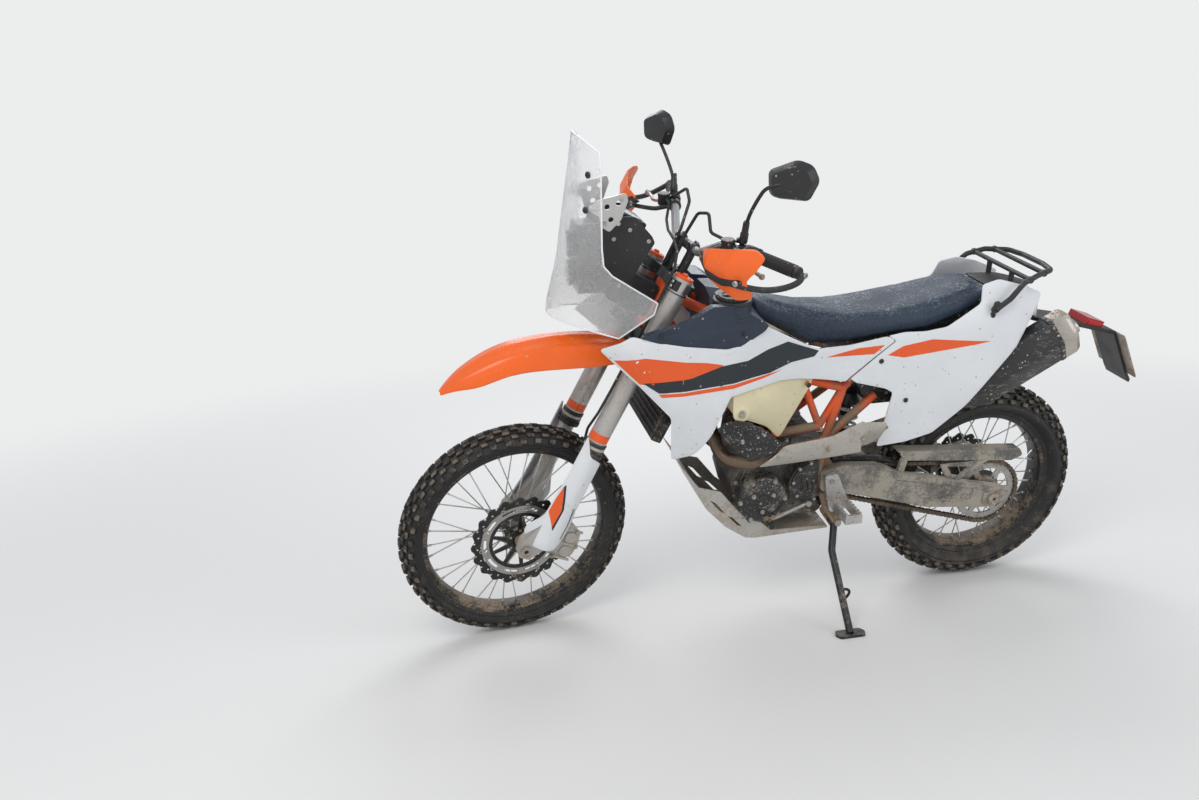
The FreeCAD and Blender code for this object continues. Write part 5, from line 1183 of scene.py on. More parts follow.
# Stripes on the side panels: name, finish, lift, outline
STRIPES = [("wedge", "flash_orange", 0.5, [(262, 938), (343, 946), (515, 917), (566, 903), (492, 862), (395, 868),
    (330, 868)]), ("band", "flash_dark", 0.9, [(338, 872), (470, 878), (560, 900), (640, 905), (700, 930), (762, 943),
    (863, 901), (849, 886), (776, 880), (710, 859), (657, 853), (599, 844), (381, 842)]),
    ("underline", "flash_orange", 0.5, [(381, 838), (599, 840), (660, 849), (747, 862), (693, 846), (600, 828),
    (388, 829)]), ("dash", "flash_orange", 0.5, [(888, 877), (984, 896), (1066, 899), (1036, 874)])]
REAR_STRIPES = [("flank", "flash_orange", 0.5, [(1078, 867), (1125, 892), (1212, 906), (1398, 886), (1129, 856)])]


def mirrored_panel(left, body, finish, node, **kept):
    """Sets a left panel and its mirror image in place of the two nodes."""
    right = copied(left, MIRROR)
    name = left.name
    left.name, right.name = name + "_left", name + "_right"
    nodes = (node + "_left",), (node + "_right",)
    settle(left, body, finish, replaces=nodes[0] if node else (), **kept)
    settle(right, body, finish, replaces=nodes[1] if node else (), **kept)


def panels(sizes):
    """The shrouds and the rear panels with their stripes, on both sides."""
    mirrored_panel(curved_panel("shroud_shell", SHROUD, shroud_surface, sizes.panel / MM, 8.0, 1.4, 22.0), "chassis",
        "white_plastic", "shroud")
    mirrored_panel(curved_panel("rear_shell", REAR_PANEL, rear_surface, sizes.panel / MM, 8.0, 1.4, 24.0), "chassis",
        "white_plastic", "rear_panel")
    for rows, surface, label in ((STRIPES, shroud_surface, "shroud"), (REAR_STRIPES, rear_surface, "rear")):
        for name, finish, lift, outline in rows:
            strip = curved_panel(label + "_" + name, outline, lambda x, z: surface(x, z) + lift, lift + 0.4, 2.0, 0.0,
                16.0)
            mirrored_panel(strip, "chassis", finish, "")


FILLER_AT = (603, -146)


def tank():
    """The lobes of the lower tank, its guards and bolts, the tank's wings, neck and cap."""
    lobe = curved_panel("tank_lobe", LOWER_TANK, tank_surface, 80.0, 16.0, 9.0, 20.0, 4)
    bridge = side_plate("bridge", [(602, 928), (858, 880), (854, 850), (602, 870)], -128, 128, 6.0, 3.0)
    settle(joined("lower_tank_lobes", [lobe, copied(lobe, MIRROR), bridge]), "chassis", "tank_plastic",
        replaces=("lower_tank",), smooth=50)
    guard = curved_panel("tank_guards", LOWER_GUARD, guard_surface, 70.0, 12.0, 5.0, 16.0, 3)
    settle(both_sides("tank_guards", guard), "chassis", "muddy_plastic", replaces=("lower_guards",), smooth=32)
    seat = turned("boss", [(0, 0), (24, 0), (23, 4), (15, 6), (14, 3), (0, 3)], (629, -side_y(629) + 7, 743),
        (0, -1, 0), 32)
    settle(both_sides("tank_boss", seat), "chassis", "tank_plastic", smooth=40)
    bolt = bolts("tank_bolt", hex_bolt(8, 6), [((629, -side_y(629) + 3, 743), (0, -1, 0))])
    settle(both_sides("tank_bolts", bolt), "chassis", "axle_steel")
    wing = curved_panel("wing", TANK_WING, wing_surface, 10.0, 6.0, 3.0, 18.0, 3)
    settle(both_sides("tank_wings", wing), "chassis", "navy_plastic", smooth=40)
    neck = [(50, -52), (54, -50), (52, -10), (48, 0), (48, 14), (51, 18), (51, 26), (49, 28), (49, 31), (53, 33),
        (53, 60), (50, 62), (36, 62), (34, 60)]
    settle(turned("filler_neck", neck, (*FILLER_AT, 1000), Z, 64), "chassis", "navy_plastic", smooth=40)
    cap = [(0, 0), (53, 0), (54, 2), (54, 10), (52, 12), (44, 12), (43, 10), (41, 10), (40, 12), (40, 19), (38, 22),
        (30, 22), (28, 20), (0, 20)]
    body = turned("cap", cap, (*FILLER_AT, 1060), Z, 72)
    rib = side_plate("rib", [(-3, 12), (-2, 20), (2, 20), (3, 12)], -1.6, 1.6, 0.0, 0.5)
    rib.data.transform(Matrix.Translation((FILLER_AT[0], FILLER_AT[1] - 40.5, 1060)))
    ribs = around(rib, Vector((*FILLER_AT, 1060)), 24, axis=Z)
    handle = plate("handle", [Vector((FILLER_AT[0] + x, FILLER_AT[1] + y, 1080)) for x,
        y in ((-30, -6), (30, -6), (30, 6), (-30, 6))], Vector((0, 0, 4)), 4.0, 1.0)
    settle(joined("filler_cap_body", [body, handle] + ribs), "chassis", "black_plastic", replaces=("filler_cap",),
        smooth=35)


# Front fender: the cross-section as shares of the half width and of the rise
FENDER = [(-204, 842, 12, 834), (-160, 885, 40, 858), (-103, 922, 62, 862), (-20, 957, 72, 900), (100, 969, 76, 897),
    (235, 962, 76, 884), (330, 938, 66, 884), (402, 906, 50, 880)]
FENDER_ACROSS = [(0.0, 1.0), (0.12, 0.985), (0.22, 0.93), (0.42, 0.87), (0.62, 0.83), (0.74, 0.74), (0.86, 0.46),
    (0.90, 0.40), (0.97, 0.2), (1.0, 0.0)]


def fender(sizes):
    """The front fender, and its seat under the lower clamp."""
    rows = []
    for x, top, half, edge in FENDER:
        right = [Vector((x, half * u, edge + (top - edge) * v)) for u, v in FENDER_ACROSS]
        rows.append([Vector((p.x, -p.y, p.z)) for p in reversed(right[1:])] + right)
    sheet = skin("fender_beak", rows)
    if sum(p.normal.z for p in sheet.data.polygons) < 0:
        sheet.data.flip_normals()
    modified(sheet, "SOLIDIFY", thickness=sizes.fender / MM, offset=-1)
    subdivided(sheet, 2)
    settle(sheet, "steering", "orange_plastic", replaces=("front_fender",), smooth=45)
    seat = plate("fender_seat", [at_fork(1030, n, y) for n, y in ((-46, -34), (30, -34), (30, 34), (-46, 34))],
        AXIS_DIR * 22, 6.0, 2.0)
    settle(seat, "steering", "black_plastic", replaces=("front_fender",))


# Windshield: height and how far its edge drops below that, x at the middle and at the edge, half width
WINDSHIELD = [(1508, 29, 196, 234, 146), (1440, 10, 188, 236, 152), (1384, 0, 179, 236, 154), (1235, 0, 156, 236, 160),
              (1190, 0, 150, 240, 163), (1164, 0, 144, 262, 168), (1087, 0, 124, 380, 186), (1055, 0, 116, 372, 182),
              (1023, 40, 112, 284, 150)]


def screen_row(z, drop, middle, edge, half):
    return [Vector((middle + (edge - middle) * u * u, half * u, z - drop * u * u))
        for u in [-1 + i / 12 for i in range(25)]]


def windshield(sizes):
    """The clear sheet, bent at its sides, with its bright cut edge and its knobs."""
    rows = [screen_row(*values) for values in WINDSHIELD]
    sheet = skin("screen_sheet", rows)
    if sum(p.normal.x for p in sheet.data.polygons) > 0:
        sheet.data.flip_normals()
    modified(sheet, "SOLIDIFY", thickness=sizes.screen / MM, offset=-1)
    settle(sheet, "chassis", "clear_screen", replaces=("windshield",), smooth=24)
    border = rows[0] + [row[-1] for row in rows[1:]] + rows[-1][-2::-1] + [row[0] for row in rows[-2:0:-1]]
    border = [p + Vector((1.6, 0, 0)) for p in border]
    settle(tube("screen_edge", border, 2.3, closed=True, order=2, steps=1), "chassis", "screen_rim", smooth=60)
    knobs = []
    for z in (1330, 1420):
        drop, middle, edge, half = along_table(WINDSHIELD[::-1], z)
        x = middle + (edge - middle) * (116 / half) ** 2
        knobs.append(((x - 1, -116, z), (-0.86, -0.5, 0)))
    settle(both_sides("screen_knobs", bolts("knobs", socket_bolt(9, 6), knobs)), "chassis", "black_plastic")


SEAT = [(705, 985, 1040, 62), (770, 950, 1012, 88), (860, 897, 990, 104), (975, 897, 974, 122), (1090, 916, 978, 134),
    (1210, 924, 994, 136), (1330, 962, 1016, 124), (1415, 1003, 1030, 92)]


def seat(sizes):
    """The padded saddle, blown up a little as cloth over its foam."""
    rows = []
    for i in range(15):
        x = 705 + (1415 - 705) * i / 14
        low, top, half = along_table(SEAT, x)
        rise = top - low
        half -= 3
        shares = [(0, 0), (0.9, 0), (1.0, 0.12), (1.0, 0.5), (0.93, 0.78), (0.74, 0.93), (0.4, 0.985), (0, 0.99)]
        right = [Vector((x, half * u, low + rise * v)) for u, v in shares]
        left = [Vector((p.x, -p.y, p.z)) for p in reversed(right[1:-1])]
        rows.append(right + left)
    pad = skin("saddle", rows, closed=True, caps=True)
    pad.data.transform(PLACES["chassis"])
    modified(pad, "REMESH", mode="VOXEL", voxel_size=0.006)
    start = [v.co.copy() for v in pad.data.vertices]
    pick(pad)
    bpy.ops.object.modifier_add(type="CLOTH")
    cloth = pad.modifiers[-1]
    cloth.settings.use_pressure = True
    cloth.settings.uniform_pressure_force = 4.0
    cloth.settings.effector_weights.gravity = 0.0
    cloth.settings.quality = 5
    cloth.point_cache.frame_start, cloth.point_cache.frame_end = 1, 20
    for frame_number in range(1, 21):
        bpy.context.scene.frame_set(frame_number)
    bpy.ops.object.modifier_apply(modifier=cloth.name)
    for vertex, before in zip(pad.data.vertices, start):
        moved = vertex.co - before
        if moved.length > sizes.seat_swell:
            vertex.co = before + moved.normalized() * sizes.seat_swell
    subdivided(pad, 1)
    settle(pad, "chassis", "seat_cover", replaces=("seat",), smooth=60, place=False)


# Laid pieces: curved_panel's x, y and z taken to the fork's t, y and n, or to the front

FORK = Matrix((AXIS_DIR, Y, AXIS_BACK)).transposed().to_4x4()
FORK.translation = AXIS_FOOT
FRONT = Matrix(((0, 1, 0, 600), (-1, 0, 0, 0), (0, 0, 1, 0), (0, 0, 0, 1)))


def laid(obj, matrix):
    obj.data.transform(matrix)
    if matrix.determinant() < 0:
        obj.data.flip_normals()
    return obj


LEFT = Vector((0, -1, 0))

# Fork

GUARD = [(757, -62), (704, -34), (690, 14), (650, 16), (528, 18), (463, 38), (396, 30), (384, -6), (382, -60),
    (404, -88), (430, -88), (486, -66), (608, -62)]


def guard_face(t, n):
    """The fork guard's outer face: wrapped round the leg, sunk behind a crease."""
    y = 137 - 0.0105 * (n + 20) ** 2
    y -= 3.5 * min(1.0, max(0.0, beyond(t, n, (740, -26), (400, 10)) * -0.14))
    return y - 0.05 * soft_step(440 - t, 30)


def fork_parts():
    """Guards with their flashes, wipers, bands, caps and bolts of both legs."""
    shell = curved_panel("guard", GUARD, guard_face, 3.6, 9.0, 1.2, 12.0)
    slot = plate("slot", [Vector((t, -160, n)) for t, n in ((536, 8), (470, 22), (424, 18), (428, 11), (470, 14),
        (532, 1))], Vector((0, 80, 0)), 2.0)
    cut_by(shell, outward(slot))
    settle(both_sides("fork_guard_shells", laid(shell, FORK)), "steering", "white_plastic", replaces=("fork_guards",),
        smooth=45)
    flash = [("flash", "flash_orange", 0.7, [(590, -57), (548, -61), (500, -62), (462, -36), (520, -34), (552, -44)]),
        ("flash_edge", "flash_dark", 0.5, [(598, -54), (552, -38), (524, -29), (452, -30), (462, -37), (520, -36),
        (550, -46), (586, -58)])]
    for name, finish, lift, outline in flash:
        strip = curved_panel("fork_" + name, outline, lambda t, n: guard_face(t, n) + lift, lift + 0.3, 2.0, 0.0, 9.0)
        settle(both_sides("fork_" + name, laid(strip, FORK)), "steering", finish)
    base = at_fork(700, -20, -102)
    clamp = turned("clamp", [(28, 0), (33.5, 0), (34.5, 1), (34.5, 11), (33.5, 12), (28, 12)], base, AXIS_DIR, 40)
    ear = fork_plate("ear", [(701, -60), (711, -60), (711, -50), (701, -50)], -108, -96, 2.0, 1.0)
    settle(both_sides("fork_guard_clamps", joined("clamps", [clamp, ear])), "steering", "black_plastic")
    wiper = turned("wiper", [(24.2, 0), (30, 0), (32.4, 3), (32.8, 12), (31, 14), (31, 20), (32.6, 22), (32.6, 30),
        (29.2, 33), (24.2, 33)], at_fork(712, -20, -102), AXIS_DIR, 40)
    settle(both_sides("fork_wipers", wiper), "steering", "black_plastic")
    band = turned("band", [(28.9, 0), (29.5, 0), (29.5, 24), (28.9, 24)], at_fork(750, -20, -102), AXIS_DIR, 40)
    settle(both_sides("fork_bands", band), "steering", "flash_orange")
    cap = turned("cap", [(0, 0), (27, 0), (27.5, 1), (27.5, 6), (26, 8), (20, 8), (19, 9), (9, 9), (8, 8), (8, 14),
        (7, 15), (0, 15)], at_fork(1266, -20, -102), AXIS_DIR, 40)
    settle(both_sides("fork_caps", cap), "steering", "flash_orange")
    places = []
    for t in (1060, 1078, 1238, 1251):
        places.append((at_fork(t, -53, -118), -AXIS_BACK))
    places += [(at_fork(t, -29, -109), -AXIS_BACK) for t in (348, 372)]
    places += [(at_fork(t, 2, -118), LEFT) for t in (470, 492)]
    bolted = bolts("fork_bolts", socket_bolt(5.5, 5), places)
    settle(both_sides("fork_bolts", bolted), "steering", "axle_steel")
    grooves = [turned("ring", [(29, 0), (30.6, 0), (30.6, 3), (29, 3)], at_fork(t, -20, -102), AXIS_DIR, 40)
        for t in (1040, 1222)]
    settle(both_sides("fork_rings", joined("rings", grooves)), "steering", "clamp_alloy")


def caliper():
    """The brake caliper's housing behind the leg, its pistons, bridge bolts and hose joint."""
    body = fork_plate("housing", [(352, 22), (462, 16), (468, 52), (446, 88), (410, 98), (368, 96), (346, 66)], -92,
        -70, 8.0, 3.0)
    pistons = [body]
    for t, n in ((378, 66), (426, 62)):
        pistons.append(turned("piston", [(0, 0), (19, 0), (19, 4), (17, 6), (13, 6), (12, 5), (0, 5)],
            at_fork(t, n, -91), LEFT, 32))
    pistons += [fork_plate("rib", [(t, 24), (t + 7, 24), (t + 7, 92), (t, 92)], -97, -89, 2.0, 1.5)
        for t in (350, 399, 447)]
    settle(joined("caliper_housing", pistons), "steering", "fork_alloy", smooth=40)
    places = [(at_fork(t, n, -96), LEFT) for t, n in ((354, 32), (452, 28), (403, 90), (452, 70))]
    settle(bolts("caliper_bolts", hex_bolt(6, 6), places), "steering", "axle_steel")
    settle(bar("banjo", at_fork(470, 38, -88), at_fork(470, 38, -70), 8, 1.0, 20), "steering", "axle_steel")
    pads = fork_plate("pads", [(372, 26), (450, 26), (450, 76), (372, 76)], -70.5, -64.6, 2.0, 0.8)
    settle(pads, "steering", "black_cover")


# Handlebar, controls and mirrors

BAR_INNER, BAR_OUTER = Vector((548, 168, 1243)), Vector((634, 405, 1236))


def bar_point(share, side=-1):
    """A point on the handlebar's outer straight."""
    p = BAR_INNER + (BAR_OUTER - BAR_INNER) * share
    return Vector((p.x, side * p.y, p.z))


def grip_profile(length):
    rows = [(12.1, 0), (19, 0), (21, 1.5), (21, 5), (18, 7)]
    count = int((length - 16) / 5)
    for i in range(count):
        start = 8 + i * 5
        rows += [(16.2, start), (17.3, start + 1), (17.3, start + 3.6), (16.2, start + 4.6)]
    return rows + [(17, length - 6), (17, length - 1), (16, length), (12.1, length)]


def controls(sizes):
    """Grips, perches, levers, the brake's reservoir and the bar's end plugs."""
    grips, plugs, perches, levers = [], [], [], []
    for side in (-1, 1):
        start, end = bar_point(0.45, side), bar_point(0.97, side)
        along = (end - start).normalized()
        grips.append(turned("grip", grip_profile((end - start).length), start, along, 40))
        plugs.append(turned("plug", [(0, 0), (15, 0), (16, 2), (16, 10), (14, 13), (0, 13)], end, along, 32))
        perch = turned("perch", [(12.1, 0), (18, 0), (19, 1), (19, 23), (18, 24), (12.1, 24)], bar_point(0.24, side),
            along, 32)
        switch = turned("switch", [(12.1, 0), (19, 0), (21, 2), (21, 30), (19, 33), (12.1, 33)], bar_point(0.31, side),
            along, 32)
        pivot = bar_point(0.28, side) + Vector((-26, 0, 0))
        arm = bar("arm", bar_point(0.28, side), pivot, 9, 2.0, 20)
        hinge = bar("hinge", pivot - Z * 10, pivot + Z * 10, 10, 1.5, 24)
        perches += [perch, switch, arm, hinge]
        reach = [pivot, pivot + Vector((-18, side * 16, -2)), bar_point(0.5, side) + Vector((-66, 0, -7)),
            bar_point(0.72, side) + Vector((-66, 0, -10)), bar_point(0.9, side) + Vector((-78, 0, -10))]
        levers.append(tube("lever", reach, sizes.lever / MM, steps=12))
        at_rest()
        bpy.ops.mesh.primitive_uv_sphere_add(segments=16, ring_count=10, radius=8, location=reach[-1])
        levers.append(pick(bpy.context.object))
        applied()
        cup = bar_point(0.2, side) + Vector((-34, 0, -4))
        perches.append(turned("cup", [(0, 0), (15, 0), (17, 2), (17, 28), (0, 28)], cup, Z, 32))
        perches.append(turned("lid", [(0, 28), (18.5, 28), (18.5, 33), (17, 35), (0, 35)], cup, Z, 32))
    settle(joined("grips", grips), "steering", "grip_rubber", replaces=("hand_controls",), smooth=30)
    settle(joined("bar_end_plugs", plugs), "steering", "black_plastic", replaces=("hand_controls",))
    settle(joined("perches", perches), "steering", "clamp_alloy", replaces=("hand_controls",))
    settle(joined("levers", levers), "steering", "axle_steel", replaces=("hand_controls",), smooth=60)
    clamps = [side_plate("riser", [(500, 1176), (530, 1176), (530, 1206), (500, 1206)], y - 13, y + 13, 6.0, 2.0)
        for y in (-42, 42)]
    settle(joined("bar_clamps", clamps), "steering", "clamp_alloy")
    places = [((515 + dx, y + dy, 1206), Z) for y in (-42, 42) for dx in (-10, 10) for dy in (-7, 7)]
    settle(bolts("bar_clamp_bolts", socket_bolt(4, 4), places), "steering", "axle_steel")
    pad = bar("pad", (515, -36, 1190), (515, 36, 1190), 13.5, 3.0, 32)
    settle(pad, "steering", "black_plastic")


HAND_PLAN = [(205, 490), (232, 448), (292, 430), (372, 452), (430, 520)]


def hand_face(y, z):
    """The hand shield's front, in front of x = 600: facets above and below a ridge that runs outwards."""
    x, = along_table(HAND_PLAN, y)
    out = 600 - x - 0.55 * soft_step(beyond(y, z, (268, 1252), (430, 1262)), 6)
    return out - 0.45 * soft_step(beyond(y, z, (430, 1246), (268, 1236)), 6)


def hand_shields():
    """The shields with their dark inserts, and the bows round the grips to the bar's ends."""
    outline = [(236, 1262), (300, 1284), (402, 1310), (426, 1292), (422, 1258), (400, 1222), (404, 1180), (376, 1168),
        (322, 1186), (252, 1226)]
    shell = curved_panel("shield", outline, hand_face, 4.0, 9.0, 1.4, 8.0)
    settle(both_sides("hand_shields", laid(shell, FRONT)), "steering", "orange_plastic", replaces=("handguards",),
        smooth=30)
    inset = [(222, 1252), (252, 1262), (296, 1230), (340, 1220), (396, 1230), (394, 1214), (340, 1198), (284, 1206),
        (240, 1232)]
    trim = curved_panel("trim", inset, lambda y, z: hand_face(y, z) + 1.6, 2.6, 5.0, 0.6, 8.0)
    settle(both_sides("hand_shield_trims", laid(trim, FRONT)), "steering", "black_plastic", smooth=30)
    arms = [tube("arm", [bar_point(0.07) + Vector((-8, 0, 0)), bar_point(0.07) + Vector((-40, -4, -4)),
        bar_point(0.07) + Vector((-66, -8, -8)), Vector((452, -262, 1230))], 6.5, steps=10),
        bar("collar", bar_point(0.02), bar_point(0.12), 18, 1.5, 32), tube("bow",
        [(470, -372, 1214), (500, -396, 1208), (545, -416, 1203), (590, -430, 1210), (622, -434, 1222),
        (635, -426, 1232), (635, -420, 1238)], 8.0, steps=10)]
    settle(both_sides("hand_shield_arms", joined("arms", arms)), "steering", "black_plastic", replaces=("handguards",))
    places = [((445, -248, 1240), (-1, 0, 0)), ((468, -398, 1224), (-1, -0.4, 0))]
    end = (BAR_OUTER - BAR_INNER).normalized()
    tip = bar_point(1.0) + Vector((end.x, -end.y, end.z)) * 22
    places.append((tip, Vector((end.x, -end.y, end.z))))
    settle(both_sides("hand_shield_bolts", bolts("bolts", socket_bolt(8, 5), places)), "steering", "axle_steel")


#          side  stem route, straight ahead, right side                                       head             turn
MIRRORS = [(-1, [(566, 232, 1262), (566, 245, 1330), (568, 286, 1392), (576, 318, 1438)], (630, 345, 1446), 48),
    (1, [(566, 222, 1262), (568, 232, 1310), (564, 300, 1370), (556, 328, 1400)], (552, 330, 1432), 18)]
MIRROR_FACE = [(-64, 10), (-44, 46), (-4, 56), (66, 22), (60, -38), (38, -46), (-42, -44)]


def mirrors(sizes):
    """The mirrors' shells, glasses, stems, boots and nuts."""
    shells, glasses, stems = [], [], []
    for side, route, centre, turn in MIRRORS:
        place = Matrix.Translation(Vector((centre[0], side * centre[1],
            centre[2]))) @ Matrix.Rotation(math.radians(turn), 4, "Z")
        shell = plate("shell", [Vector((12, y, z)) for y, z in MIRROR_FACE], Vector((-24, 0, 0)), 12.0)
        for vertex in shell.data.vertices:
            if vertex.co.x < 0:
                vertex.co.y *= 0.78
                vertex.co.z *= 0.78
        shells.append(laid(beveled(shell, 3.0, 3, 30), place))
        glass = plate("glass", [Vector((12.6, y * 0.9, z * 0.9)) for y, z in MIRROR_FACE], Vector((-3, 0, 0)), 10.0,
            0.4)
        glasses.append(laid(glass, place))
        points = [bar_point(0.2, 1) + Vector((0, 0, 6))] + [Vector(p) for p in route]
        head = Vector(centre)
        points.append(points[-1] + (head - points[-1]) * 0.7)
        stems.append(tube("stem", [Vector((p.x, side * p.y, p.z)) for p in points], sizes.mirror_stem / MM, steps=12))
        foot, low, high = bar_point(0.2, side), Vector(route[0]), Vector(route[1])
        low.y, high.y = side * low.y, side * high.y
        boot = [(0, 0), (10, 0), (11, 2), (11, 26), (9, 29), (8.5, 56), (7, 60), (0, 60)]
        stems.append(turned("boot", boot, low + (high - low) * 0.05, high - low, 24))
        stems.append(turned("nut", [(5, 0), (9, 0), (10, 1), (10, 11), (9, 12), (5, 12)], foot + Vector((0, 0, 18)), Z,
            6))
    settle(joined("mirror_shells", shells), "steering", "mirror_shell", replaces=("mirrors",), smooth=40)
    settle(joined("mirror_stems", stems), "steering", "mirror_shell", replaces=("mirrors",), smooth=60)
    settle(joined("mirror_glasses", glasses), "steering", "mirror_face", replaces=("mirrors",))


# Front of the chassis

def lamps():
    """Both lamps with their bowls, glasses and rims, the instrument's face and the tower's bolts."""
    ahead = Vector((-1, 0, 0))
    bowls, glasses, rims = [], [], []
    for z in (1132, 1212):
        at = (184, 0, z)
        bowls.append(turned("bowl", [(0, 0.3), (26, 0.3), (31, 3), (31, 0.1), (0, 0.1)], at, ahead, 48))
        dome = [(31, 2), (30, 6), (26, 10), (18, 13), (9, 14.6), (0, 15), (0, 13.4), (18, 11.4), (25, 8.6), (29, 4.8),
            (30, 2)]
        glasses.append(turned("glass", dome, at, ahead, 48))
        rims.append(turned("rim", [(31, 0), (36, 0), (37, 2), (36, 7), (33, 8), (31, 6)], at, ahead, 48))
    settle(joined("lamp_bowls", bowls), "chassis", "reflector", smooth=50)
    settle(joined("lamp_glasses", glasses), "chassis", "lamp_glass", smooth=60)
    settle(joined("lamp_rims", rims), "chassis", "lamp_unit", smooth=40)
    tilt = Vector((0.44, 0, 0.9)).normalized()
    run = Vector((0.9, 0, -0.44))
    corner = Vector((321, -48, 1299))
    screen = plate("instrument_face", [corner, corner + Vector((0, 96, 0)), corner + Vector((0, 96, 0)) + run * 58,
        corner + run * 58], tilt * 2.0, 6.0, 0.6)
    settle(screen, "chassis", "lamp_unit")
    places = [((x, -84, z), LEFT) for x, z in ((262, 1290), (382, 1228), (300, 1112), (330, 1262), (286, 1240))]
    settle(both_sides("tower_bolts", bolts("bolts", socket_bolt(6, 4), places)), "chassis", "axle_steel")
    holders = [((x, -114, z), LEFT) for x, z in ((300, 1352), (256, 1290))]
    settle(both_sides("bracket_bolts", bolts("bolts", hex_bolt(5, 5), holders)), "chassis", "axle_steel")


def panel_bolts():
    """Screws that hold the panels, the wings and the tail."""
    spots = [(side_y, 0.5, (560, 850)), (side_y, 0.5, (838, 800)), (lambda x: wing_surface(x, 985), 0, (620, 985)),
        (lambda x: wing_surface(x, 1003), 0, (386, 1003)), (lambda x: wing_surface(x, 1052), 0, (560, 1050)),
        (lambda x: rear_surface(x, 850), 0, (1060, 850)), (lambda x: rear_surface(x, 965), 0, (1392, 965)),
        (lambda x: rear_surface(x, 720), 0, (1150, 720)), (lambda x: guard_surface(x, 690), 0, (640, 690))]
    places = [((x, -(reach(x) + lift - 0.6), z), LEFT) for reach, lift, (x, z) in spots]
    settle(both_sides("panel_bolts", bolts("bolts", socket_bolt(7.5, 4), places)), "chassis", "black_plastic")


# Engine and exhaust

SHIELD = [(694, 562), (773, 621), (914, 638), (1020, 675), (1084, 668), (1075, 604), (1045, 581), (826, 566)]


def shield_face(x, z):
    """The heat shield: upright below its bend, leaning in above it."""
    y = 186 - 0.55 * soft_step(beyond(x, z, (1084, 650), (1011, 645)) if x > 1011 else 0, 4)
    y -= 0.55 * soft_step(beyond(x, z, (1011, 645), (767, 599)) * -1 if x <= 1011 else 0, 4)
    return y - 0.30 * soft_step(585 - z, 10)


def exhaust():
    """The heat shield with its stays and bolts, and the pipe's clamps."""
    shield = curved_panel("heat_shield_sheet", SHIELD, shield_face, 2.0, 10.0, 0.6, 12.0)
    settle(shield, "chassis", "shield_metal", replaces=("heat_shield",), smooth=30)
    stays = [bar("stay", (x, -183, z), (x, -160, z), 8, 1.0, 20) for x, z in ((752, 588), (1011, 622))]
    settle(joined("heat_shield_stays", stays), "chassis", "exhaust_steel", replaces=("heat_shield",))
    places = [((x, -185.6, z), LEFT) for x, z in ((752, 588), (1011, 622), (905, 600))]
    settle(bolts("heat_shield_bolts", hex_bolt(6, 4), places), "chassis", "axle_steel")
    bands = []
    for a, b in (((1200, -116, 650), (1318, -105, 672)), ((950, -152, 606), (1080, -130, 628))):
        run = (Vector(b) - Vector(a)).normalized()
        start = Vector(a) + run * 70
        bands.append(turned("band", [(20, 0), (23, 0), (23, 14), (20, 14)], start, run, 36))
        bands.append(bar("screw", start + run * 7 + Vector((0, -26, -12)), start + run * 7 + Vector((0, -26, 12)), 4,
            0.6, 12))
    settle(joined("exhaust_bands", bands), "chassis", "axle_steel")


CAN_FRONT, CAN_END = Vector((1318, -105, 672)), Vector((1698, -105, 882))
CAN_RUN = (CAN_END - CAN_FRONT).normalized()
CAN_UP = Vector((-CAN_RUN.z, 0, CAN_RUN.x))
CAN_FLAT = [(1.0, -0.5), (1.0, 0.5), (0.12, 1), (-0.12, 1), (-1.0, 0.5), (-1.0, -0.5), (-0.12, -1), (0.12, -1)]


def can_row(along, scale, grow=0.0):
    centre = CAN_FRONT + CAN_RUN * along
    high, wide = 70 * scale + grow, 46 * scale + grow
    return [centre + CAN_UP * (h * high) + Y * (w * wide) for h, w in CAN_FLAT]


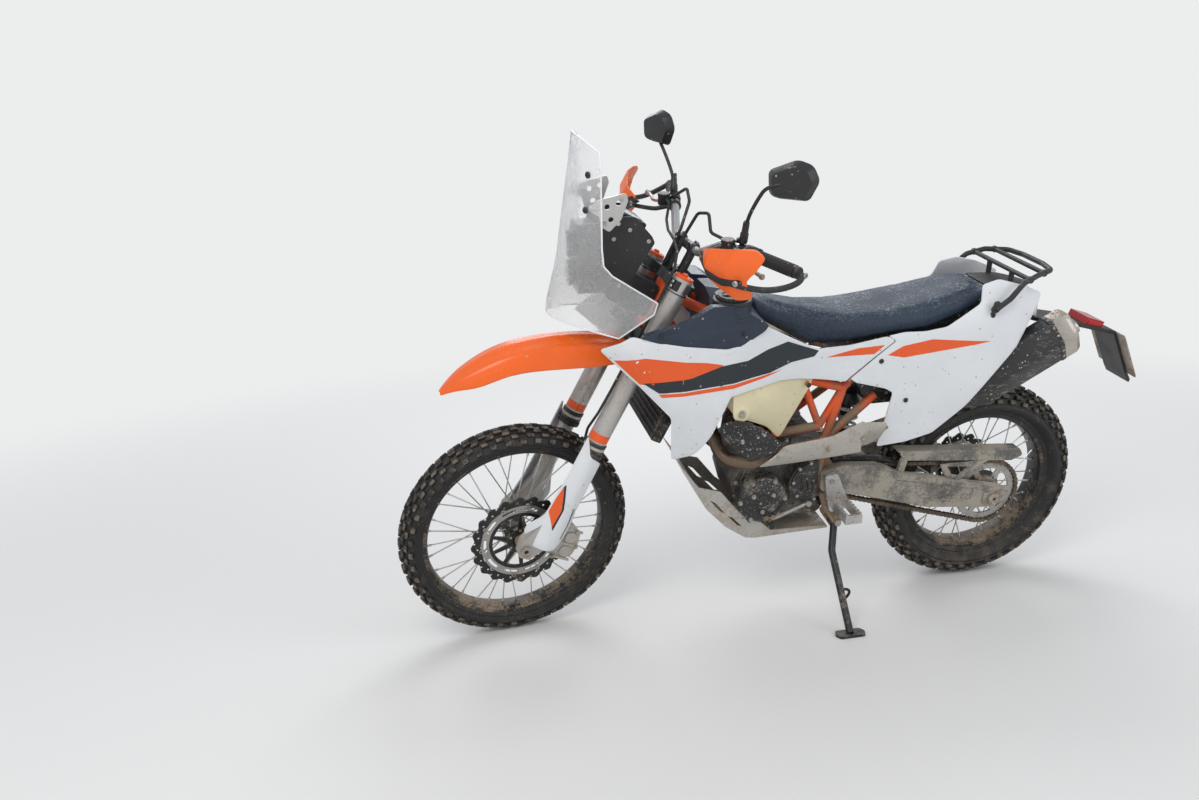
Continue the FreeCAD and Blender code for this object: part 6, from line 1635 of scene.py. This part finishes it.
def silencer():
    """The faceted can with its front cone, riveted bands, end cap and outlet."""
    length = (CAN_END - CAN_FRONT).length
    body = skin("can", [can_row(a, s) for a, s in ((-4, 0.36), (10, 0.40), (56, 0.74), (112, 1.0),
        (length - 58, 1.0))], True, True)
    settle(beveled(body, 9.0, 4, 16), "chassis", "silencer_black", replaces=("silencer",), smooth=40)
    bands = [skin("band", [can_row(a, 1.0, g) for a, g in ((s, 0.2), (s + 1, 1.8), (s + w - 1, 1.8), (s + w, 0.2))],
        True, True) for s, w in ((112, 14), (length - 70, 16))]
    settle(joined("silencer_bands", [beveled(b, 8.0, 3, 16) for b in bands]), "chassis", "silencer_black")
    cap = skin("cap", [can_row(a, s, g) for a, s, g in ((length - 58, 1.0, 1.2), (length - 16, 1.0, 1.2),
        (length - 4, 0.92, 0), (length, 0.84, 0))], True, True)
    settle(beveled(cap, 8.0, 4, 16), "chassis", "cap_steel", replaces=("silencer_cap",), smooth=40)
    pipe = turned("outlet", [(21, 0), (24, 0), (24, 26), (23, 28), (21, 27)], CAN_END - CAN_RUN * 14, CAN_RUN, 40)
    settle(pipe, "chassis", "cap_steel", replaces=("silencer_cap",))
    places = []
    for start in (119, length - 62):
        row = can_row(start, 1.0, 1.6)
        for a, b in zip(row, row[1:] + row[:1]):
            out = (a + b) / 2 - (CAN_FRONT + CAN_RUN * start)
            flat = (b - a).cross(CAN_RUN)
            flat = flat if flat.dot(out) > 0 else -flat
            if (b - a).length > 20:
                places += [(a + (b - a) * share, flat) for share in (0.3, 0.7)]
    rivet = turned("rivet", [(0, 0), (4, 0), (3.6, 1.2), (2, 2), (0, 2.2)], (0, 0, 0), Z, 12)
    settle(bolts("silencer_rivets", rivet, places), "chassis", "axle_steel")
    places = [((CAN_END + CAN_RUN * 0.4 + CAN_UP * h + Y * w), CAN_RUN) for h, w in ((44, 0), (-44, 0), (0, 30),
        (0, -30))]
    settle(bolts("silencer_cap_bolts", socket_bolt(4.5, 3), places), "chassis", "axle_steel")
    hanger = [bar("hanger", (1448, -86, 792), (1440, -60, 840), 9, 1.5, 24), side_plate("tab",
        [(1428, 782), (1470, 802), (1462, 824), (1424, 808)], -96, -88, 5.0, 1.0)]
    settle(joined("silencer_hanger", hanger), "chassis", "black_cover", replaces=("silencer",))


IGNITION = (731, 425)
CLUTCH = (800, 440)


def round_places(centre, radius, count, y, first=0.0):
    along = LEFT if y < 0 else Y
    return [((centre[0] + radius * math.cos(first + i * 2 * math.pi / count), y, centre[1]
        + radius * math.sin(first + i * 2 * math.pi / count)), along) for i in range(count)]


def engine():
    """Rings, plugs, bolts and ribs on the engine, and the left sprocket cover."""
    x, z = IGNITION
    face = [turned("face", [(0, 0), (74, 0), (74, 4), (68, 9), (60, 11), (55, 11), (54, 13), (50, 15), (22, 16),
        (20, 14), (18, 14), (17, 17), (0, 17)], (x, -128, z), LEFT, 72)]
    boss = turned("boss", [(0, 0), (11, 0), (10.4, 12), (9, 13), (0, 13)], (x + 70, -126, z), LEFT, 24)
    face += around(boss, Vector((x, 0, z)), 6)
    settle(joined("ignition_cover", face), "chassis", "black_cover", smooth=35)
    places = round_places(IGNITION, 70, 6, -138.6) + round_places(IGNITION, 36, 3, -143, 0.5)
    sprocket = [(828, 470), (846, 514), (880, 530), (898, 408), (842, 424)]
    places += [((a, -128, b), LEFT) for a, b in sprocket]
    case = [(660, 470), (674, 402), (722, 358), (800, 350), (900, 350), (700, 578), (812, 596), (760, 590)]
    places += [((a, -92, b), LEFT) for a, b in case]
    places += round_places(CLUTCH, 80, 8, 130.5) + round_places(CLUTCH, 48, 4, 137.5, 0.4)
    places += [((a, 92, b), Y) for a, b in case if a < 710]
    places += [((a, s * 84, b), Vector((0, s, 0))) for a, b in ((700, 712), (824, 716), (698, 766), (820, 772))
        for s in (-1, 1)]
    settle(bolts("engine_bolts", hex_bolt(5.5, 6), places), "chassis", "axle_steel")
    ribs = []
    for a, b in (((668, 455), (700, 560)), ((690, 395), (662, 470)), ((800, 350), (800, 372)),
            ((850, 346), (850, 378)), ((900, 344), (900, 380)), ((790, 520), (780, 596)), ((750, 512), (738, 588)),
            ((820, 512), (826, 600))):
        run = Vector((b[0] - a[0], 0, b[1] - a[1]))
        across = run.cross(Y).normalized() * 3
        corners = [Vector((a[0], -90, a[1])) + across, Vector((b[0], -90, b[1])) + across,
            Vector((b[0], -90, b[1])) - across, Vector((a[0], -90, a[1])) - across]
        ribs.append(plate("rib", corners, Vector((0, -8, 0)), 0.0, 1.2))
    settle(both_sides("engine_ribs", joined("ribs", ribs)), "chassis", "engine_metal")
    cover = side_plate("sprocket_cover", [(819, 470), (839, 514), (880, 536), (905, 524), (905, 404), (880, 392),
        (829, 424)], -134, -127, 12.0, 3.0)
    slots = [side_plate("slot", [(a, b), (a + 9, b + 2), (a + 3, b + 44), (a - 6, b + 42)], -140, -120, 3.0) for a,
        b in ((850, 440), (868, 436), (886, 434))]
    cut_by(cover, *slots)
    settle(cover, "chassis", "black_cover")
    plugs = [turned("plug", [(0, 0), (15, 0), (15, 5), (13, 7), (9, 7), (9, 5), (0, 5)], (700, -92, 530), LEFT, 32),
        turned("filler", [(0, 0), (17, 0), (17, 8), (15, 11), (0, 11)], (860, -92, 560), LEFT, 12)]
    settle(joined("engine_plugs", plugs), "chassis", "clamp_alloy")
    hose = tube("breather", [(708, -50, 834), (690, -70, 850), (704, -92, 800), (716, -100, 720), (760, -104, 640),
        (800, -98, 600)], 7.0, steps=12)
    settle(hose, "chassis", "hose_rubber", smooth=60)
    cap = turned("plug_cap", [(0, 0), (12, 0), (13, 3), (12, 26), (8, 30), (0, 30)], (760, -84, 740), (0, -1, 0.3), 24)
    settle(cap, "chassis", "hose_rubber")
    pump = turned("pump", [(0, 0), (30, 0), (31, 2), (31, 12), (26, 18), (12, 22), (0, 22)], (690, 118, 520), Y, 40)
    settle(pump, "chassis", "black_cover")
    x, z = CLUTCH
    ring = turned("clutch_face", [(0, 0), (62, 0), (62, 3), (56, 7), (20, 8), (18, 6), (0, 6)], (x, 137, z), Y, 64)
    settle(ring, "chassis", "black_cover")


# Rear of the chassis

SPROCKET_AT = (905.0, 458.0)


def chain_path():
    """The chain's pitch line as corners close together."""
    big, small = 107.0, 40.0
    base = math.atan2(REAR_CENTRE.z - SPROCKET_AT[1], REAR_CENTRE.x - SPROCKET_AT[0])
    reach = math.hypot(REAR_CENTRE.z - SPROCKET_AT[1], REAR_CENTRE.x - SPROCKET_AT[0])
    spread = math.acos((big - small) / reach)
    corners = []
    for i in range(41):
        turn = base + math.pi - spread + 2 * spread * i / 40
        corners.append(Vector((SPROCKET_AT[0] + small * math.cos(turn), -90, SPROCKET_AT[1] + small * math.sin(turn))))
    for i in range(101):
        turn = base - (math.pi - spread) + (2 * math.pi - 2 * spread) * i / 100
        corners.append(Vector((REAR_CENTRE.x + big * math.cos(turn), -90, REAR_CENTRE.z + big * math.sin(turn))))
    return corners


def chain(sizes):
    """The drive chain: links with waisted plates, and its rollers."""
    path = chain_path()
    gaps = [(b - a).length for a, b in zip(path, path[1:] + path[:1])]
    count = round(sum(gaps) * MM / sizes.chain_pitch / 2) * 2
    pitch = sum(gaps) / count
    pins, i, gone = [], 0, 0.0
    for k in range(count):
        while gone + gaps[i] < k * pitch:
            gone += gaps[i]
            i += 1
        share = (k * pitch - gone) / gaps[i]
        pins.append(path[i].lerp(path[(i + 1) % len(path)], share))
    half = pitch / 2
    outline = []
    for side in (1, -1):
        for turn in (-70, -25, 25, 70):
            a = math.radians(turn)
            outline.append((side * (half + 7 * math.cos(a)), side * 7 * math.sin(a)))
        outline.append((0, side * 5.2))
    links = []
    for k, (a, b) in enumerate(zip(pins, pins[1:] + pins[:1])):
        run = (b - a).normalized()
        turn = Matrix((run, Y, run.cross(Y))).transposed().to_4x4()
        turn.translation = (a + b) / 2
        out = 7.9 if k % 2 else 5.9
        for side in (-1, 1):
            link = plate("link", [Vector((u, side * out - 0.9, v)) for u, v in outline], Vector((0, 1.8, 0)))
            links.append(laid(link, turn))
        links += [pin(12, 5, 10.4, a), pin(8, 2.4, 19.0, a)]
    settle(joined("chain_links", links), "chassis", "chain_steel", replaces=("chain",), smooth=30)
    places = round_places((REAR_CENTRE.x, REAR_CENTRE.z), 54, 6, -93.2)
    settle(bolts("sprocket_bolts", hex_bolt(6, 5), places), "rear_wheel", "axle_steel")


def swingarm_parts(sizes):
    """Axle blocks, adjusters, axle nuts and the bolts of the swingarm and the pegs."""
    x, z = REAR_CENTRE.x, REAR_CENTRE.z
    block = side_plate("block", [(x - 34, z - 20), (x + 40, z - 18), (x + 46, z + 4), (x + 38, z + 22),
        (x - 34, z + 20)], -141, -135, 6.0, 1.6)
    marks = [side_plate("mark", [(x - 26 + i * 8, z + 12), (x - 24.6 + i * 8, z + 12), (x - 24.6 + i * 8, z + 19),
        (x - 26 + i * 8, z + 19)], -142, -136) for i in range(7)]
    cut_by(block, joined("marks", marks))
    settle(both_sides("axle_blocks", block), "chassis", "axle_steel")
    screw = bar("adjuster", (x + 44, -121, z), (x + 66, -121, z), 5, 0.8, 16)
    nut = turned("nut", [(5, 0), (9.5, 0), (9.5, 7), (5, 7)], (x + 50, -121, z), (1, 0, 0), 6)
    settle(both_sides("adjusters", joined("adjuster", [screw, nut])), "chassis", "axle_steel")
    nut = turned("axle_nut", [(6.2, 0), (21, 0), (21, 2), (18, 3), (18, 13), (16.5, 14.4), (6.2, 14.4)], (x, -136, z),
        LEFT, 6)
    settle(both_sides("axle_nuts", nut), "chassis", "axle_steel", smooth=20)
    pivot = [turned("pivot", [(0, 0), (17, 0), (17, 4), (15, 6), (0, 6)], (942, -138, 469), LEFT, 6)]
    settle(both_sides("pivot_nuts", joined("pivot", pivot)), "chassis", "axle_steel", smooth=20)
    places = [((a, -160, b), LEFT) for a, b in ((938, 475), (934, 420), (966, 392))]
    settle(both_sides("peg_bolts", bolts("bolts", hex_bolt(7, 5), places)), "chassis", "axle_steel")
    rubber = bar("gear_tip", (742, -164, 368), (742, -200, 368), 10.5, 2.0, 24)
    settle(rubber, "chassis", "hose_rubber")
    slider = side_plate("slider", [(960, 522), (1120, 506), (1180, 486), (1180, 480), (1116, 498), (960, 514)], -104,
        -76, 2.0, 1.0)
    settle(slider, "chassis", "hose_rubber")
    spring, top, low = [], Vector((1039, 0, 666)), Vector((1032, 0, 470))
    axis = (low - top).normalized()
    side = axis.cross(Y).normalized()
    turns, steps = sizes.spring_turns, 22
    for i in range(turns * steps + 1):
        angle = 2 * math.pi * i / steps
        out = side * math.cos(angle) + Y * math.sin(angle)
        centre = top + (low - top) * (i / (turns * steps)) + out * 36
        spring.append([centre + (out * math.cos(a) + axis * math.sin(a)) * sizes.spring_wire / MM
            for a in [2 * math.pi * k / 10 for k in range(10)]])
    settle(skin("shock_spring", spring, True, True), "chassis", "spring_steel", replaces=("shock",), smooth=60)
    body = [turned("body", [(0, 0), (22, 0), (30, 4), (42, 30), (42, 36), (20, 38), (17, 40), (17, 150), (22, 152),
        (22, 220), (42, 222), (42, 230), (26, 236), (20, 270), (0, 270)], (1040, 0, 700), low - top, 40)]
    settle(joined("shock_body", body), "chassis", "clamp_alloy", replaces=("shock",))


def tail():
    """Lamp lens, plate rim and screws, rack knobs and the tail's dark insert."""
    (x0, z0), (x1, z1) = (1900, 836), (1972, 690)
    run = Vector((x1 - x0, 0, z1 - z0))
    out = Vector((-run.z, 0, run.x)).normalized()
    top = Vector((x0, 0, z0)) + run * 0.04 + out * 3.0
    corners = [top + Y * y + run * s for y, s in ((-90, 0), (90, 0), (90, 0.98), (-90, 0.98))]
    rim = plate("plate_rim", corners, out * 1.6, 8.0)
    inner = plate("inner", [top + Y * y + run * s - out * 2 for y, s in ((-84, 0.04), (84, 0.04), (84, 0.94),
        (-84, 0.94))], out * 8, 6.0)
    cut_by(rim, inner)
    settle(rim, "chassis", "plate_blank")
    places = [(top + Y * y + run * s, out) for y, s in ((-60, 0.12), (60, 0.12), (-60, 0.86), (60, 0.86))]
    settle(bolts("plate_screws", socket_bolt(5, 3), places), "chassis", "axle_steel")
    lens = side_plate("lamp_lens", [(1796, 861), (1850, 846), (1858, 862), (1804, 878)], -48, 48, 4.0, 3.0)
    settle(lens, "chassis", "lamp_lens")
    knobs = []
    for x, y, z in ((1500, 152, 1061), (1556, 130, 1071)):
        knobs.append(bar("knob", (x, -y - 8, z), (x, -y + 6, z), 10, 2.0, 24))
    settle(both_sides("rack_knobs", joined("knobs", knobs)), "chassis", "black_plastic")
    insert = [(1418, 60), (1520, 54), (1572, 34), (1590, 0)]
    pad = plate("tail_insert", [Vector((x, s * y, 1021 - max(0, x - 1500) * 0.2)) for s,
        row in ((-1, insert), (1, insert[::-1][1:])) for x, y in row], Z * 5, 8.0, 1.6)
    settle(pad, "chassis", "black_plastic")
    strap = side_plate("strap", [(1382, 975), (1404, 978), (1403, 1010), (1388, 1008)], -174, -164, 5.0, 2.0)
    settle(both_sides("rack_feet", strap), "chassis", "black_plastic")


def stand_parts():
    """The stand's hook, its spring and its pivot bolt."""
    hook = tube("stand_hook", [(944, -262, 158), (962, -262, 160), (980, -262, 152), (978, -262, 134),
        (966, -262, 124)], 4.5, steps=10)
    settle(hook, "side_stand", "stand_black", smooth=60)
    bolt = turned("stand_bolt", [(0, 0), (11, 0), (12, 1), (12, 7), (10, 9), (0, 9)], (968, -160, 332), LEFT, 6)
    settle(bolt, "chassis", "axle_steel", smooth=20)


# The add-on

def paint(name, description, default):
    return FloatVectorProperty(name=name, description=description, default=default, subtype="COLOR", size=3, min=0.0,
        max=1.0)


def length(name, description, default):
    return FloatProperty(name=name, description=description, default=default, min=0.0, unit="LENGTH", precision=4)


def number(name, description, default):
    return IntProperty(name=name, description=description, default=default, min=1)


class MotorcycleColours(bpy.types.PropertyGroup):
    """Paints and plastics, and how dirty they are"""
    dirt: FloatProperty(name="Dirt", description="How much mud and dust lies on every finish", default=1.0, min=0.0,
        max=2.0, subtype="FACTOR")
    orange_frame: paint("Frame", "Paint of the tube frame", (0.78, 0.095, 0.014))
    orange_plastic: paint("Fender and hand shields", "Moulded colour of the front fender and the hand shields",
        (0.90, 0.135, 0.012))
    white_plastic: paint("Side panels", "Moulded colour of the shrouds, the rear panels and the fork guards",
        (0.72, 0.735, 0.75))
    navy_plastic: paint("Tank wings", "Moulded colour of the tank's wings and neck", (0.018, 0.032, 0.056))
    tank_plastic: paint("Lower tank", "Translucent plastic of the lower tank", (0.74, 0.66, 0.43))
    black_plastic: paint("Black plastic", "Moulded trim, guards and carriers", (0.022, 0.022, 0.023))
    flash_orange: paint("Bright stripes", "Stripes on the side panels and the fork guards", (0.80, 0.10, 0.012))
    flash_dark: paint("Dark stripes", "Dark stripes beside the bright ones", (0.012, 0.020, 0.026))
    fork_alloy: paint("Fork legs", "Anodised legs, caliper and axle clamps", (0.50, 0.48, 0.45))
    rim_black: paint("Wheel hoops", "Paint of both wheel hoops", (0.022, 0.021, 0.021))
    lamp_lens: paint("Tail lamp", "Lens of the tail lamp", (0.42, 0.012, 0.012))
    tyre_rubber: paint("Tyres", "Rubber of both tyres", (0.017, 0.0165, 0.016))
    seat_cover: paint("Seat", "Cover of the seat", (0.014, 0.026, 0.047))
    silencer_black: paint("Silencer", "Coating of the silencer's can", (0.022, 0.021, 0.021))
    exhaust_steel: paint("Exhaust pipe", "Heat-browned steel of the exhaust pipe", (0.22, 0.155, 0.11))


class MotorcycleSizes(bpy.types.PropertyGroup):
    """Sizes of the trim that is only modelled here"""
    front_tread: length("Front tread", "Height of the front tyre's lugs", 0.010)
    rear_tread: length("Rear tread", "Height of the rear tyre's lugs", 0.012)
    front_pitches: number("Front pitches", "How often the front tread repeats round the tyre", 46)
    rear_pitches: number("Rear pitches", "How often the rear tread repeats round the tyre", 40)
    spoke: length("Spoke radius", "Radius of the spokes", 0.0019)
    front_waves: number("Front disc waves", "Scallops round the front brake disc", 20)
    rear_waves: number("Rear disc waves", "Scallops round the rear brake disc", 16)
    panel: length("Panel thickness", "Wall of the side panels", 0.004)
    fender: length("Fender thickness", "Wall of the front fender", 0.0034)
    screen: length("Windshield thickness", "Thickness of the clear sheet", 0.0036)
    seat_swell: length("Seat swell", "How far the seat's cover may swell over its foam", 0.006)
    lever: length("Lever radius", "Radius of the hand levers", 0.0052)
    mirror_stem: length("Mirror stem radius", "Radius of the mirrors' stems", 0.005)
    chain_pitch: length("Chain pitch", "Distance between the chain's pins", 0.015875)
    spring_wire: length("Spring wire radius", "Radius of the shock spring's wire", 0.0054)
    spring_turns: number("Spring turns", "Coils of the shock's spring", 7)


class MOTORCYCLE_OT_stage(bpy.types.Operator):
    """Adds the pale floor, the soft lamps, the surroundings and the camera"""
    bl_idname = "motorcycle.stage"
    bl_label = "Stage"

    def execute(self, context):
        make_stage()
        return {"FINISHED"}


class MOTORCYCLE_OT_finishes(bpy.types.Operator):
    """Builds the materials from the colours"""
    bl_idname = "motorcycle.finishes"
    bl_label = "Finishes"

    def execute(self, context):
        finishes(context.scene.motorcycle_colours)
        return {"FINISHED"}


class MOTORCYCLE_OT_cad_nodes(bpy.types.Operator):
    """Gives every CAD node the finish of its slot"""
    bl_idname = "motorcycle.cad_nodes"
    bl_label = "CAD nodes"

    def execute(self, context):
        dress_cad()
        return {"FINISHED"}


class MOTORCYCLE_OT_wheels(bpy.types.Operator):
    """Adds the tyres with their lugs, the hoops, spokes, hubs and brake discs"""
    bl_idname = "motorcycle.wheels"
    bl_label = "Wheels"

    def execute(self, context):
        wheels(context.scene.motorcycle_sizes)
        return {"FINISHED"}


class MOTORCYCLE_OT_panels(bpy.types.Operator):
    """Adds the shrouds, the rear panels and their stripes"""
    bl_idname = "motorcycle.panels"
    bl_label = "Side panels"

    def execute(self, context):
        panels(context.scene.motorcycle_sizes)
        return {"FINISHED"}


class MOTORCYCLE_OT_tank(bpy.types.Operator):
    """Adds the lower tank's lobes and guards, the wings, the filler's neck and cap"""
    bl_idname = "motorcycle.tank"
    bl_label = "Tank"

    def execute(self, context):
        tank()
        return {"FINISHED"}


class MOTORCYCLE_OT_fender(bpy.types.Operator):
    """Adds the front fender and its seat under the lower clamp"""
    bl_idname = "motorcycle.fender"
    bl_label = "Front fender"

    def execute(self, context):
        fender(context.scene.motorcycle_sizes)
        return {"FINISHED"}


class MOTORCYCLE_OT_windshield(bpy.types.Operator):
    """Adds the clear sheet, its cut edge and its knobs"""
    bl_idname = "motorcycle.windshield"
    bl_label = "Windshield"

    def execute(self, context):
        windshield(context.scene.motorcycle_sizes)
        return {"FINISHED"}


class MOTORCYCLE_OT_seat(bpy.types.Operator):
    """Adds the padded seat and blows it up as cloth"""
    bl_idname = "motorcycle.seat"
    bl_label = "Seat"

    def execute(self, context):
        seat(context.scene.motorcycle_sizes)
        return {"FINISHED"}


class MOTORCYCLE_OT_fork(bpy.types.Operator):
    """Adds the fork's guards, wipers, bands, caps and bolts"""
    bl_idname = "motorcycle.fork"
    bl_label = "Fork trim"

    def execute(self, context):
        fork_parts()
        return {"FINISHED"}


class MOTORCYCLE_OT_caliper(bpy.types.Operator):
    """Adds the front caliper's housing, pistons and bolts"""
    bl_idname = "motorcycle.caliper"
    bl_label = "Front caliper"

    def execute(self, context):
        caliper()
        return {"FINISHED"}


class MOTORCYCLE_OT_controls(bpy.types.Operator):
    """Adds the grips, perches, levers, reservoirs and clamps"""
    bl_idname = "motorcycle.controls"
    bl_label = "Hand controls"

    def execute(self, context):
        controls(context.scene.motorcycle_sizes)
        return {"FINISHED"}


class MOTORCYCLE_OT_hand_shields(bpy.types.Operator):
    """Adds the hand shields, their inserts, arms and bows"""
    bl_idname = "motorcycle.hand_shields"
    bl_label = "Hand shields"

    def execute(self, context):
        hand_shields()
        return {"FINISHED"}


class MOTORCYCLE_OT_mirrors(bpy.types.Operator):
    """Adds both mirrors with their stems and boots"""
    bl_idname = "motorcycle.mirrors"
    bl_label = "Mirrors"

    def execute(self, context):
        mirrors(context.scene.motorcycle_sizes)
        return {"FINISHED"}


class MOTORCYCLE_OT_lamps(bpy.types.Operator):
    """Adds the lamps' bowls and glasses, the instrument's face and the tower's bolts"""
    bl_idname = "motorcycle.lamps"
    bl_label = "Lamps"

    def execute(self, context):
        lamps()
        return {"FINISHED"}


class MOTORCYCLE_OT_panel_bolts(bpy.types.Operator):
    """Adds the screws of the panels and the wings"""
    bl_idname = "motorcycle.panel_bolts"
    bl_label = "Panel screws"

    def execute(self, context):
        panel_bolts()
        return {"FINISHED"}


class MOTORCYCLE_OT_exhaust(bpy.types.Operator):
    """Adds the heat shield and the exhaust's clamps"""
    bl_idname = "motorcycle.exhaust"
    bl_label = "Heat shield"

    def execute(self, context):
        exhaust()
        return {"FINISHED"}


class MOTORCYCLE_OT_silencer(bpy.types.Operator):
    """Adds the silencer's can, bands, rivets, end cap and hanger"""
    bl_idname = "motorcycle.silencer"
    bl_label = "Silencer"

    def execute(self, context):
        silencer()
        return {"FINISHED"}


class MOTORCYCLE_OT_engine(bpy.types.Operator):
    """Adds the engine's covers, ribs, plugs, bolts and breather"""
    bl_idname = "motorcycle.engine"
    bl_label = "Engine trim"

    def execute(self, context):
        engine()
        return {"FINISHED"}


class MOTORCYCLE_OT_chain(bpy.types.Operator):
    """Adds the chain's links and the sprocket's bolts"""
    bl_idname = "motorcycle.chain"
    bl_label = "Chain"

    def execute(self, context):
        chain(context.scene.motorcycle_sizes)
        return {"FINISHED"}


class MOTORCYCLE_OT_rear_axle(bpy.types.Operator):
    """Adds the axle blocks, adjusters, nuts, chain slider and shock"""
    bl_idname = "motorcycle.rear_axle"
    bl_label = "Swingarm trim"

    def execute(self, context):
        swingarm_parts(context.scene.motorcycle_sizes)
        return {"FINISHED"}


class MOTORCYCLE_OT_tail(bpy.types.Operator):
    """Adds the tail lamp's lens, the plate's rim and the rack's fixings"""
    bl_idname = "motorcycle.tail"
    bl_label = "Tail"

    def execute(self, context):
        tail()
        return {"FINISHED"}


class MOTORCYCLE_OT_stand(bpy.types.Operator):
    """Adds the side stand's hook and pivot bolt"""
    bl_idname = "motorcycle.stand"
    bl_label = "Side stand trim"

    def execute(self, context):
        stand_parts()
        return {"FINISHED"}


# In the order in which they run
STEPS = [MOTORCYCLE_OT_stage, MOTORCYCLE_OT_finishes, MOTORCYCLE_OT_cad_nodes, MOTORCYCLE_OT_wheels,
         MOTORCYCLE_OT_panels, MOTORCYCLE_OT_tank, MOTORCYCLE_OT_fender, MOTORCYCLE_OT_windshield,
         MOTORCYCLE_OT_seat, MOTORCYCLE_OT_fork, MOTORCYCLE_OT_caliper, MOTORCYCLE_OT_controls,
         MOTORCYCLE_OT_hand_shields, MOTORCYCLE_OT_mirrors, MOTORCYCLE_OT_lamps, MOTORCYCLE_OT_panel_bolts,
         MOTORCYCLE_OT_exhaust, MOTORCYCLE_OT_silencer, MOTORCYCLE_OT_engine, MOTORCYCLE_OT_chain,
         MOTORCYCLE_OT_rear_axle, MOTORCYCLE_OT_tail, MOTORCYCLE_OT_stand]


class MOTORCYCLE_PT_steps(bpy.types.Panel):
    """The motorcycle's steps, sizes and colours"""
    bl_label = "Motorcycle"
    bl_space_type = "VIEW_3D"
    bl_region_type = "UI"
    bl_category = "Motorcycle"

    def draw(self, context):
        for step in STEPS:
            self.layout.operator(step.bl_idname)
        for values in (context.scene.motorcycle_sizes, context.scene.motorcycle_colours):
            box = self.layout.box()
            for name in type(values).__annotations__:
                box.prop(values, name)


CLASSES = [MotorcycleColours, MotorcycleSizes, *STEPS, MOTORCYCLE_PT_steps]


def register():
    for entry in CLASSES:
        bpy.utils.register_class(entry)
    bpy.types.Scene.motorcycle_sizes = PointerProperty(type=MotorcycleSizes)
    bpy.types.Scene.motorcycle_colours = PointerProperty(type=MotorcycleColours)


def unregister():
    del bpy.types.Scene.motorcycle_colours
    del bpy.types.Scene.motorcycle_sizes
    for entry in reversed(CLASSES):
        bpy.utils.unregister_class(entry)


def main():
    register()
    for step in STEPS:
        getattr(bpy.ops.motorcycle, step.bl_idname.split(".")[1])()


if __name__ == "__main__":
    main()
